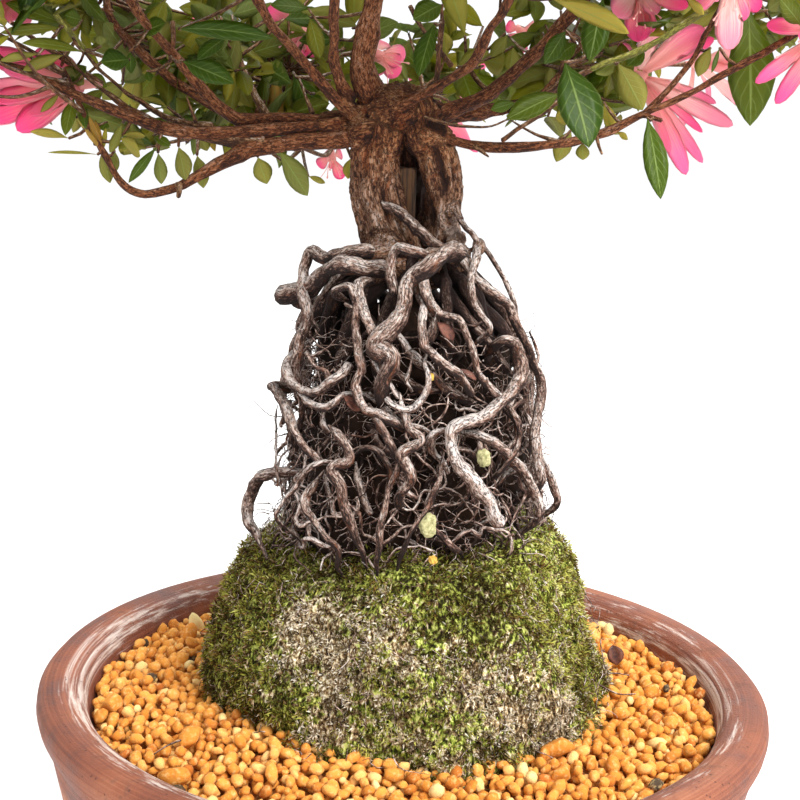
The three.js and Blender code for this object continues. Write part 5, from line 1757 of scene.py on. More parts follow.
@dataclass(frozen=True)
class Trunk:
    """Three stems that have grown together above and below a gap, with the first stretch of each limb.

    Attributes:
        voxel: the size of the cells that fuse them.
        reach: how much of each root and branch is fused with the stems.
        crease: how deep the bark's furrows are.
    """

    voxel: float = 0.68
    reach: float = 7
    crease: float = 1.3

    def limbs(self) -> list[tuple[Array, Array]]:
        """Lines and radii of everything that is fused.

        Returns:
            A line and its radii for each.
        """
        made = []
        for stem in STEMS:
            line = stem.line(1.0)
            made.append((line, along(stem.radii, len(line))))
        for limb in (*FRONT_ROOTS, *BRANCHES, *back_roots()):
            near = np.hypot(limb.route[0][0] + 5, limb.route[0][1]) < 26 and 216 < limb.route[0][2] < 276
            if not near:
                continue
            line = limb.line(1.0)
            slim = Branches.slim if limb in BRANCHES else RootColumn.slim
            radii = along(limb.radii, len(line)) * slim + 0.1
            kept = max(4, int(np.searchsorted(run_of(line), self.reach)))
            flare = 1 + 0.35 * np.exp(-run_of(line)[:kept] / 6)
            made.append((line[:kept], radii[:kept] * flare))
        return made

    def build(self) -> None:
        """Makes the trunk."""
        limbs = self.limbs()
        raw = Meshwork()
        for line, radii in limbs:
            sweep(raw, line, radii, 18)
        points, faces = ball(3)
        for lump in TRUNK_LUMPS:
            raw.add(points * lump.sizes * (1 + 0.1 * noise(points, 0.7, 3))[:, None] + lump.middle, [faces],
                    grain=points)  # fmt: skip
        skin, quads, normals = self.fuse(raw)
        grain, radius = self.grain_of(skin, limbs)
        grain[:, 1:] += 1.1 * np.stack([noise(grain * [0.12, 0, 0], 1.0, seed) for seed in (61, 62)], -1)
        ridge = 1 - 2.2 * np.abs(cloud(grain * [0.15, 1, 1], 3.1, 5, 2))
        fine = 1 - 2 * np.abs(cloud(grain * [0.25, 1, 1], 1.35, 8, 2))
        lump = cloud(grain * [0.6, 1, 1], 7, 14, 2)
        depth = self.crease * np.clip(radius / 7, 0.25, 1) * (0.9 * ridge + 0.45 * fine + 0.8 * lump)
        skin = skin + normals * (depth - 0.15)[:, None]
        x, y, z = skin.T
        # Painted shade in deep: dark in the gap between the stems, towards the top of the fork, on the back
        # and in the furrows between the ridges.
        inside = np.exp(-((x + 3.5) ** 2 / 22 + (z - 246) ** 2 / 150)) * swell(y, -8, -3)
        fork = 0.1 * swell(z, 258, 272) + 0.4 * swell(y, 0, 9)
        deep = np.clip(inside + fork + 0.78 * swell(-ridge, 0.0, 0.75), 0, 0.96)
        # A paler patch at the foot of the right-hand stem: partly its greyer bark and partly painted light,
        # where the stem is fully lit.
        foot = np.exp(-((x - 9) ** 2 / 30 + (z - 236) ** 2 / 90))
        tone = 0.6 + 0.35 * noise(skin, 6, 77) + 0.25 * swell(ridge, 0, 1) + 0.8 * foot
        work = Meshwork()
        work.add(skin, [quads], grain=grain, tone=tone, deep=deep, warm=0.75 * swell(z, 244, 264))
        settle(work.build("trunk", TRUNK_BARK.material()), Slot.BARK, "azalea_wood")

    def fuse(self, raw: Meshwork) -> tuple[Array, Array, Array]:
        """Makes one skin of overlapping solids.

        Args:
            raw: the solids.

        Returns:
            Its points in millimetres, its quads and its normals.
        """
        piece = raw.build("trunk_raw", None)
        fuse = piece.modifiers.new("fuse", "REMESH")
        fuse.mode, fuse.voxel_size = "VOXEL", self.voxel * MM
        soften = piece.modifiers.new("soften", "SMOOTH")
        soften.factor, soften.iterations = 0.5, 4
        apply_modifiers(piece)
        mesh = piece.data
        skin = np.empty(len(mesh.vertices) * 3, np.float32)
        mesh.vertices.foreach_get("co", skin)
        normals = np.empty(len(mesh.vertices) * 3, np.float32)
        mesh.vertices.foreach_get("normal", normals)
        quads = np.array([polygon.vertices[:] for polygon in mesh.polygons])
        bpy.data.objects.remove(piece)
        return skin.reshape(-1, 3).astype(float) / MM, quads, normals.reshape(-1, 3).astype(float)

    @staticmethod
    def grain_of(skin: Array, limbs: list[tuple[Array, Array]]) -> tuple[Array, Array]:
        """For each point of the skin, how far along the nearest limb it is and where across it.

        Args:
            skin: the points.
            limbs: lines and radii.

        Returns:
            The grain, and the nearest limb's radius there.
        """
        samples, frames, radii, runs = [], [], [], []
        for key, (line, radius) in enumerate(limbs):
            _, firsts, seconds = frames_of(line)
            samples.append(line)
            frames.append(np.stack([firsts, seconds], 1))
            radii.append(radius)
            runs.append(run_of(line) + 31.7 * key)
        samples, frames = np.concatenate(samples), np.concatenate(frames)
        radii, runs = np.concatenate(radii), np.concatenate(runs)
        tree = KDTree(len(samples))
        for k, sample in enumerate(samples):
            tree.insert(sample, k)
        tree.balance()
        nearest = np.empty(len(skin), int)
        for k, point in enumerate(skin):
            nearest[k] = min(tree.find_n(point, 6), key=lambda hit: hit[2] - radii[hit[1]])[1]
        offset = skin - samples[nearest]
        across = (frames[nearest] * offset[:, None, :]).sum(-1)
        return np.column_stack([runs[nearest], across]), radii[nearest]


@dataclass(frozen=True)
class Branches:
    """The main branches and the leader, out to their leaf pads.

    Attributes:
        step: how far apart the rings of points are.
        slim: how much thinner they are than the plain solids.
    """

    step: float = 1.5
    slim: float = 0.62

    def build(self, limbs: tuple[Limb, ...]) -> None:
        """Makes the branches.

        Args:
            limbs: every branch of the crown.
        """
        work = Meshwork()
        for key, limb in enumerate(limbs):
            line = limb.line(self.step)
            radii = along(limb.radii, len(line)) * self.slim + 0.05
            line = line + 0.3 * drift(line, 6, key) * swell(run_of(line), 2, 12)[:, None]
            sides = 12 if radii[0] > 2.4 else 9
            relief = bark_relief(line, radii, sides, key + 1, 0.16, 0.14)
            sweep(work, line, radii, sides, relief, key, tone=0.5 + 0.35 * noise(line, 14, key + 5), deep=0.0)
        settle(work.build("branches", BRANCH_BARK.material()), Slot.BARK)


@dataclass(frozen=True)
class RootColumn:
    """The bare roots: thick ones listed one by one in front and by rule behind, and finer ones between them.

    Attributes:
        step: how far apart the rings of points on a thick root are.
        slim: how much thinner they are than the plain solids.
        heart: radius and height of the outline of the matted soil inside.
        wanderers: how many finer roots there are.
        hairs: how many rootlets stand out from them.
    """

    heart: tuple[tuple[float, float], ...] = (
        (30, 126), (37, 134), (36.5, 146), (35.5, 160), (34.5, 172), (33, 184), (30, 194), (23, 203),
        (12, 209), (1, 211),
    )  # fmt: skip
    step: float = 1.1
    slim: float = 0.8
    wanderers: int = 300
    hairs: int = 2250

    def build(self) -> None:
        """Makes all the roots and the matted soil inside them."""
        self.build_thick("roots_front", FRONT_ROOTS, 12, 100)
        self.build_thick("roots_behind", back_roots() + self.inner_roots(), 9, 200)
        self.build_heart()
        self.build_wanderers()
        self.build_hairs()

    @staticmethod
    def inner_roots() -> tuple[Limb, ...]:
        """Thick roots between the outer ones and the heart, which close the view through the column's top.

        Returns:
            The roots.
        """
        rng = np.random.default_rng(29)
        made = []
        for k in range(15):
            turn, route = FULL_TURN * (k + rng.uniform(-0.3, 0.3)) / 15, []
            for height, share in ((229, 0.55), (222, 0.6), (212, 0.7), (202, 0.74), (191, 0.7), (180, 0.62)):
                turn += rng.uniform(-0.16, 0.16)
                out = float(column_radius(height)) * share + rng.uniform(-2, 2)
                route.append((out * math.cos(turn) - 1, out * math.sin(turn), height + rng.uniform(-2, 2)))
            made.append(Limb(tuple(route), (2.6, rng.uniform(2, 3.2), rng.uniform(1.5, 2.6))))
        return tuple(made)

    def build_thick(self, name: str, limbs: tuple[Limb, ...], sides: int, key: int) -> None:
        """Makes one set of thick roots.

        Args:
            name: the piece's name.
            limbs: the roots.
            sides: points round each.
            key: picks their patterns.
        """
        work = Meshwork()
        for k, limb in enumerate(limbs):
            line = limb.line(self.step)
            radii = along(limb.radii, len(line)) * self.slim
            kinks = np.stack([noise(line, 2.8, k + axis) for axis in range(3)], -1)
            wander = 0.75 * drift(line, 6.5, key + k) + 0.35 * kinks
            line = line + wander * swell(run_of(line), 0, 8)[:, None]
            to_end = run_of(line)[-1] - run_of(line)
            if line[-1, 2] < 148:
                reach = np.hypot(*line[-1, :2])
                pull = 1 - min(1, (float(mound_radius(line[-1, 2])) - 2.5) / reach)
                line[:, :2] *= 1 - pull * swell(-to_end, -18, 0)[:, None]
                radii = radii * (1 - 0.55 * swell(-to_end, -16, 0))
            if line[0, 2] < 217:
                radii = radii * (0.35 + 0.65 * swell(run_of(line), 0, 7))
            count = sides if radii.max() > 1.2 else 7
            relief = bark_relief(line, radii, count, key + k, 0.24, 0.15)
            worn = limb.tone * swell(run_of(line) / run_of(line)[-1], 0.2, 0.7)
            tone = 0.45 + 0.3 * math.sin(3.1 * k) + 0.3 * noise(line, 12, key + k) + worn
            # Painted shade: roots that lie further inside the column are painted darker through deep.
            inward = 1 - np.hypot(line[:, 0], line[:, 1]) / column_radius(line[:, 2])
            sweep(work, line, radii, count, relief, key + k, tone=tone, deep=0.95 * swell(inward, 0.08, 0.42))
        settle(work.build(name, ROOT_BARK.material()), Slot.BARK)

    def build_heart(self) -> None:
        """Makes the matted fine roots and soil that fill the column, painted nearly black for the shade
        inside it as well.
        """
        section = smooth_line(np.array([(radius, 0, height) for radius, height in self.heart], float), 2.0)
        turn = np.arange(96) / 96 * FULL_TURN
        points = around(section[:, :1], turn, section[:, 2:])
        depth = 3.6 * cloud(points, 13, 81, 2) + 2.2 * cloud(points, 5.5, 91, 2)
        points = points + MossMound.normals(points) * depth[..., None]
        hubs = [[0, 0, self.heart[0][1]], [0, 0, self.heart[-1][1]]]
        work = Meshwork()
        work.add(np.vstack([points.reshape(-1, 3), hubs]), skin_faces(*points.shape[:2]))
        settle(work.build("root_heart", ROOT_SOIL.material()), Slot.BARK)

    def wander(self, rng: np.random.Generator, start: float, length: float, restless: float) -> Array:
        """The line of a root that wanders down over the column.

        Args:
            rng: the source of chance.
            start: the height that it starts from.
            length: how long it is.
            restless: how quickly it changes its course.

        Returns:
            Its points.
        """
        step = 3.6
        turn, height, heading = rng.uniform(0, FULL_TURN), start, rng.normal(0, 0.8)
        depth = rng.uniform(0, 11)
        route = []
        for _ in range(max(4, round(length / step))):
            radius = max(float(column_radius(height)) - depth, 4)
            if height < 140:
                radius = min(radius, float(mound_radius(height)) + 0.6)
            route.append((radius * math.cos(turn) - 1, radius * math.sin(turn), height))
            heading = heading * 0.82 + rng.normal(0, restless)
            turn += math.sin(heading) * step / radius
            height = max(height - math.cos(heading) * step * 0.9, 122)
            depth = min(max(depth + rng.normal(0, 1.6), -0.5), 12)
        return np.array(route)

    def build_wanderers(self) -> None:
        """Makes the finer roots."""
        rng = np.random.default_rng(31)
        work = Meshwork()
        for k in range(self.wanderers):
            start = rng.uniform(150, 216) if k % 3 else rng.uniform(132, 180)
            line = smooth_line(self.wander(rng, start, rng.uniform(25, 75), 0.7), 1.9)
            thick = rng.choice((0.3, 0.45, 0.7, 1.05), p=(0.34, 0.36, 0.2, 0.1))
            radii = along((thick * 0.5, thick, thick * rng.uniform(0.8, 1.15), thick * 0.3), len(line))
            sides = 5 if thick > 0.5 else 4
            relief = bark_relief(line, radii, sides, 300 + k, 0.22, 0.1)
            # Painted shade: fine roots that lie further inside the column are painted darker through deep.
            inward = column_radius(line[:, 2]) - np.hypot(line[:, 0], line[:, 1])
            tone = rng.uniform(0.1, 1.0)
            sweep(work, line, radii, sides, relief, 300 + k, tone=tone, deep=0.8 * swell(inward, 2, 9))
        settle(work.build("roots_fine", FINE_ROOT_BARK.material()), Slot.BARK)

    def build_hairs(self) -> None:
        """Makes the rootlets that stand out of the column and trail over the moss."""
        rng = np.random.default_rng(37)
        work = Meshwork()
        for k in range(self.hairs):
            on_moss = k % 8 == 0
            height = rng.uniform(80, 136) if on_moss else rng.uniform(134, 205)
            turn = rng.uniform(0, FULL_TURN)
            radius = mound_radius(height) + 2.2 if on_moss else column_radius(height) - rng.uniform(-0.5, 8)
            spot = np.array([radius * math.cos(turn), radius * math.sin(turn), height])
            out = np.array([math.cos(turn), math.sin(turn), 0.3 if on_moss else 0.0])
            way = unit(out * rng.uniform(-0.2, 0.5) + rng.normal(size=3) * [0.8, 0.8, 0.9] - UP * 0.2)
            stride, bend = rng.uniform(1.6, 3.0), rng.uniform(0.35, 0.8)
            route = [spot]
            for _ in range(int(rng.integers(3, 7))):
                way = unit(way + bend * rng.normal(size=3) - (0.45 * out if on_moss else 0.12 * out))
                route.append(route[-1] + way * stride)
                reach = float(mound_radius(route[-1][2])) + 1.8
                if on_moss and np.hypot(*route[-1][:2]) < reach:
                    route[-1][:2] *= reach / np.hypot(*route[-1][:2])
            line = smooth_line(np.array(route), 2.3)
            thick = rng.uniform(0.1, 0.26)
            sweep(work, line, along((thick, thick * 0.4), len(line)), 3, None, k, tone=rng.uniform(0.1, 1.0),
                  deep=0.0)  # fmt: skip
        settle(work.build("rootlets", FINE_ROOT_BARK.material()), Slot.BARK)


@dataclass(frozen=True)
class BambooStake:
    """A split bamboo cane that props the tree, in the gap between its stems.

    Attributes:
        width: its width.
        thickness: its thickness.
        foot: the height of its lower end.
        top: the height of its upper end.
        x: where it stands.
        y: where it stands.
    """

    width: float = 5.5
    thickness: float = 2.4
    foot: float = 186
    top: float = 255
    x: float = -5
    y: float = -2.6

    def build(self) -> None:
        """Makes the stake: flat, with rounded edges, fibres along it and a rough top."""
        sides = 28
        turn = np.arange(sides) / sides * FULL_TURN
        level = np.linspace(self.foot, self.top, 60)
        flat = np.sign(np.cos(turn)) * np.abs(np.cos(turn)) ** 0.35 * self.width / 2
        deep = np.sign(np.sin(turn)) * np.abs(np.sin(turn)) ** 0.35 * self.thickness / 2
        points = np.stack(np.broadcast_arrays(flat, deep, level[:, None]), -1)
        shrink = 1 - 0.1 * np.abs(noise(points * [1, 1, 0.05], 0.9, 3))
        points = points * np.stack([shrink, shrink, np.ones_like(shrink)], -1)
        points[-1, :, 2] -= 1.6 * np.abs(noise(points[-1], 1.1, 4))
        points = points + [self.x, self.y, 0]
        hubs = [[self.x, self.y, self.foot], [self.x, self.y, self.top - 0.6]]
        work = Meshwork()
        work.add(np.vstack([points.reshape(-1, 3), hubs]), skin_faces(len(level), sides))
        finish = PlainFinish("split_bamboo", "#1e1007", "#523418", (1, 1, 0.06), 0.8, 0.85)
        settle(work.build("split_cane", finish.material()), Slot.BAMBOO, "bamboo_stake")


# ---------- leaves and blooms ----------


CELLS = 16  # tones that leaves and petals come in, each with a strip of the bake's map


@dataclass(frozen=True)
class BladeForm:
    """The form of a leaf or petal: a thin closed sheet between two pointed ends.

    Attributes:
        stations: share of the length and share of the half width.
        across: how many points lie from edge to edge. It is odd, so that one lies on the rib.
        thickness: how thick it is, in millimetres.
    """

    stations: tuple[tuple[float, float], ...]
    across: int
    thickness: float

    def grid(self) -> tuple[Array, list[Array], list[Array]]:
        """The points and faces of one blade.

        Returns:
            Run, share of the way across, half width and side, up or down, for each point. Then its triangles
            and quads, and for each of those whether it is on the underside.
        """
        points, top, back = [(0.0, 0.0, 0.0, 0.0)], [], []
        for run, half in self.stations:
            shares = np.linspace(-1, 1, self.across)
            row = []
            for share in shares:
                row.append(len(points))
                points.append((run, share, half, 0.0 if abs(share) == 1 else 1.0))
            low = [row[0]]
            for share in shares[1:-1]:
                low.append(len(points))
                points.append((run, share, half, -1.0))
            top.append(row)
            back.append([*low, row[-1]])
        tip = len(points)
        points.append((1.0, 0.0, 0.0, 0.0))
        triangles, quads = ([], []), ([], [])
        for side, rows in enumerate((top, back)):
            for k in range(self.across - 1):
                triangles[side].append((0, rows[0][k + 1], rows[0][k]))
                triangles[side].append((rows[-1][k], rows[-1][k + 1], tip))
                for row, after in zip(rows, rows[1:]):
                    quads[side].append((row[k], row[k + 1], after[k + 1], after[k]))
        faces, is_back = [], []
        for kind in (triangles, quads):
            flipped = np.array(kind[1])[:, ::-1]
            faces.append(np.concatenate([np.array(kind[0]), flipped]))
            is_back.append(np.repeat([False, True], [len(kind[0]), len(kind[1])]))
        return np.array(points), faces, is_back


@dataclass
class Blades:
    """A batch of leaves or petals, with one row for each.

    Attributes:
        roots: where they start.
        ways: which way they point there.
        faces: which way their upper side faces, about.
        lengths: their lengths.
        halves: their half widths.
        arch: how far each turns away from its upper side, in radians, from root to tip.
        fold: how far its edges stand up from its rib, as a share of the half width.
        twist: how far it twists, in radians.
        ripple: how wavy its edges are, as a share of the half width.
        tones: from 0 to 1.
    """

    roots: Array
    ways: Array
    faces: Array
    lengths: Array
    halves: Array
    arch: Array
    fold: Array
    twist: Array
    ripple: Array
    tones: Array

    def grow(self, work: Meshwork, form: BladeForm) -> None:
        """Adds them to a mesh.

        Args:
            work: what they are added to.
            form: their form.
        """
        grid, faces, is_back = form.grid()
        run, share, half, skin = grid.T
        ways = unit(self.ways)
        normals = square_to(self.faces, ways)
        sides = np.cross(ways, normals)
        bend = np.maximum(np.abs(self.arch), 1e-3)[:, None] * np.where(self.arch < 0, -1, 1)[:, None]
        angle = bend * run
        length = self.lengths[:, None]
        forward, down = length * np.sin(angle) / bend, length * (1 - np.cos(angle)) / bend
        spin = self.twist[:, None] * run

        def spread(amount: Array, directions: Array) -> Array:
            """Amounts for each point of each blade, along the blade's direction."""
            return amount[..., None] * directions[:, None, :]

        middle = self.roots[:, None, :] + spread(forward, ways) - spread(down, normals)
        local = spread(np.cos(angle), normals) + spread(np.sin(angle), ways)
        flat = np.broadcast_to(sides[:, None, :], local.shape)
        cos, sin = np.cos(spin)[..., None], np.sin(spin)[..., None]
        side, normal = flat * cos + local * sin, local * cos - flat * sin
        width = self.halves[:, None] * half
        phase = self.tones[:, None] * 37 + self.lengths[:, None]
        wave = np.sin(FULL_TURN * 1.6 * run + phase + 1.3 * share) * self.ripple[:, None] * np.abs(share)
        lift = width * (self.fold[:, None] * np.abs(share) ** 1.4 + wave) + form.thickness / 2 * skin
        points = middle + side * (width * share)[..., None] + normal * lift[..., None]
        count, size = points.shape[:2]
        cell = np.clip((self.tones * CELLS).astype(int), 0, CELLS - 1)
        tone = np.repeat((cell + 0.5) / CELLS, size)
        start = (np.arange(count) * size)[:, None, None]
        flat_run = np.broadcast_to(run, (count, size))
        flat_share = np.broadcast_to(share, (count, size))
        charts = [self.chart(grid, patch, back, cell) for patch, back in zip(faces, is_back)]
        work.add(
            points.reshape(-1, 3),
            [(patch[None] + start).reshape(-1, patch.shape[1]) for patch in faces],
            charts,
            blade=np.stack([flat_run, flat_share, np.broadcast_to(skin, (count, size))], -1).reshape(-1, 3),
            tone=tone,
        )

    @staticmethod
    def chart(grid: Array, patch: Array, is_back: Array, cell: Array) -> Array:
        """Lays every blade of a tone over the same strip: upper side above, underside below.

        Args:
            grid: each point's run and side.
            patch: the faces of one blade.
            is_back: which of them are on its underside.
            cell: each blade's strip.

        Returns:
            A place in the square for each corner of each face.
        """
        corner = grid[patch]
        u = 0.5 + 0.46 * corner[..., 1]
        v = 0.5 + 0.48 * corner[..., 0] * np.where(is_back, -1, 1)[:, None]
        u = (cell[:, None, None] + u[None]) / CELLS
        v = np.broadcast_to(v[None], u.shape)
        return np.stack([u, v], -1).reshape(-1, patch.shape[1], 2)


LEAF_FORM = BladeForm(((0.05, 0.1), (0.2, 0.56), (0.4, 0.93), (0.6, 1.0), (0.8, 0.7), (0.93, 0.32)), 3, 0.3)
LARGE_LEAF_FORM = BladeForm(
    ((0.04, 0.08), (0.12, 0.26), (0.22, 0.56), (0.34, 0.82), (0.48, 0.98), (0.62, 1.0), (0.75, 0.84),
     (0.86, 0.56), (0.94, 0.28)), 5, 0.35)  # fmt: skip
PETAL_FORM = BladeForm(
    ((0.04, 0.32), (0.15, 0.42), (0.3, 0.64), (0.46, 0.86), (0.62, 1.0), (0.78, 0.97), (0.9, 0.74),
     (0.97, 0.4)), 5, 0.25)  # fmt: skip

CROWN_HEART = np.array([-4.0, 0.0, 318.0])
LOWER_PAD_RADIUS = 18.0
UPPER_PAD_RADIUS = 25.0
UPPER_PADS_ABOVE = 350.0
PAD_FLATNESS = 0.6


@dataclass(frozen=True)
class Tier:
    """A ring of leaf pads on the upper dome.

    Attributes:
        count: how many there are.
        spread: how far out they are.
        height: how high they are.
        leaves: the height where their branches leave the leader.
        turn: where the first one is, in radians.
    """

    count: int
    spread: float
    height: float
    leaves: float
    turn: float

    def limbs(self) -> tuple[Limb, ...]:
        """The branches that bear the pads.

        Returns:
            The branches, each with its pad.
        """
        made = []
        for k in range(self.count):
            turn = FULL_TURN * k / self.count + self.turn
            route = tuple(
                (
                    CROWN_HEART[0] - 8 * (1 - out) + math.cos(turn) * self.spread * out,
                    CROWN_HEART[1] + 3 * (1 - out) + math.sin(turn) * self.spread * out,
                    self.leaves + rise * (self.height - self.leaves),
                )
                for out, rise in ((0, 0), (0.35, 0.2), (0.75, 0.55), (1, 1))
            )
            made.append(Limb(route, (2.2, 1.6, 1.1)))
        return tuple(made)


UPPER_TIERS = (Tier(6, 100, 366, 318, 0.35), Tier(3, 50, 412, 372, 0.1))

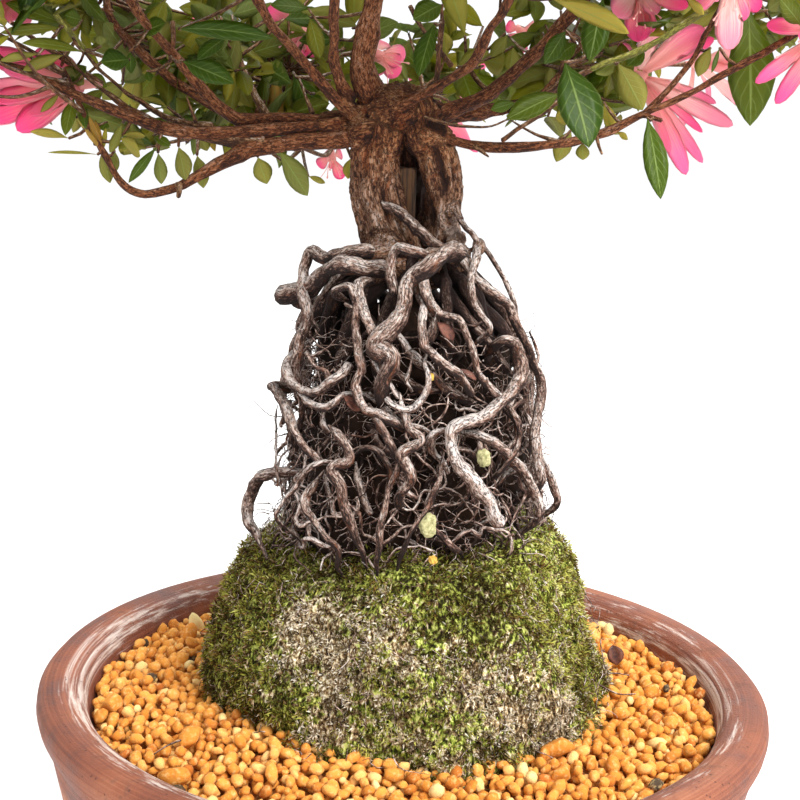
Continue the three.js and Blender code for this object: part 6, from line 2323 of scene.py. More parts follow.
# Each row is a root, a tip, half the width, the tone, 1 or -1 for the side that shows, and the arch.
PLACED_LEAVES = np.array([
    (-94, 52, 281.3, -101.6, 50, 271.4, 5.3, 0.5, -1, 0.2),
    (-94.5, 50, 293.2, -106.3, 52, 289.4, 4.6, 0.4, -1, 0.2),
    (-88.5, 46, 289, -95, 48, 283.7, 4.2, 0.35, 1, 0.2),
    (-96.1, 40, 297.6, -104.3, 42, 301.6, 4.2, 0.45, -1, 0.2),
    (-89.3, 40, 300.3, -96.9, 44, 304.5, 4.5, 0.4, 1, 0.2),
    (-104.8, 36, 287.9, -96.1, 40, 283.4, 3.1, 0.5, -1, 0.2),
    (-101, 30, 277.1, -108.7, 34, 271.9, 3.1, 0.55, -1, 0.2),
    (-109.2, 10, 278.8, -102.3, 12, 275.9, 2.6, 0.4, 1, 0.2),
    (-107.4, -8, 281.4, -110.9, -10, 275.9, 2.2, 0.3, 1, 0.2),
    (-109.5, -9, 276, -103.4, -12, 281.4, 2.5, 0.35, 1, 0.2),
    (-111.8, -9, 281.2, -104.2, -12, 276.1, 2.5, 0.45, -1, 0.2),
    (-71.4, -38, 292, -43.9, -44, 290.2, 2.6, 0.08, 1, 0.9),
    (-71.5, -30, 283.5, -55.3, -38, 277.6, 3.2, 0.1, 1, 0.3),
    (-59.3, -28, 290.5, -66.5, -34, 283.9, 2.4, 0.12, 1, 0.3),
    (-86.8, -30, 283.3, -94.3, -34, 282.1, 3.3, 0.1, 1, 0.2),
    (-99.4, -34, 284.8, -114.3, -44, 286.3, 1.9, 0.45, 1, 0.5),
    (-111.7, -36, 283.8, -120.4, -44, 281.3, 1.3, 0.62, -1, 0.2),
    (-105.9, -30, 284, -116.2, -36, 279.1, 1.8, 0.68, -1, 0.3),
    (-105.6, -34, 291.4, -120.8, -42, 288.9, 1.6, 0.5, 1, 0.4),
    (-106.6, -30, 292.8, -120.4, -38, 297.3, 2.7, 0.38, 1, 0.3),
    (-105.4, -20, 272.2, -106.7, -26, 260.9, 2.1, 0.4, 1, 0.1),
    (-103.6, -18, 271.2, -101.5, -22, 263, 1.4, 0.2, 1, 0.1),
    (-107.3, -19, 260, -117.1, -26, 261.7, 1.4, 0.82, -1, 0.3),
    (-98.7, -19, 255.5, -111.1, -30, 255.9, 0.5, 0.7, -1, 0.4),
    (-108.5, -24, 273.2, -112.9, -30, 267.4, 1, 0.62, -1, 0.1),
    (-97.6, -18, 256.7, -96, -14, 246.8, 2, 0.5, -1, 0.1),
    (-94.1, -16, 256.8, -96.2, -10, 248.8, 1.7, 0.55, -1, 0.1),
    (-92.3, -18, 260.7, -84.9, -24, 255.7, 2.7, 0.8, -1, 0.2),
    (-91.4, -18, 261.5, -83.7, -22, 261.5, 1.1, 0.85, -1, 0.3),
    (-91.4, -17, 265.2, -94.4, -22, 256.2, 1.4, 0.5, -1, 0.1),
    (-82, -13, 258.2, -89.6, -18, 247.3, 1.5, 0.3, 1, 0.2),
    (-81.7, -12, 256.5, -80.3, -14, 247.1, 2, 0.42, -1, 0.1),
    (-75.6, -11, 258.6, -72.9, -14, 248.6, 2.8, 0.56, -1, 0.1),
    (-70.2, -9, 256.1, -68.3, -8, 246, 2.5, 0.5, -1, 0.1),
    (-83.2, -12, 261.5, -77.1, -16, 258.8, 1.4, 0.35, 1, 0.2),
    (-69.2, -8, 261, -67.5, -6, 257.4, 1.7, 0.6, -1, 0.1),
    (-51.8, -6, 256.1, -49, -4, 247.8, 2.8, 0.62, -1, 0.1),
    (-45.4, -5, 258.5, -35.6, -12, 245.1, 3.4, 0.4, -1, 0.15),
    (-37, 8, 250.2, -31.3, 6, 248.3, 1, 0.78, -1, 0.2), (-24, 22, 256.1, -24.9, 24, 249, 2, 0.82, -1, 0.1),
    (-96.4, -16, 265.1, -97.5, -18, 262.8, 1.5, 0.3, 1, 0.1),
    (-80.3, -2, 266.4, -82.2, 0, 263.9, 2.2, 0.4, 1, 0.1),
    (-28.9, 24, 288.2, -36.6, 26, 290.8, 4, 0.55, -1, 0.1),
    (-36.6, 26, 290.8, -29.4, 30, 280.6, 4.4, 0.66, -1, 0.1),
    (-42.8, 30, 273.9, -41.6, 32, 268.5, 4.4, 0.6, -1, 0.1),
    (-49, 34, 290.7, -45.8, 36, 270.9, 11.7, 0.5, -1, 0.1),
    (-61, 36, 278.7, -56.8, 38, 269.6, 6.9, 0.62, -1, 0.1),
    (-65.7, 32, 278.4, -62.3, 34, 268.6, 5.5, 0.55, -1, 0.1),
    (-57.1, 30, 291.9, -47.1, 32, 288.7, 5.5, 0.42, -1, 0.1),
    (-68.6, 28, 284.8, -67, 30, 272.5, 4.8, 0.5, -1, 0.1),
    (-82.5, 26, 273.6, -82, 28, 267.8, 5.4, 0.62, -1, 0.1),
    (-36.8, -10, 300.8, -47.9, -14, 301.2, 2.5, 0.3, 1, 0.3),
    (-87.9, -24, 286, -87.1, -26, 279.4, 1.5, 0.15, 1, 0.1),
    (-83.7, -20, 280.4, -82.2, -22, 277.5, 1.2, 0.2, 1, 0.1),
    (-86, -14, 291.7, -78.4, -18, 294.7, 2.8, 0.2, 1, 0.2),
    (-101.6, -26, 294.1, -105.8, -30, 295.1, 2.4, 0.35, 1, 0.2),
    (-96.9, -22, 287.2, -96.8, -24, 290, 2.1, 0.4, -1, 0.1),
    (38, -40, 287, 45.1, -50, 263.6, 6, 0.08, 1, 0.35),
    (39.1, -22, 278.5, 23.3, -28, 270.5, 3.5, 0.32, 1, 0.3),
    (26.4, -16, 275.5, 19, -18, 273, 1.8, 0.28, 1, 0.2),
    (3.1, -20, 302.8, -5.2, -26, 297.8, 3.3, 0.3, 1, 0.3),
    (1.1, -24, 297.1, -2.9, -30, 281.5, 3.1, 0.1, 1, 0.2),
    (49.1, -28, 305.5, 45.7, -34, 287.5, 3.7, 0.15, 1, 0.2),
    (33.9, -34, 304.5, 55.1, -44, 295.1, 2.9, 0.9, -1, 0.4),
    (55.6, -22, 287.9, 63.2, -26, 274.6, 3.9, 0.6, -1, 0.2),
    (65.3, -22, 272.5, 69.7, -30, 249.1, 3.3, 0.28, 1, 0.5),
    (94.7, -12, 306.6, 97.9, -14, 271.2, 6.8, 0.34, 1, 0.25),
    (85, -10, 293.9, 82.2, -8, 285.3, 2.3, 0.66, -1, 0.1), (44.9, -6, 268.1, 41, -4, 258, 2.7, 0.68, -1, 0.1),
    (48.4, -8, 264.4, 48.5, -10, 259.1, 2, 0.62, -1, 0.1),
    (40.1, -18, 296.9, 33.9, -22, 286.8, 2.7, 0.15, 1, 0.2),
    (26.9, 14, 293.2, 26.4, 16, 285.4, 2.8, 0.62, -1, 0.1),
    (24.8, 10, 296.5, 19.9, 12, 289.6, 2.1, 0.55, -1, 0.1),
    (56.5, -14, 289.3, 49.8, -18, 284.6, 2.2, 0.42, -1, 0.1),
    (54.1, -8, 276.8, 57, -10, 267.5, 2.2, 0.9, -1, 0.1),
    (46.9, 0, 272.8, 40.3, 0, 271.5, 2.9, 0.85, -1, 0.1),
    (58.1, -12, 268.1, 61.3, -14, 265.8, 1, 0.92, -1, 0.1),
    (72.7, -30, 306.6, 77.4, -34, 301.7, 1.3, 0.92, -1, 0.2),
    (106.1, -30, 300.2, 97.9, -36, 306.8, 2.7, 0.42, 1, 0.2),
    (85.5, -20, 293.5, 83.3, -22, 286.1, 0.7, 0.3, 1, 0.1),
    (101, -10, 305.5, 104.6, -10, 308.6, 2.5, 0.4, -1, 0.1),
    (44.2, -10, 293.7, 37.2, -14, 288.5, 2.8, 0.25, 1, 0.1),
    (65.1, -10, 293, 59.8, -12, 287.5, 2.5, 0.3, 1, 0.1),
    (-97.2, -18, 256.7, -100.6, -22, 266.8, 1, 0.97, 1, 0.1),
    (-97.6, -18, 257.1, -99.2, -20, 265.7, 0.9, 0.94, 1, 0.1),
    (-97.7, -18, 256.5, -101.4, -24, 263.1, 0.8, 0.97, -1, 0.2),
    (-97.2, -18, 256.7, -96.4, -18, 263.6, 0.7, 0.9, 1, 0.1),
])  # fmt: skip
# For each bloom its heart, and for each petal its tip, half the width and the tone.
PLACED_BLOOMS: dict[int, tuple[Place, tuple[tuple[float, ...], ...]]] = {
    1: ((-104.4, -6, 276.2), ((-123.2, -18, 261.6, 4, 0.12), (-134.2, -16, 264.4, 4, 0.05),
        (-132.1, -20, 269.7, 2.8, 0.35), (-131.9, -18, 275, 2.5, 0.75), (-133.6, -14, 284.4, 3.7, 0.1),
        (-119.5, -12, 285, 3.8, 0.15), (-119.5, -16, 266.5, 2.8, 0.6), (-126.6, -20, 279.6, 2.8, 0.5),
        (-113.5, -10, 283.8, 2.8, 0.25))),
    2: ((66.3, 6, 285.6), ((85.1, 2, 300.4, 4.2, 0.62), (89.3, -4, 277.7, 1.6, 0.5),
        (94.6, -6, 271.2, 2.6, 0.75), (81.3, -6, 255.6, 2.9, 0.35), (86.6, -4, 259.4, 1.9, 0.4),
        (86.2, -2, 268.7, 1.4, 0.1), (69.9, 4, 302.3, 3.2, 0.85), (88.7, 4, 297.6, 2.3, 0.12),
        (59.3, 4, 295, 2.3, 0.5), (76.1, -5, 262.1, 1.6, 0.6))),
    3: ((114.5, -24, 299.3), ((96.3, -30, 299.7, 2.5, 0.1), (93.5, -34, 283.4, 2.1, 0.2),
        (100.9, -30, 277.8, 2.4, 0.15), (103.5, -38, 296.7, 2.4, 0.3), (116, -34, 283.9, 2.4, 0.5),
        (107.3, -30, 310, 2.4, 0.6))),
    10: ((84.9, -28, 312.9), ((85, -34, 292.1, 3.7, 0.88), (89.5, -30, 300.5, 2.7, 0.4),
        (75, -30, 303.2, 2.4, 0.5), (95, -26, 304.2, 2.7, 0.12), (77, -36, 308.4, 2.4, 0.3))),
    15: ((62, -8, 309.4), ((62.1, -14, 294.6, 4, 0.08), (66.7, -10, 297.6, 2.5, 0.2),
        (54.7, -14, 302.1, 3.7, 0.8), (66.5, -16, 302.4, 2.8, 0.75), (76.9, -12, 305.6, 2.5, 0.05),
        (51.8, -10, 308.1, 2.5, 0.6))),
    16: ((32.2, 60, 301), ((27.1, 58, 302.4, 2.2, 0.1), (32.9, 58, 293.1, 2.2, 0.1),
        (40.2, 60, 302.1, 2.9, 0.5), (35.9, 60, 299.4, 2.5, 0.6), (29.7, 60, 297.4, 2.2, 0.2))),
    17: ((-16.8, 40, 290.5), ((-17, 38, 282.9, 3.1, 0.7), (-9.6, 38, 283.2, 3.1, 0.3),
        (-7.3, 40, 290.5, 3.1, 0.6), (-15.3, 40, 294.8, 3.1, 0.85), (-8.9, 38, 287.4, 2.8, 0.5),
        (-20.2, 40, 287, 2.4, 0.4))),
    18: ((-32.1, 52, 255.6), ((-28, 50, 247.7, 2.1, 0.05), (-36.9, 52, 251.9, 2.1, 0.2),
        (-31, 52, 251.2, 1.8, 0.2), (-33.9, 52, 257.3, 2.1, 0.4), (-28.6, 54, 256.6, 2.1, 0.5))),
    19: ((-122.4, -20, 300.9), ((-124.8, -28, 293.4, 2.7, 0.05), (-119.8, -30, 293.1, 3.6, 0.7),
        (-115.9, -28, 292.7, 3, 0.8), (-129.8, -26, 295.9, 2.7, 0.1), (-113.4, -20, 299.8, 2.7, 0.6))),
    20: ((-42.4, 46, 297.4), ((-43.8, 44, 288.4, 4.2, 0.1), (-37.3, 44, 289.1, 3.2, 0.15),
        (-46.7, 46, 294.7, 2.8, 0.3), (-33.6, 46, 291.8, 2.8, 0.2), (-54.6, 44, 304.4, 3.2, 0.2),
        (-41.7, 46, 302.5, 2.8, 0.5))),
}  # fmt: skip
# For each twig the points that it passes through and its radii.
TWIGS: tuple[tuple[tuple[Place, ...], tuple[float, float]], ...] = (
    (((47.7, -18, 285.8), (64.6, -22, 293.5), (79.4, -26, 303.7)), (0.9, 1.1)),
    (((-0.4, -8, 270.2), (4.2, -9, 268.9), (11.9, -10, 268), (19.5, -11, 268.3), (24.5, -12, 270.3)),
          (0.6, 0.25)),
    (((23.3, -12, 264.3), (31.4, -13, 270), (39.4, -14, 276.2)), (0.85, 0.65)),
    (((26.1, -1, 270.6), (29.3, -2, 268.6), (33.9, -4, 266.3), (40.1, -8, 264.5)), (0.3, 0.8)),
    (((14.9, -11, 261.8), (17, -12, 260.7), (19.6, -12, 259)), (1.1, 0.25)),
    (((-75.4, -13, 247.3), (-74.9, -14, 245.5), (-75, -15, 243.5)), (1.3, 0.7)),
    (((51.6, -14, 266.5), (52.5, -15, 263.6), (53.5, -16, 261.3)), (0.7, 0.35)),
    (((-107.3, -34, 294.8), (-104, -30, 290.2), (-101.4, -24, 285.8)), (0.9, 0.8)),
    (((-98.8, -18, 258.6), (-99.7, -19, 262.4), (-101.5, -19, 266.5)), (1.6, 0.5)),
    (((-104.6, -10, 285.7), (-99.4, -12, 280.5), (-91.1, -8, 273.5), (-82.2, -6, 268.1),
          (-78.5, -6, 266.7), (-72.8, -7, 265.4), (-65.8, -8, 264.8)), (0.4, 1.3)),
    (((-110.9, -14, 285.9), (-107.9, -14, 282.8), (-102.4, -12, 277.4), (-95.6, -10, 272.4),
          (-91.5, -9, 269.2), (-86, -9, 266.7), (-81.5, -10, 264.2)), (0.45, 1.2)),
    (((-73.6, -8, 273.8), (-72, -8, 269.1), (-70.8, -8, 266.1)), (0.2, 0.7)),
    (((-40.5, 6, 280.8), (-38, 4, 274.7), (-35.7, 0, 270.1)), (0.3, 0.95)),
    (((-60.8, 14, 286.5), (-55.7, 10, 276.6), (-49.6, 2, 268.4)), (1.3, 1.4)),
    (((3.4, -14, 298.8), (3.2, -12, 290.2), (2.5, -8, 279.6)), (0.8, 0.95)),
    (((-77.6, -12, 295.4), (-77.3, -12, 290.1), (-78.2, -12, 283.6)), (0.95, 0.8)),
    (((-6.3, -6, 303.1), (0.2, -2, 293.5), (7.4, 0, 286)), (0.6, 0.8)),
    (((12.3, 16, 287.4), (17, 14, 281.2), (22.4, 10, 277.6)), (0.7, 0.9)),
    (((-50, -6, 260), (-56.8, -6, 260.6), (-62.2, -7, 261.4), (-67.6, -8, 262.2), (-73, -10, 262.9)),
          (2.6, 1.7)),
    (((36.3, -14, 279), (40.1, -16, 281.8), (43.5, -17, 283.3), (48.4, -18.2, 286.2)), (1.2, 0.85)),
)  # fmt: skip
GREEN_TWIGS = (0, 7)
FRONT = np.array([0.0, -1.0, 0.0])
EYE_DISTANCE = 446.5  # how far in front of the trunk the tree is looked at from
EYE_HEIGHT = 271.0  # and from which height


@dataclass(frozen=True)
class LeafyGap:
    """A part of the crown's inside that leaves fill by chance.

    Attributes:
        low: its lowest corner.
        high: its highest corner.
        count: how many leaves there are.
    """

    low: Place
    high: Place
    count: int

    def rows(self, rng: np.random.Generator) -> Array:
        """Its leaves, as rows like those of PLACED_LEAVES.

        Args:
            rng: the source of chance.

        Returns:
            The rows.
        """
        roots = rng.uniform(self.low, self.high, (self.count, 3))
        way = unit(rng.normal(size=(self.count, 3)) * [1, 0.7, 0.8] + [0, 0, -0.1])
        length = rng.uniform(12, 21, self.count)
        halves = length * rng.uniform(0.17, 0.23, self.count)
        tones, side = rng.uniform(0.15, 0.8, self.count), np.where(rng.random(self.count) < 0.6, -1, 1)
        arch = rng.uniform(0.1, 0.6, self.count)
        return np.column_stack([roots, roots + way * length[:, None], halves, tones, side, arch])


LEAFY_GAPS = (
    LeafyGap((-112, 6, 280), (-60, 50, 304), 56),
    LeafyGap((-66, 14, 276), (-22, 52, 302), 26),
    LeafyGap((8, 14, 284), (66, 46, 306), 34),
)


def blades_between(rows: Array, fold: float, lift: float, seed: int) -> Blades:
    """Blades that run from given roots to given tips and show one side to the front.

    Args:
        rows: for each, its root, its tip, its half width, its tone, 1 for its upper side or -1 for its
            underside, and how far it arches, in radians.
        fold: how far its edges stand up, as a share of the half width.
        lift: how far its upper side turns to the sky.
        seed: picks the small chances.

    Returns:
        The blades.
    """
    rng = np.random.default_rng(seed)
    roots, tips, (halves, tones, side, arch) = rows[:, :3], rows[:, 3:6], rows[:, 6:].T
    chord = unit(tips - roots)
    count = len(rows)
    toward = square_to(FRONT * side[:, None] + UP * lift + 0.16 * rng.normal(size=(count, 3)), chord)
    half_turn = np.maximum(arch, 1e-3)[:, None] / 2
    lengths = np.linalg.norm(tips - roots, axis=1) * (half_turn / np.sin(half_turn))[:, 0]
    return Blades(
        roots=roots,
        ways=chord * np.cos(half_turn) + toward * np.sin(half_turn),
        faces=toward,
        lengths=lengths,
        halves=halves * 1.08,
        arch=np.maximum(arch, 1e-3),
        fold=fold * rng.uniform(0.5, 1.2, count),
        twist=rng.normal(0, 0.12, count),
        ripple=rng.uniform(0.02, 0.12, count),
        tones=np.clip(tones, 0.01, 0.99),
    )


def is_open_place(spots: Array) -> Array:
    """Whether grown leaves may be at places: above the crown's underside, behind the listed leaves.

    Args:
        spots: the places.

    Returns:
        True or False for each.
    """
    depth = EYE_DISTANCE / (EYE_DISTANCE + spots[:, 1])
    level, x = EYE_HEIGHT + (spots[:, 2] - EYE_HEIGHT) * depth, spots[:, 0] * depth
    under = np.interp(x, (-135, -112, -60, -20, 20, 62, 78, 128), (268, 255, 255, 262, 268, 270, 292, 296))
    in_front = (spots[:, 1] < -7) & (level < 305) & (np.abs(x) < 128)
    return (level > under) & ~in_front


@dataclass(frozen=True)
class LeafPad:
    """The leafy twigs at the end of one branch.

    Attributes:
        number: counts the pads from 1.
        limb: the branch.
    """

    number: int
    limb: Limb

    @property
    def middle(self) -> Array:
        """The end of the branch."""
        return np.array(self.limb.route[-1], float)

    @property
    def radius(self) -> float:
        """How far the pad's heart reaches sideways."""
        usual = UPPER_PAD_RADIUS if self.middle[2] > UPPER_PADS_ABOVE else LOWER_PAD_RADIUS
        return self.limb.pad or usual

    def twig_ways(self, rng: np.random.Generator) -> Array:
        """Which ways the twigs grow: all round, but for those that would point back into the crown.

        Args:
            rng: the source of chance.

        Returns:
            One direction for each twig.
        """
        wanted = 6 if self.limb.pad else (15 if self.middle[2] > UPPER_PADS_ABOVE else 13)
        many = wanted * 2
        height = 1 - 2 * (np.arange(many) + 0.5) / many
        turn = np.arange(many) * GOLDEN_TURN + rng.uniform(0, FULL_TURN)
        flat = np.sqrt(1 - height**2)
        ways = np.stack([flat * np.cos(turn), flat * np.sin(turn), height], -1)
        outward = unit(self.middle - CROWN_HEART)
        liking = ways @ outward + 0.25 * ways[:, 2] + 0.25 * rng.normal(size=many)
        if self.middle[2] > UPPER_PADS_ABOVE:
            liking -= 0.8 * (ways[:, 2] < -0.3)
        return unit(ways[np.argsort(-liking)[:wanted]] + 0.15 * rng.normal(size=(wanted, 3)))

    def build(self, twigs: Meshwork, finish: bpy.types.Material, placed: Array) -> None:
        """Makes the pad's leaves, and adds its twigs to those of the whole crown.

        Args:
            twigs: what the twigs are added to.
            finish: the leaves' material.
            placed: rows of the listed leaves that belong to this pad.
        """
        rng = np.random.default_rng(500 + self.number)
        branch = self.limb.line(1.5)
        batches = []
        for way in self.twig_ways(rng):
            reach = 1 / np.linalg.norm(way / np.array([1, 1, PAD_FLATNESS]))
            length = self.radius * reach * rng.uniform(0.75, 1.25) + 8
            root = branch[-1 - int(rng.integers(0, min(10, len(branch) // 3)))]
            end = self.middle + way * length
            knee = (root + end) / 2 + rng.normal(size=3) * 1.6 - UP * 1.2
            line = smooth_line(np.array([root, knee, end]), 3.0)
            leaves = self.leaves_on(line, rng)
            if not is_open_place(line[-1:])[0]:
                continue
            sweep(twigs, line, along((0.85, 0.6, 0.4), len(line)), 4, None, 700 + 20 * self.number,
                  tone=rng.uniform(0.3, 0.9), deep=0.0)  # fmt: skip
            tips = leaves[0] + unit(leaves[1]) * leaves[3][:, None]
            clear = is_open_place(tips) & is_open_place(leaves[0])
            batches.append(tuple(field[clear] for field in leaves))
        work = Meshwork()
        if sum(len(batch[0]) for batch in batches):
            Blades(*(np.concatenate(parts) for parts in zip(*batches))).grow(work, LEAF_FORM)
        if len(placed):
            blades_between(placed, 0.3, 0.35, self.number).grow(work, LARGE_LEAF_FORM)
        settle(work.build(f"leaves_{self.number:02d}", finish), Slot.LEAF, f"leafy_spray_{self.number:02d}")

    @staticmethod
    def leaves_on(line: Array, rng: np.random.Generator) -> tuple[Array, ...]:
        """The leaves of one twig: a whorl at its end, a few young ones in it, and some along the twig.

        Args:
            line: the twig.
            rng: the source of chance.

        Returns:
            The fields of Blades, in order.
        """
        whorl, young, lower = int(rng.integers(4, 7)), int(rng.integers(1, 4)), int(rng.integers(2, 4))
        count = whorl + young + lower
        place = np.concatenate([np.full(whorl, 1.0), np.full(young, 1.0), rng.uniform(0.35, 0.9, lower)])
        place = place - np.concatenate([rng.uniform(0, 0.16, whorl), np.zeros(young + lower)])
        index = np.round(place * (len(line) - 1)).astype(int)
        tangents, firsts, seconds = frames_of(line)
        turn = np.arange(count) * GOLDEN_TURN + rng.uniform(0, FULL_TURN) + rng.normal(0, 0.25, count)
        leans = ((0.75, 1.5, whorl), (0.2, 0.7, young), (0.8, 1.5, lower))
        lean = np.concatenate([rng.uniform(*lean) for lean in leans])
        radial = firsts[index] * np.cos(turn)[:, None] + seconds[index] * np.sin(turn)[:, None]
        ways = radial * np.sin(lean)[:, None] + tangents[index] * np.cos(lean)[:, None]
        faces = tangents[index] * 0.6 + UP * 0.75 + 0.35 * rng.normal(size=(count, 3))
        scale = np.concatenate([np.ones(whorl), np.full(young, 0.6), np.full(lower, 0.9)])
        lengths = rng.uniform(13, 23, count) * scale
        halves = lengths * rng.uniform(0.16, 0.22, count)
        tones = np.clip(rng.normal(0.46, 0.19, count), 0.02, 0.8)
        tones[whorl : whorl + young] = rng.uniform(0.66, 0.92, young)
        tones = np.where(rng.random(count) < 0.014, 0.99, tones)
        arch, fold = rng.uniform(0.1, 0.75, count), rng.uniform(0.12, 0.45, count)
        twist, ripple = rng.normal(0, 0.3, count), rng.uniform(0, 0.12, count)
        return line[index], ways, faces, lengths, halves, arch, fold, twist, ripple, tones


@dataclass(frozen=True)
class Bloom:
    """A flower with narrow strap petals, on the outside of a leaf pad.

    Attributes:
        number: counts the blooms from 1.
        pad: the pad that bears it.
        toward: which way it opens.
    """

    number: int
    pad: LeafPad
    toward: Place

    def build(self, twigs: Meshwork, finish: bpy.types.Material) -> None:
        """Makes the bloom, and adds its stalk to the twigs.

        Args:
            twigs: what the stalk is added to.
            finish: the petals' material.
        """
        rng = np.random.default_rng(900 + self.number)
        way = unit(np.array(self.toward))
        sizes = self.pad.radius * np.array([1, 1, PAD_FLATNESS])
        foot = self.pad.middle + way * (1 / np.linalg.norm(way / sizes) + 5)
        heart = foot + way * 4.5
        count = int(rng.integers(8, 11))
        first = unit(np.cross(way, UP + 0.1))
        second = np.cross(way, first)
        turn = (np.arange(count) + rng.uniform(-0.25, 0.25, count)) / count * FULL_TURN * 2
        turn = turn + rng.uniform(0, 6)
        inner = np.arange(count) >= 6
        lean = np.where(inner, rng.uniform(0.35, 0.75, count), rng.uniform(0.75, 1.2, count))
        radial = first * np.cos(turn)[:, None] + second * np.sin(turn)[:, None]
        lengths = np.where(inner, rng.uniform(17, 24, count), rng.uniform(25, 31, count))
        petals = Blades(
            roots=heart + radial * 1.2,
            ways=radial * np.sin(lean)[:, None] + way * np.cos(lean)[:, None],
            faces=np.tile(way, (count, 1)) + 0.12 * rng.normal(size=(count, 3)),
            lengths=lengths,
            halves=np.where(inner, rng.uniform(2.0, 2.8, count), rng.uniform(2.9, 4.2, count)),
            arch=rng.uniform(0.25, 1.0, count),
            fold=rng.uniform(0.05, 0.35, count),
            twist=rng.normal(0, 0.4, count),
            ripple=rng.uniform(0.08, 0.28, count),
            tones=rng.uniform(0.05, 0.95, count),
        )
        self.assemble(twigs, finish, self.pad.middle, heart, way, petals, rng)

    def assemble(
        self, twigs: Meshwork, finish: bpy.types.Material, origin: Array, heart: Array, way: Array,
        petals: Blades, rng: np.random.Generator,
    ) -> None:  # fmt: skip
        """Joins a bloom's petals with its tube, its threads and its stalk.

        Args:
            twigs: what the stalk is added to.
            finish: the petals' material.
            origin: where the stalk starts.
            heart: the middle of the flower.
            way: which way it opens.
            petals: its petals.
            rng: the source of chance.
        """
        foot = heart - way * 4.5
        stalk = smooth_line(np.array([origin, (origin + foot) / 2 + rng.normal(size=3), foot]), 2)
        sweep(twigs, stalk, along((0.8, 0.7, 1.1), len(stalk)), 6, None, 60, tone=0.6, deep=0.0)
        work = Meshwork()
        tube = smooth_line(np.array([foot, foot + way * 4, foot + way * 7]), 1.4)
        sweep(work, tube, along((1.0, 1.3, 1.7), len(tube)), 12, None, tone=0.5)
        petals.grow(work, PETAL_FORM)
        self.stamens(work, heart, way, rng)
        nodes = (f"bloom_{self.number:02d}",) if self.number <= len(BLOOM_PLACES) else ()
        settle(work.build(f"flower_{self.number:02d}", finish), Slot.PETAL, *nodes)

    @staticmethod
    def stamens(work: Meshwork, heart: Array, way: Array, rng: np.random.Generator) -> None:
        """Adds five stamens and the style, each a fine curved thread with a swollen end.

        Args:
            work: what they are added to.
            heart: the middle of the flower.
            way: which way it opens.
            rng: the source of chance.
        """
        first = unit(np.cross(way, UP + 0.1))
        second = np.cross(way, first)
        for k in range(6):
            turn = FULL_TURN * k / 6 + rng.normal(0, 0.3)
            out = first * math.cos(turn) + second * math.sin(turn)
            length = 20 if k == 0 else rng.uniform(11, 16)
            ahead = unit(way + out * rng.uniform(0.15, 0.4))
            end = heart + ahead * length - UP * 0.5
            line = smooth_line(np.array([heart, heart + way * length * 0.5 + out * 1.5, end]), 1.6)
            radii = np.full(len(line), 0.15)
            radii[-1:] = 0.38
            sweep(work, line, radii, 4, None, tone=0.6)


@dataclass(frozen=True)
class PlacedBloom(Bloom):
    """A flower whose petals are listed one by one."""

    def build(self, twigs: Meshwork, finish: bpy.types.Material) -> None:
        """Makes the bloom, and adds its stalk to the twigs.

        Args:
            twigs: what the stalk is added to.
            finish: the petals' material.
        """
        rng = np.random.default_rng(900 + self.number)
        heart, petals = PLACED_BLOOMS[self.number]
        heart, petals = np.array(heart), np.array(petals)
        way = unit((petals[:, :3] - heart).mean(axis=0) + [0, -6, 0])
        roots = heart + unit(petals[:, :3] - heart) * 1.5
        count = len(petals)
        rows = np.column_stack([roots, petals, np.ones(count), rng.uniform(0.15, 0.5, count)])
        blades = blades_between(rows, 0.16, 0.15, 950 + self.number)
        blades.ripple = rng.uniform(0.04, 0.16, count)
        self.assemble(twigs, finish, self.pad.middle, heart, way, blades, rng)


# ---------- the crown, the studio and the whole ----------


# For each bloom the pad that bears it, counted from 0, and which way it opens.
BLOOM_PLACES: tuple[tuple[int, Place], ...] = (
    (2, (0.2, 0.75, -0.65)),
    (15, (0.85, -0.1, -0.45)),
    (9, (-0.2, -0.3, -0.9)),
    (9, (0.95, 0.25, 0.15)),
    (11, (0.85, 0.5, 0.1)),
    (12, (-0.6, 0.8, 0.1)),
    (13, (0.1, 0.99, -0.1)),
    (3, (-0.9, 0.4, 0.1)),
    (5, (0.3, -0.95, -0.15)),
    (8, (0.35, -0.35, -0.87)),
    (20, (0.85, 0.1, 0.5)),
    (22, (-0.5, 0.7, 0.5)),
    (24, (-0.3, -0.8, 0.5)),
    (6, (0.3, -0.4, 0.9)),
)


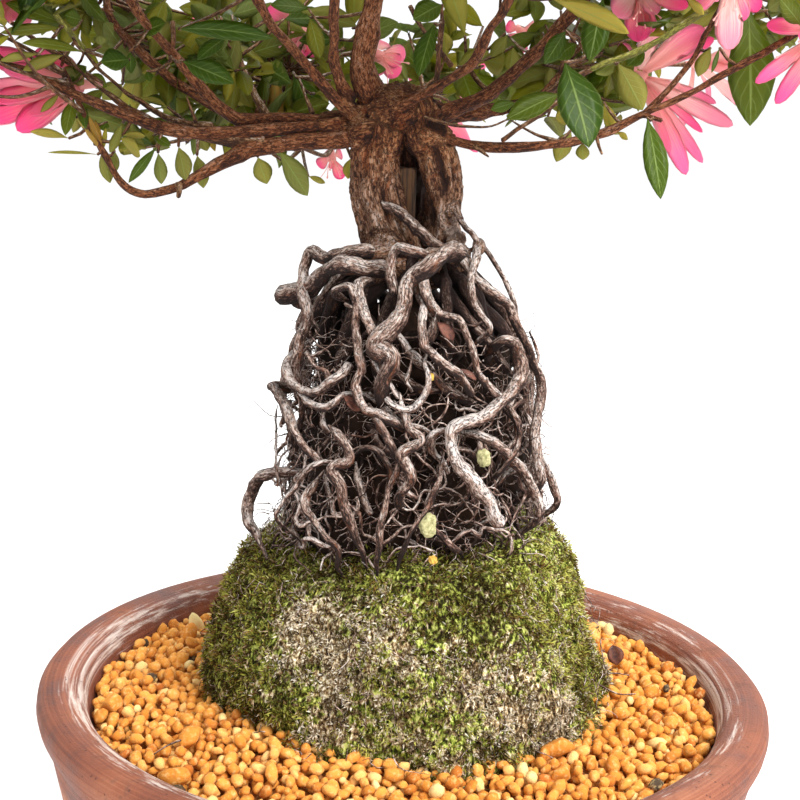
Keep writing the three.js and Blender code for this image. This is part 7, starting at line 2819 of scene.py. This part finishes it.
class Crown:
    """The branches with their leaf pads and blooms."""

    def __init__(self) -> None:
        """Collects the branches, those of the dome's tiers last."""
        self.limbs = (*BRANCHES, *(limb for tier in UPPER_TIERS for limb in tier.limbs()))
        self.pads = [LeafPad(k + 1, limb) for k, limb in enumerate(self.limbs)]

    def nearest_pad(self, spots: Array) -> Array:
        """Which pad, counted from 0, is nearest to each place."""
        middles = np.array([pad.middle for pad in self.pads])
        return np.argmin(np.linalg.norm(spots[:, None] - middles[None], axis=-1), axis=1)

    def build(self) -> None:
        """Makes everything above the trunk."""
        Branches().build(self.limbs)
        twigs = Meshwork()
        leaf, petal = AZALEA_LEAF.material(), PetalFinish().material()
        rng = np.random.default_rng(41)
        placed = np.concatenate([PLACED_LEAVES, *(gap.rows(rng) for gap in LEAFY_GAPS)])
        owner = self.nearest_pad(placed[:, :3])
        for k, pad in enumerate(self.pads):
            pad.build(twigs, leaf, placed[owner == k])
        for number, (pad, toward) in enumerate(BLOOM_PLACES, 1):
            kind = PlacedBloom if number in PLACED_BLOOMS else Bloom
            kind(number, self.pads[pad], toward).build(twigs, petal)
        for number in sorted(set(PLACED_BLOOMS) - set(range(1, len(BLOOM_PLACES) + 1))):
            pad = self.pads[self.nearest_pad(np.array([PLACED_BLOOMS[number][0]]))[0]]
            PlacedBloom(number, pad, (0, -1, 0)).build(twigs, petal)
        self.hang_leaves(twigs, placed[:, :3])
        settle(twigs.build("twigs", YOUNG_BARK.material()), Slot.BARK)

    def hang_leaves(self, twigs: Meshwork, roots: Array) -> None:
        """Adds the listed twigs, and a thin one from each placed leaf to the nearest wood.

        Args:
            twigs: what the brown ones are added to.
            roots: where the leaves start.
        """
        wood, green = [limb.line(2.5) for limb in self.limbs], Meshwork()
        for key, (route, radii) in enumerate(TWIGS):
            line = smooth_line(np.array(route), 1.6)
            line = line + 0.25 * drift(line, 4, key)
            wood.append(line)
            relief = bark_relief(line, along(radii, len(line)), 7, key, 0.2, 0.1)
            work = green if key in GREEN_TWIGS else twigs
            sweep(work, line, along(radii, len(line)), 7, relief, 40 + key, tone=0.4, deep=0.0)
        settle(green.build("green_twigs", GREEN_BARK.material()), Slot.BARK)
        wood = np.concatenate(wood)
        for key, root in enumerate(roots):
            gaps = np.linalg.norm(wood - root, axis=1)
            home = wood[np.argmin(gaps + 0.4 * np.maximum(root[2] - wood[:, 2], 0))]
            if np.linalg.norm(home - root) < 34:
                line = smooth_line(np.array([home, (home + root) / 2 - UP * 0.8, root]), 3.4)
                sweep(twigs, line, along((0.6, 0.45), len(line)), 4, None, 80 + key, tone=0.6, deep=0.0)


@dataclass(frozen=True)
class Studio:
    """A plain white floor, soft lights and the camera.

    Attributes:
        eye: where the camera is, in metres.
        pitch: how far it looks down, in degrees.
        roll: how far it leans, in degrees.
        lens: its focal length, in millimetres.
    """

    eye: Place = (-0.0048, -0.4465, 0.2711)
    pitch: float = 11.57
    roll: float = 2.185
    lens: float = 63

    def build(self) -> None:
        """Sets the studio up."""
        self.place_camera()
        self.lay_floor()
        world = bpy.data.worlds.new("soft_sky")
        world.use_nodes = True
        sky = world.node_tree.nodes["Background"]
        sky.inputs["Color"].default_value = (1.0, 1.0, 1.0, 1)
        sky.inputs["Strength"].default_value = 1.05
        scene = bpy.context.scene
        scene.world = world
        scene.view_settings.view_transform = "Standard"
        self.hang_light("key", (0.75, -0.95, 1.25), 0.8, 44, (1.0, 0.985, 0.96))
        self.hang_light("fill", (-1.1, -0.8, 0.6), 1.0, 2.0, (0.97, 0.98, 1.0))
        self.hang_light("rim", (0.3, 1.2, 1.2), 1.2, 14, (1, 1, 1))

    def place_camera(self) -> None:
        """Puts the camera in its place."""
        pitch, roll = math.radians(self.pitch), math.radians(self.roll)
        ahead = Vector((0, math.cos(pitch), -math.sin(pitch)))
        level, upright = Vector((1, 0, 0)), Vector((0, math.sin(pitch), math.cos(pitch)))
        right = level * math.cos(roll) + upright * math.sin(roll)
        above = upright * math.cos(roll) - level * math.sin(roll)
        lens = bpy.data.cameras.new("camera")
        lens.lens, lens.sensor_width = self.lens, 36
        camera = bpy.data.objects.new("camera", lens)
        turn = Matrix((right, above, -ahead)).transposed().to_4x4()
        camera.matrix_world = Matrix.Translation(self.eye) @ turn
        bpy.context.scene.collection.objects.link(camera)
        bpy.context.scene.camera = camera

    @staticmethod
    def lay_floor() -> None:
        """Lays the floor."""
        bpy.ops.mesh.primitive_plane_add(size=160, location=(0, 0, -0.0004))
        floor = bpy.context.object
        floor.name = "studio_floor"
        surface = Surface("white_floor")
        surface.coat((0.98, 0.98, 0.98, 1.0), 0.9)
        floor.data.materials.append(surface.material)

    @staticmethod
    def hang_light(name: str, place: Place, size: float, power: float, colour: Place) -> None:
        """Hangs one soft square light that points at the tree.

        Args:
            name: its name.
            place: where it hangs.
            size: the length of its side.
            power: its watts.
            colour: its red, green and blue.
        """
        lamp = bpy.data.lights.new(name, "AREA")
        lamp.size, lamp.energy, lamp.color = size, power, colour
        light = bpy.data.objects.new(name, lamp)
        light.location = place
        aim = Vector((0, 0, 0.2)) - Vector(place)
        light.rotation_euler = aim.to_track_quat("-Z", "Y").to_euler()
        bpy.context.scene.collection.objects.link(light)


def dress_screens() -> None:
    """Gives the plastic drainage screens their finish."""
    finish = PlainFinish("screen_plastic", "#15181a", "#2b3030", (1, 1, 1), 1.2, 0.55).material()
    for name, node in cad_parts.items():
        if name.startswith("drain_screen"):
            node.data.materials.clear()
            node.data.materials.append(finish)


@dataclass(frozen=True)
class Litter:
    """Small things caught between the roots and on the grit: lichen, seeds, cut scars, dead leaves and twigs.

    Attributes:
        lumps: for each kind of lump its name, its colours and its places and half sizes.
        leaves: dead leaves, as rows for blades_between.
        twigs: dry twigs, as the points that each passes through.
    """

    lumps: tuple[tuple[str, str, str, tuple[tuple[Place, Place], ...]], ...] = (
        ("lichen", "#77754a", "#b9b386",
         (((4.8, -50, 153), (2.5, 2.0, 3.2)), ((20.7, -43, 172), (1.9, 1.5, 2.4)))),
        ("seeds", "#a4772a", "#cfae4e",
         (((4.1, -39.5, 195.2), (0.9, 0.8, 1.0)), ((6.6, -56, 144), (1.2, 1.1, 1.1)))),
        ("cut_scars", "#c7a878", "#f1e6c4",
         (((-26.3, -5.3, 263), (2, 0.7, 0.9)), ((1.1, -7.9, 264.6), (0.7, 0.6, 0.7)))),
    )  # fmt: skip
    leaves: tuple[tuple[float, ...], ...] = (
        (73, 6, 88.5, 71, 7, 95.5, 2.7, 0.1, 1, 0.5),
        (12.4, -38.5, 197.8, 17.6, -38.5, 194.4, 1.0, 0.9, 1, 0.3),
        (5.2, -34.5, 211, 10.4, -34.5, 205.3, 1.8, 0.5, 1, 0.7),
        (-21.8, -37, 187.8, -16.6, -37, 183.4, 2.0, 0.5, 1, 0.8),
    )
    twigs: tuple[tuple[Place, ...], ...] = (
        ((62, -6, 90.4), (67, -3, 88.8), (72, 0, 88.2), (76, -1, 88)),
        ((64, -16, 90.4), (70, -18, 88.4), (76, -16, 87.8)),
        ((-66, -60, 86.4), (-69, -66, 87.4), (-72, -71, 87)),
    )

    def build(self) -> None:
        """Makes all of them."""
        points, faces = ball(3)
        for name, dark, light, places in self.lumps:
            work = Meshwork()
            for key, (middle, sizes) in enumerate(places):
                rough = 1 + 0.45 * cloud(points, 0.7, 7 + key, 3)
                work.add(points * rough[:, None] * sizes + middle, [faces])
            finish = PlainFinish(name, dark, light, (1, 1, 1), 1.1, 0.85)
            settle(work.build(name, finish.material()), Slot.MOSS)
        finish = PlainFinish("dead_leaf", "#34140f", "#70402e", (1, 1, 1), 2.2, 0.7)
        work = Meshwork()
        blades_between(np.array(self.leaves), 0.5, 0.8, 91).grow(work, LARGE_LEAF_FORM)
        settle(work.build("dead_leaves", finish.material()), Slot.LEAF)
        work = Meshwork()
        for key, route in enumerate(self.twigs):
            line = smooth_line(np.array(route), 1.6)
            sweep(work, line, along((0.32, 0.28, 0.2), len(line)), 5, None, 60 + key, tone=0.3, deep=0.0)
        settle(work.build("dry_twigs", FINE_ROOT_BARK.material()), Slot.BARK)


def main() -> None:
    """Builds every part of the tree in order and writes how large it is."""
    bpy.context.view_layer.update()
    Studio().build()
    ClayPot().build()
    dress_screens()
    GritFill().build()
    MossMound().build()
    Trunk().build()
    RootColumn().build()
    BambooStake().build()
    Crown().build()
    Litter().build()


if __name__ == "__main__":
    main()
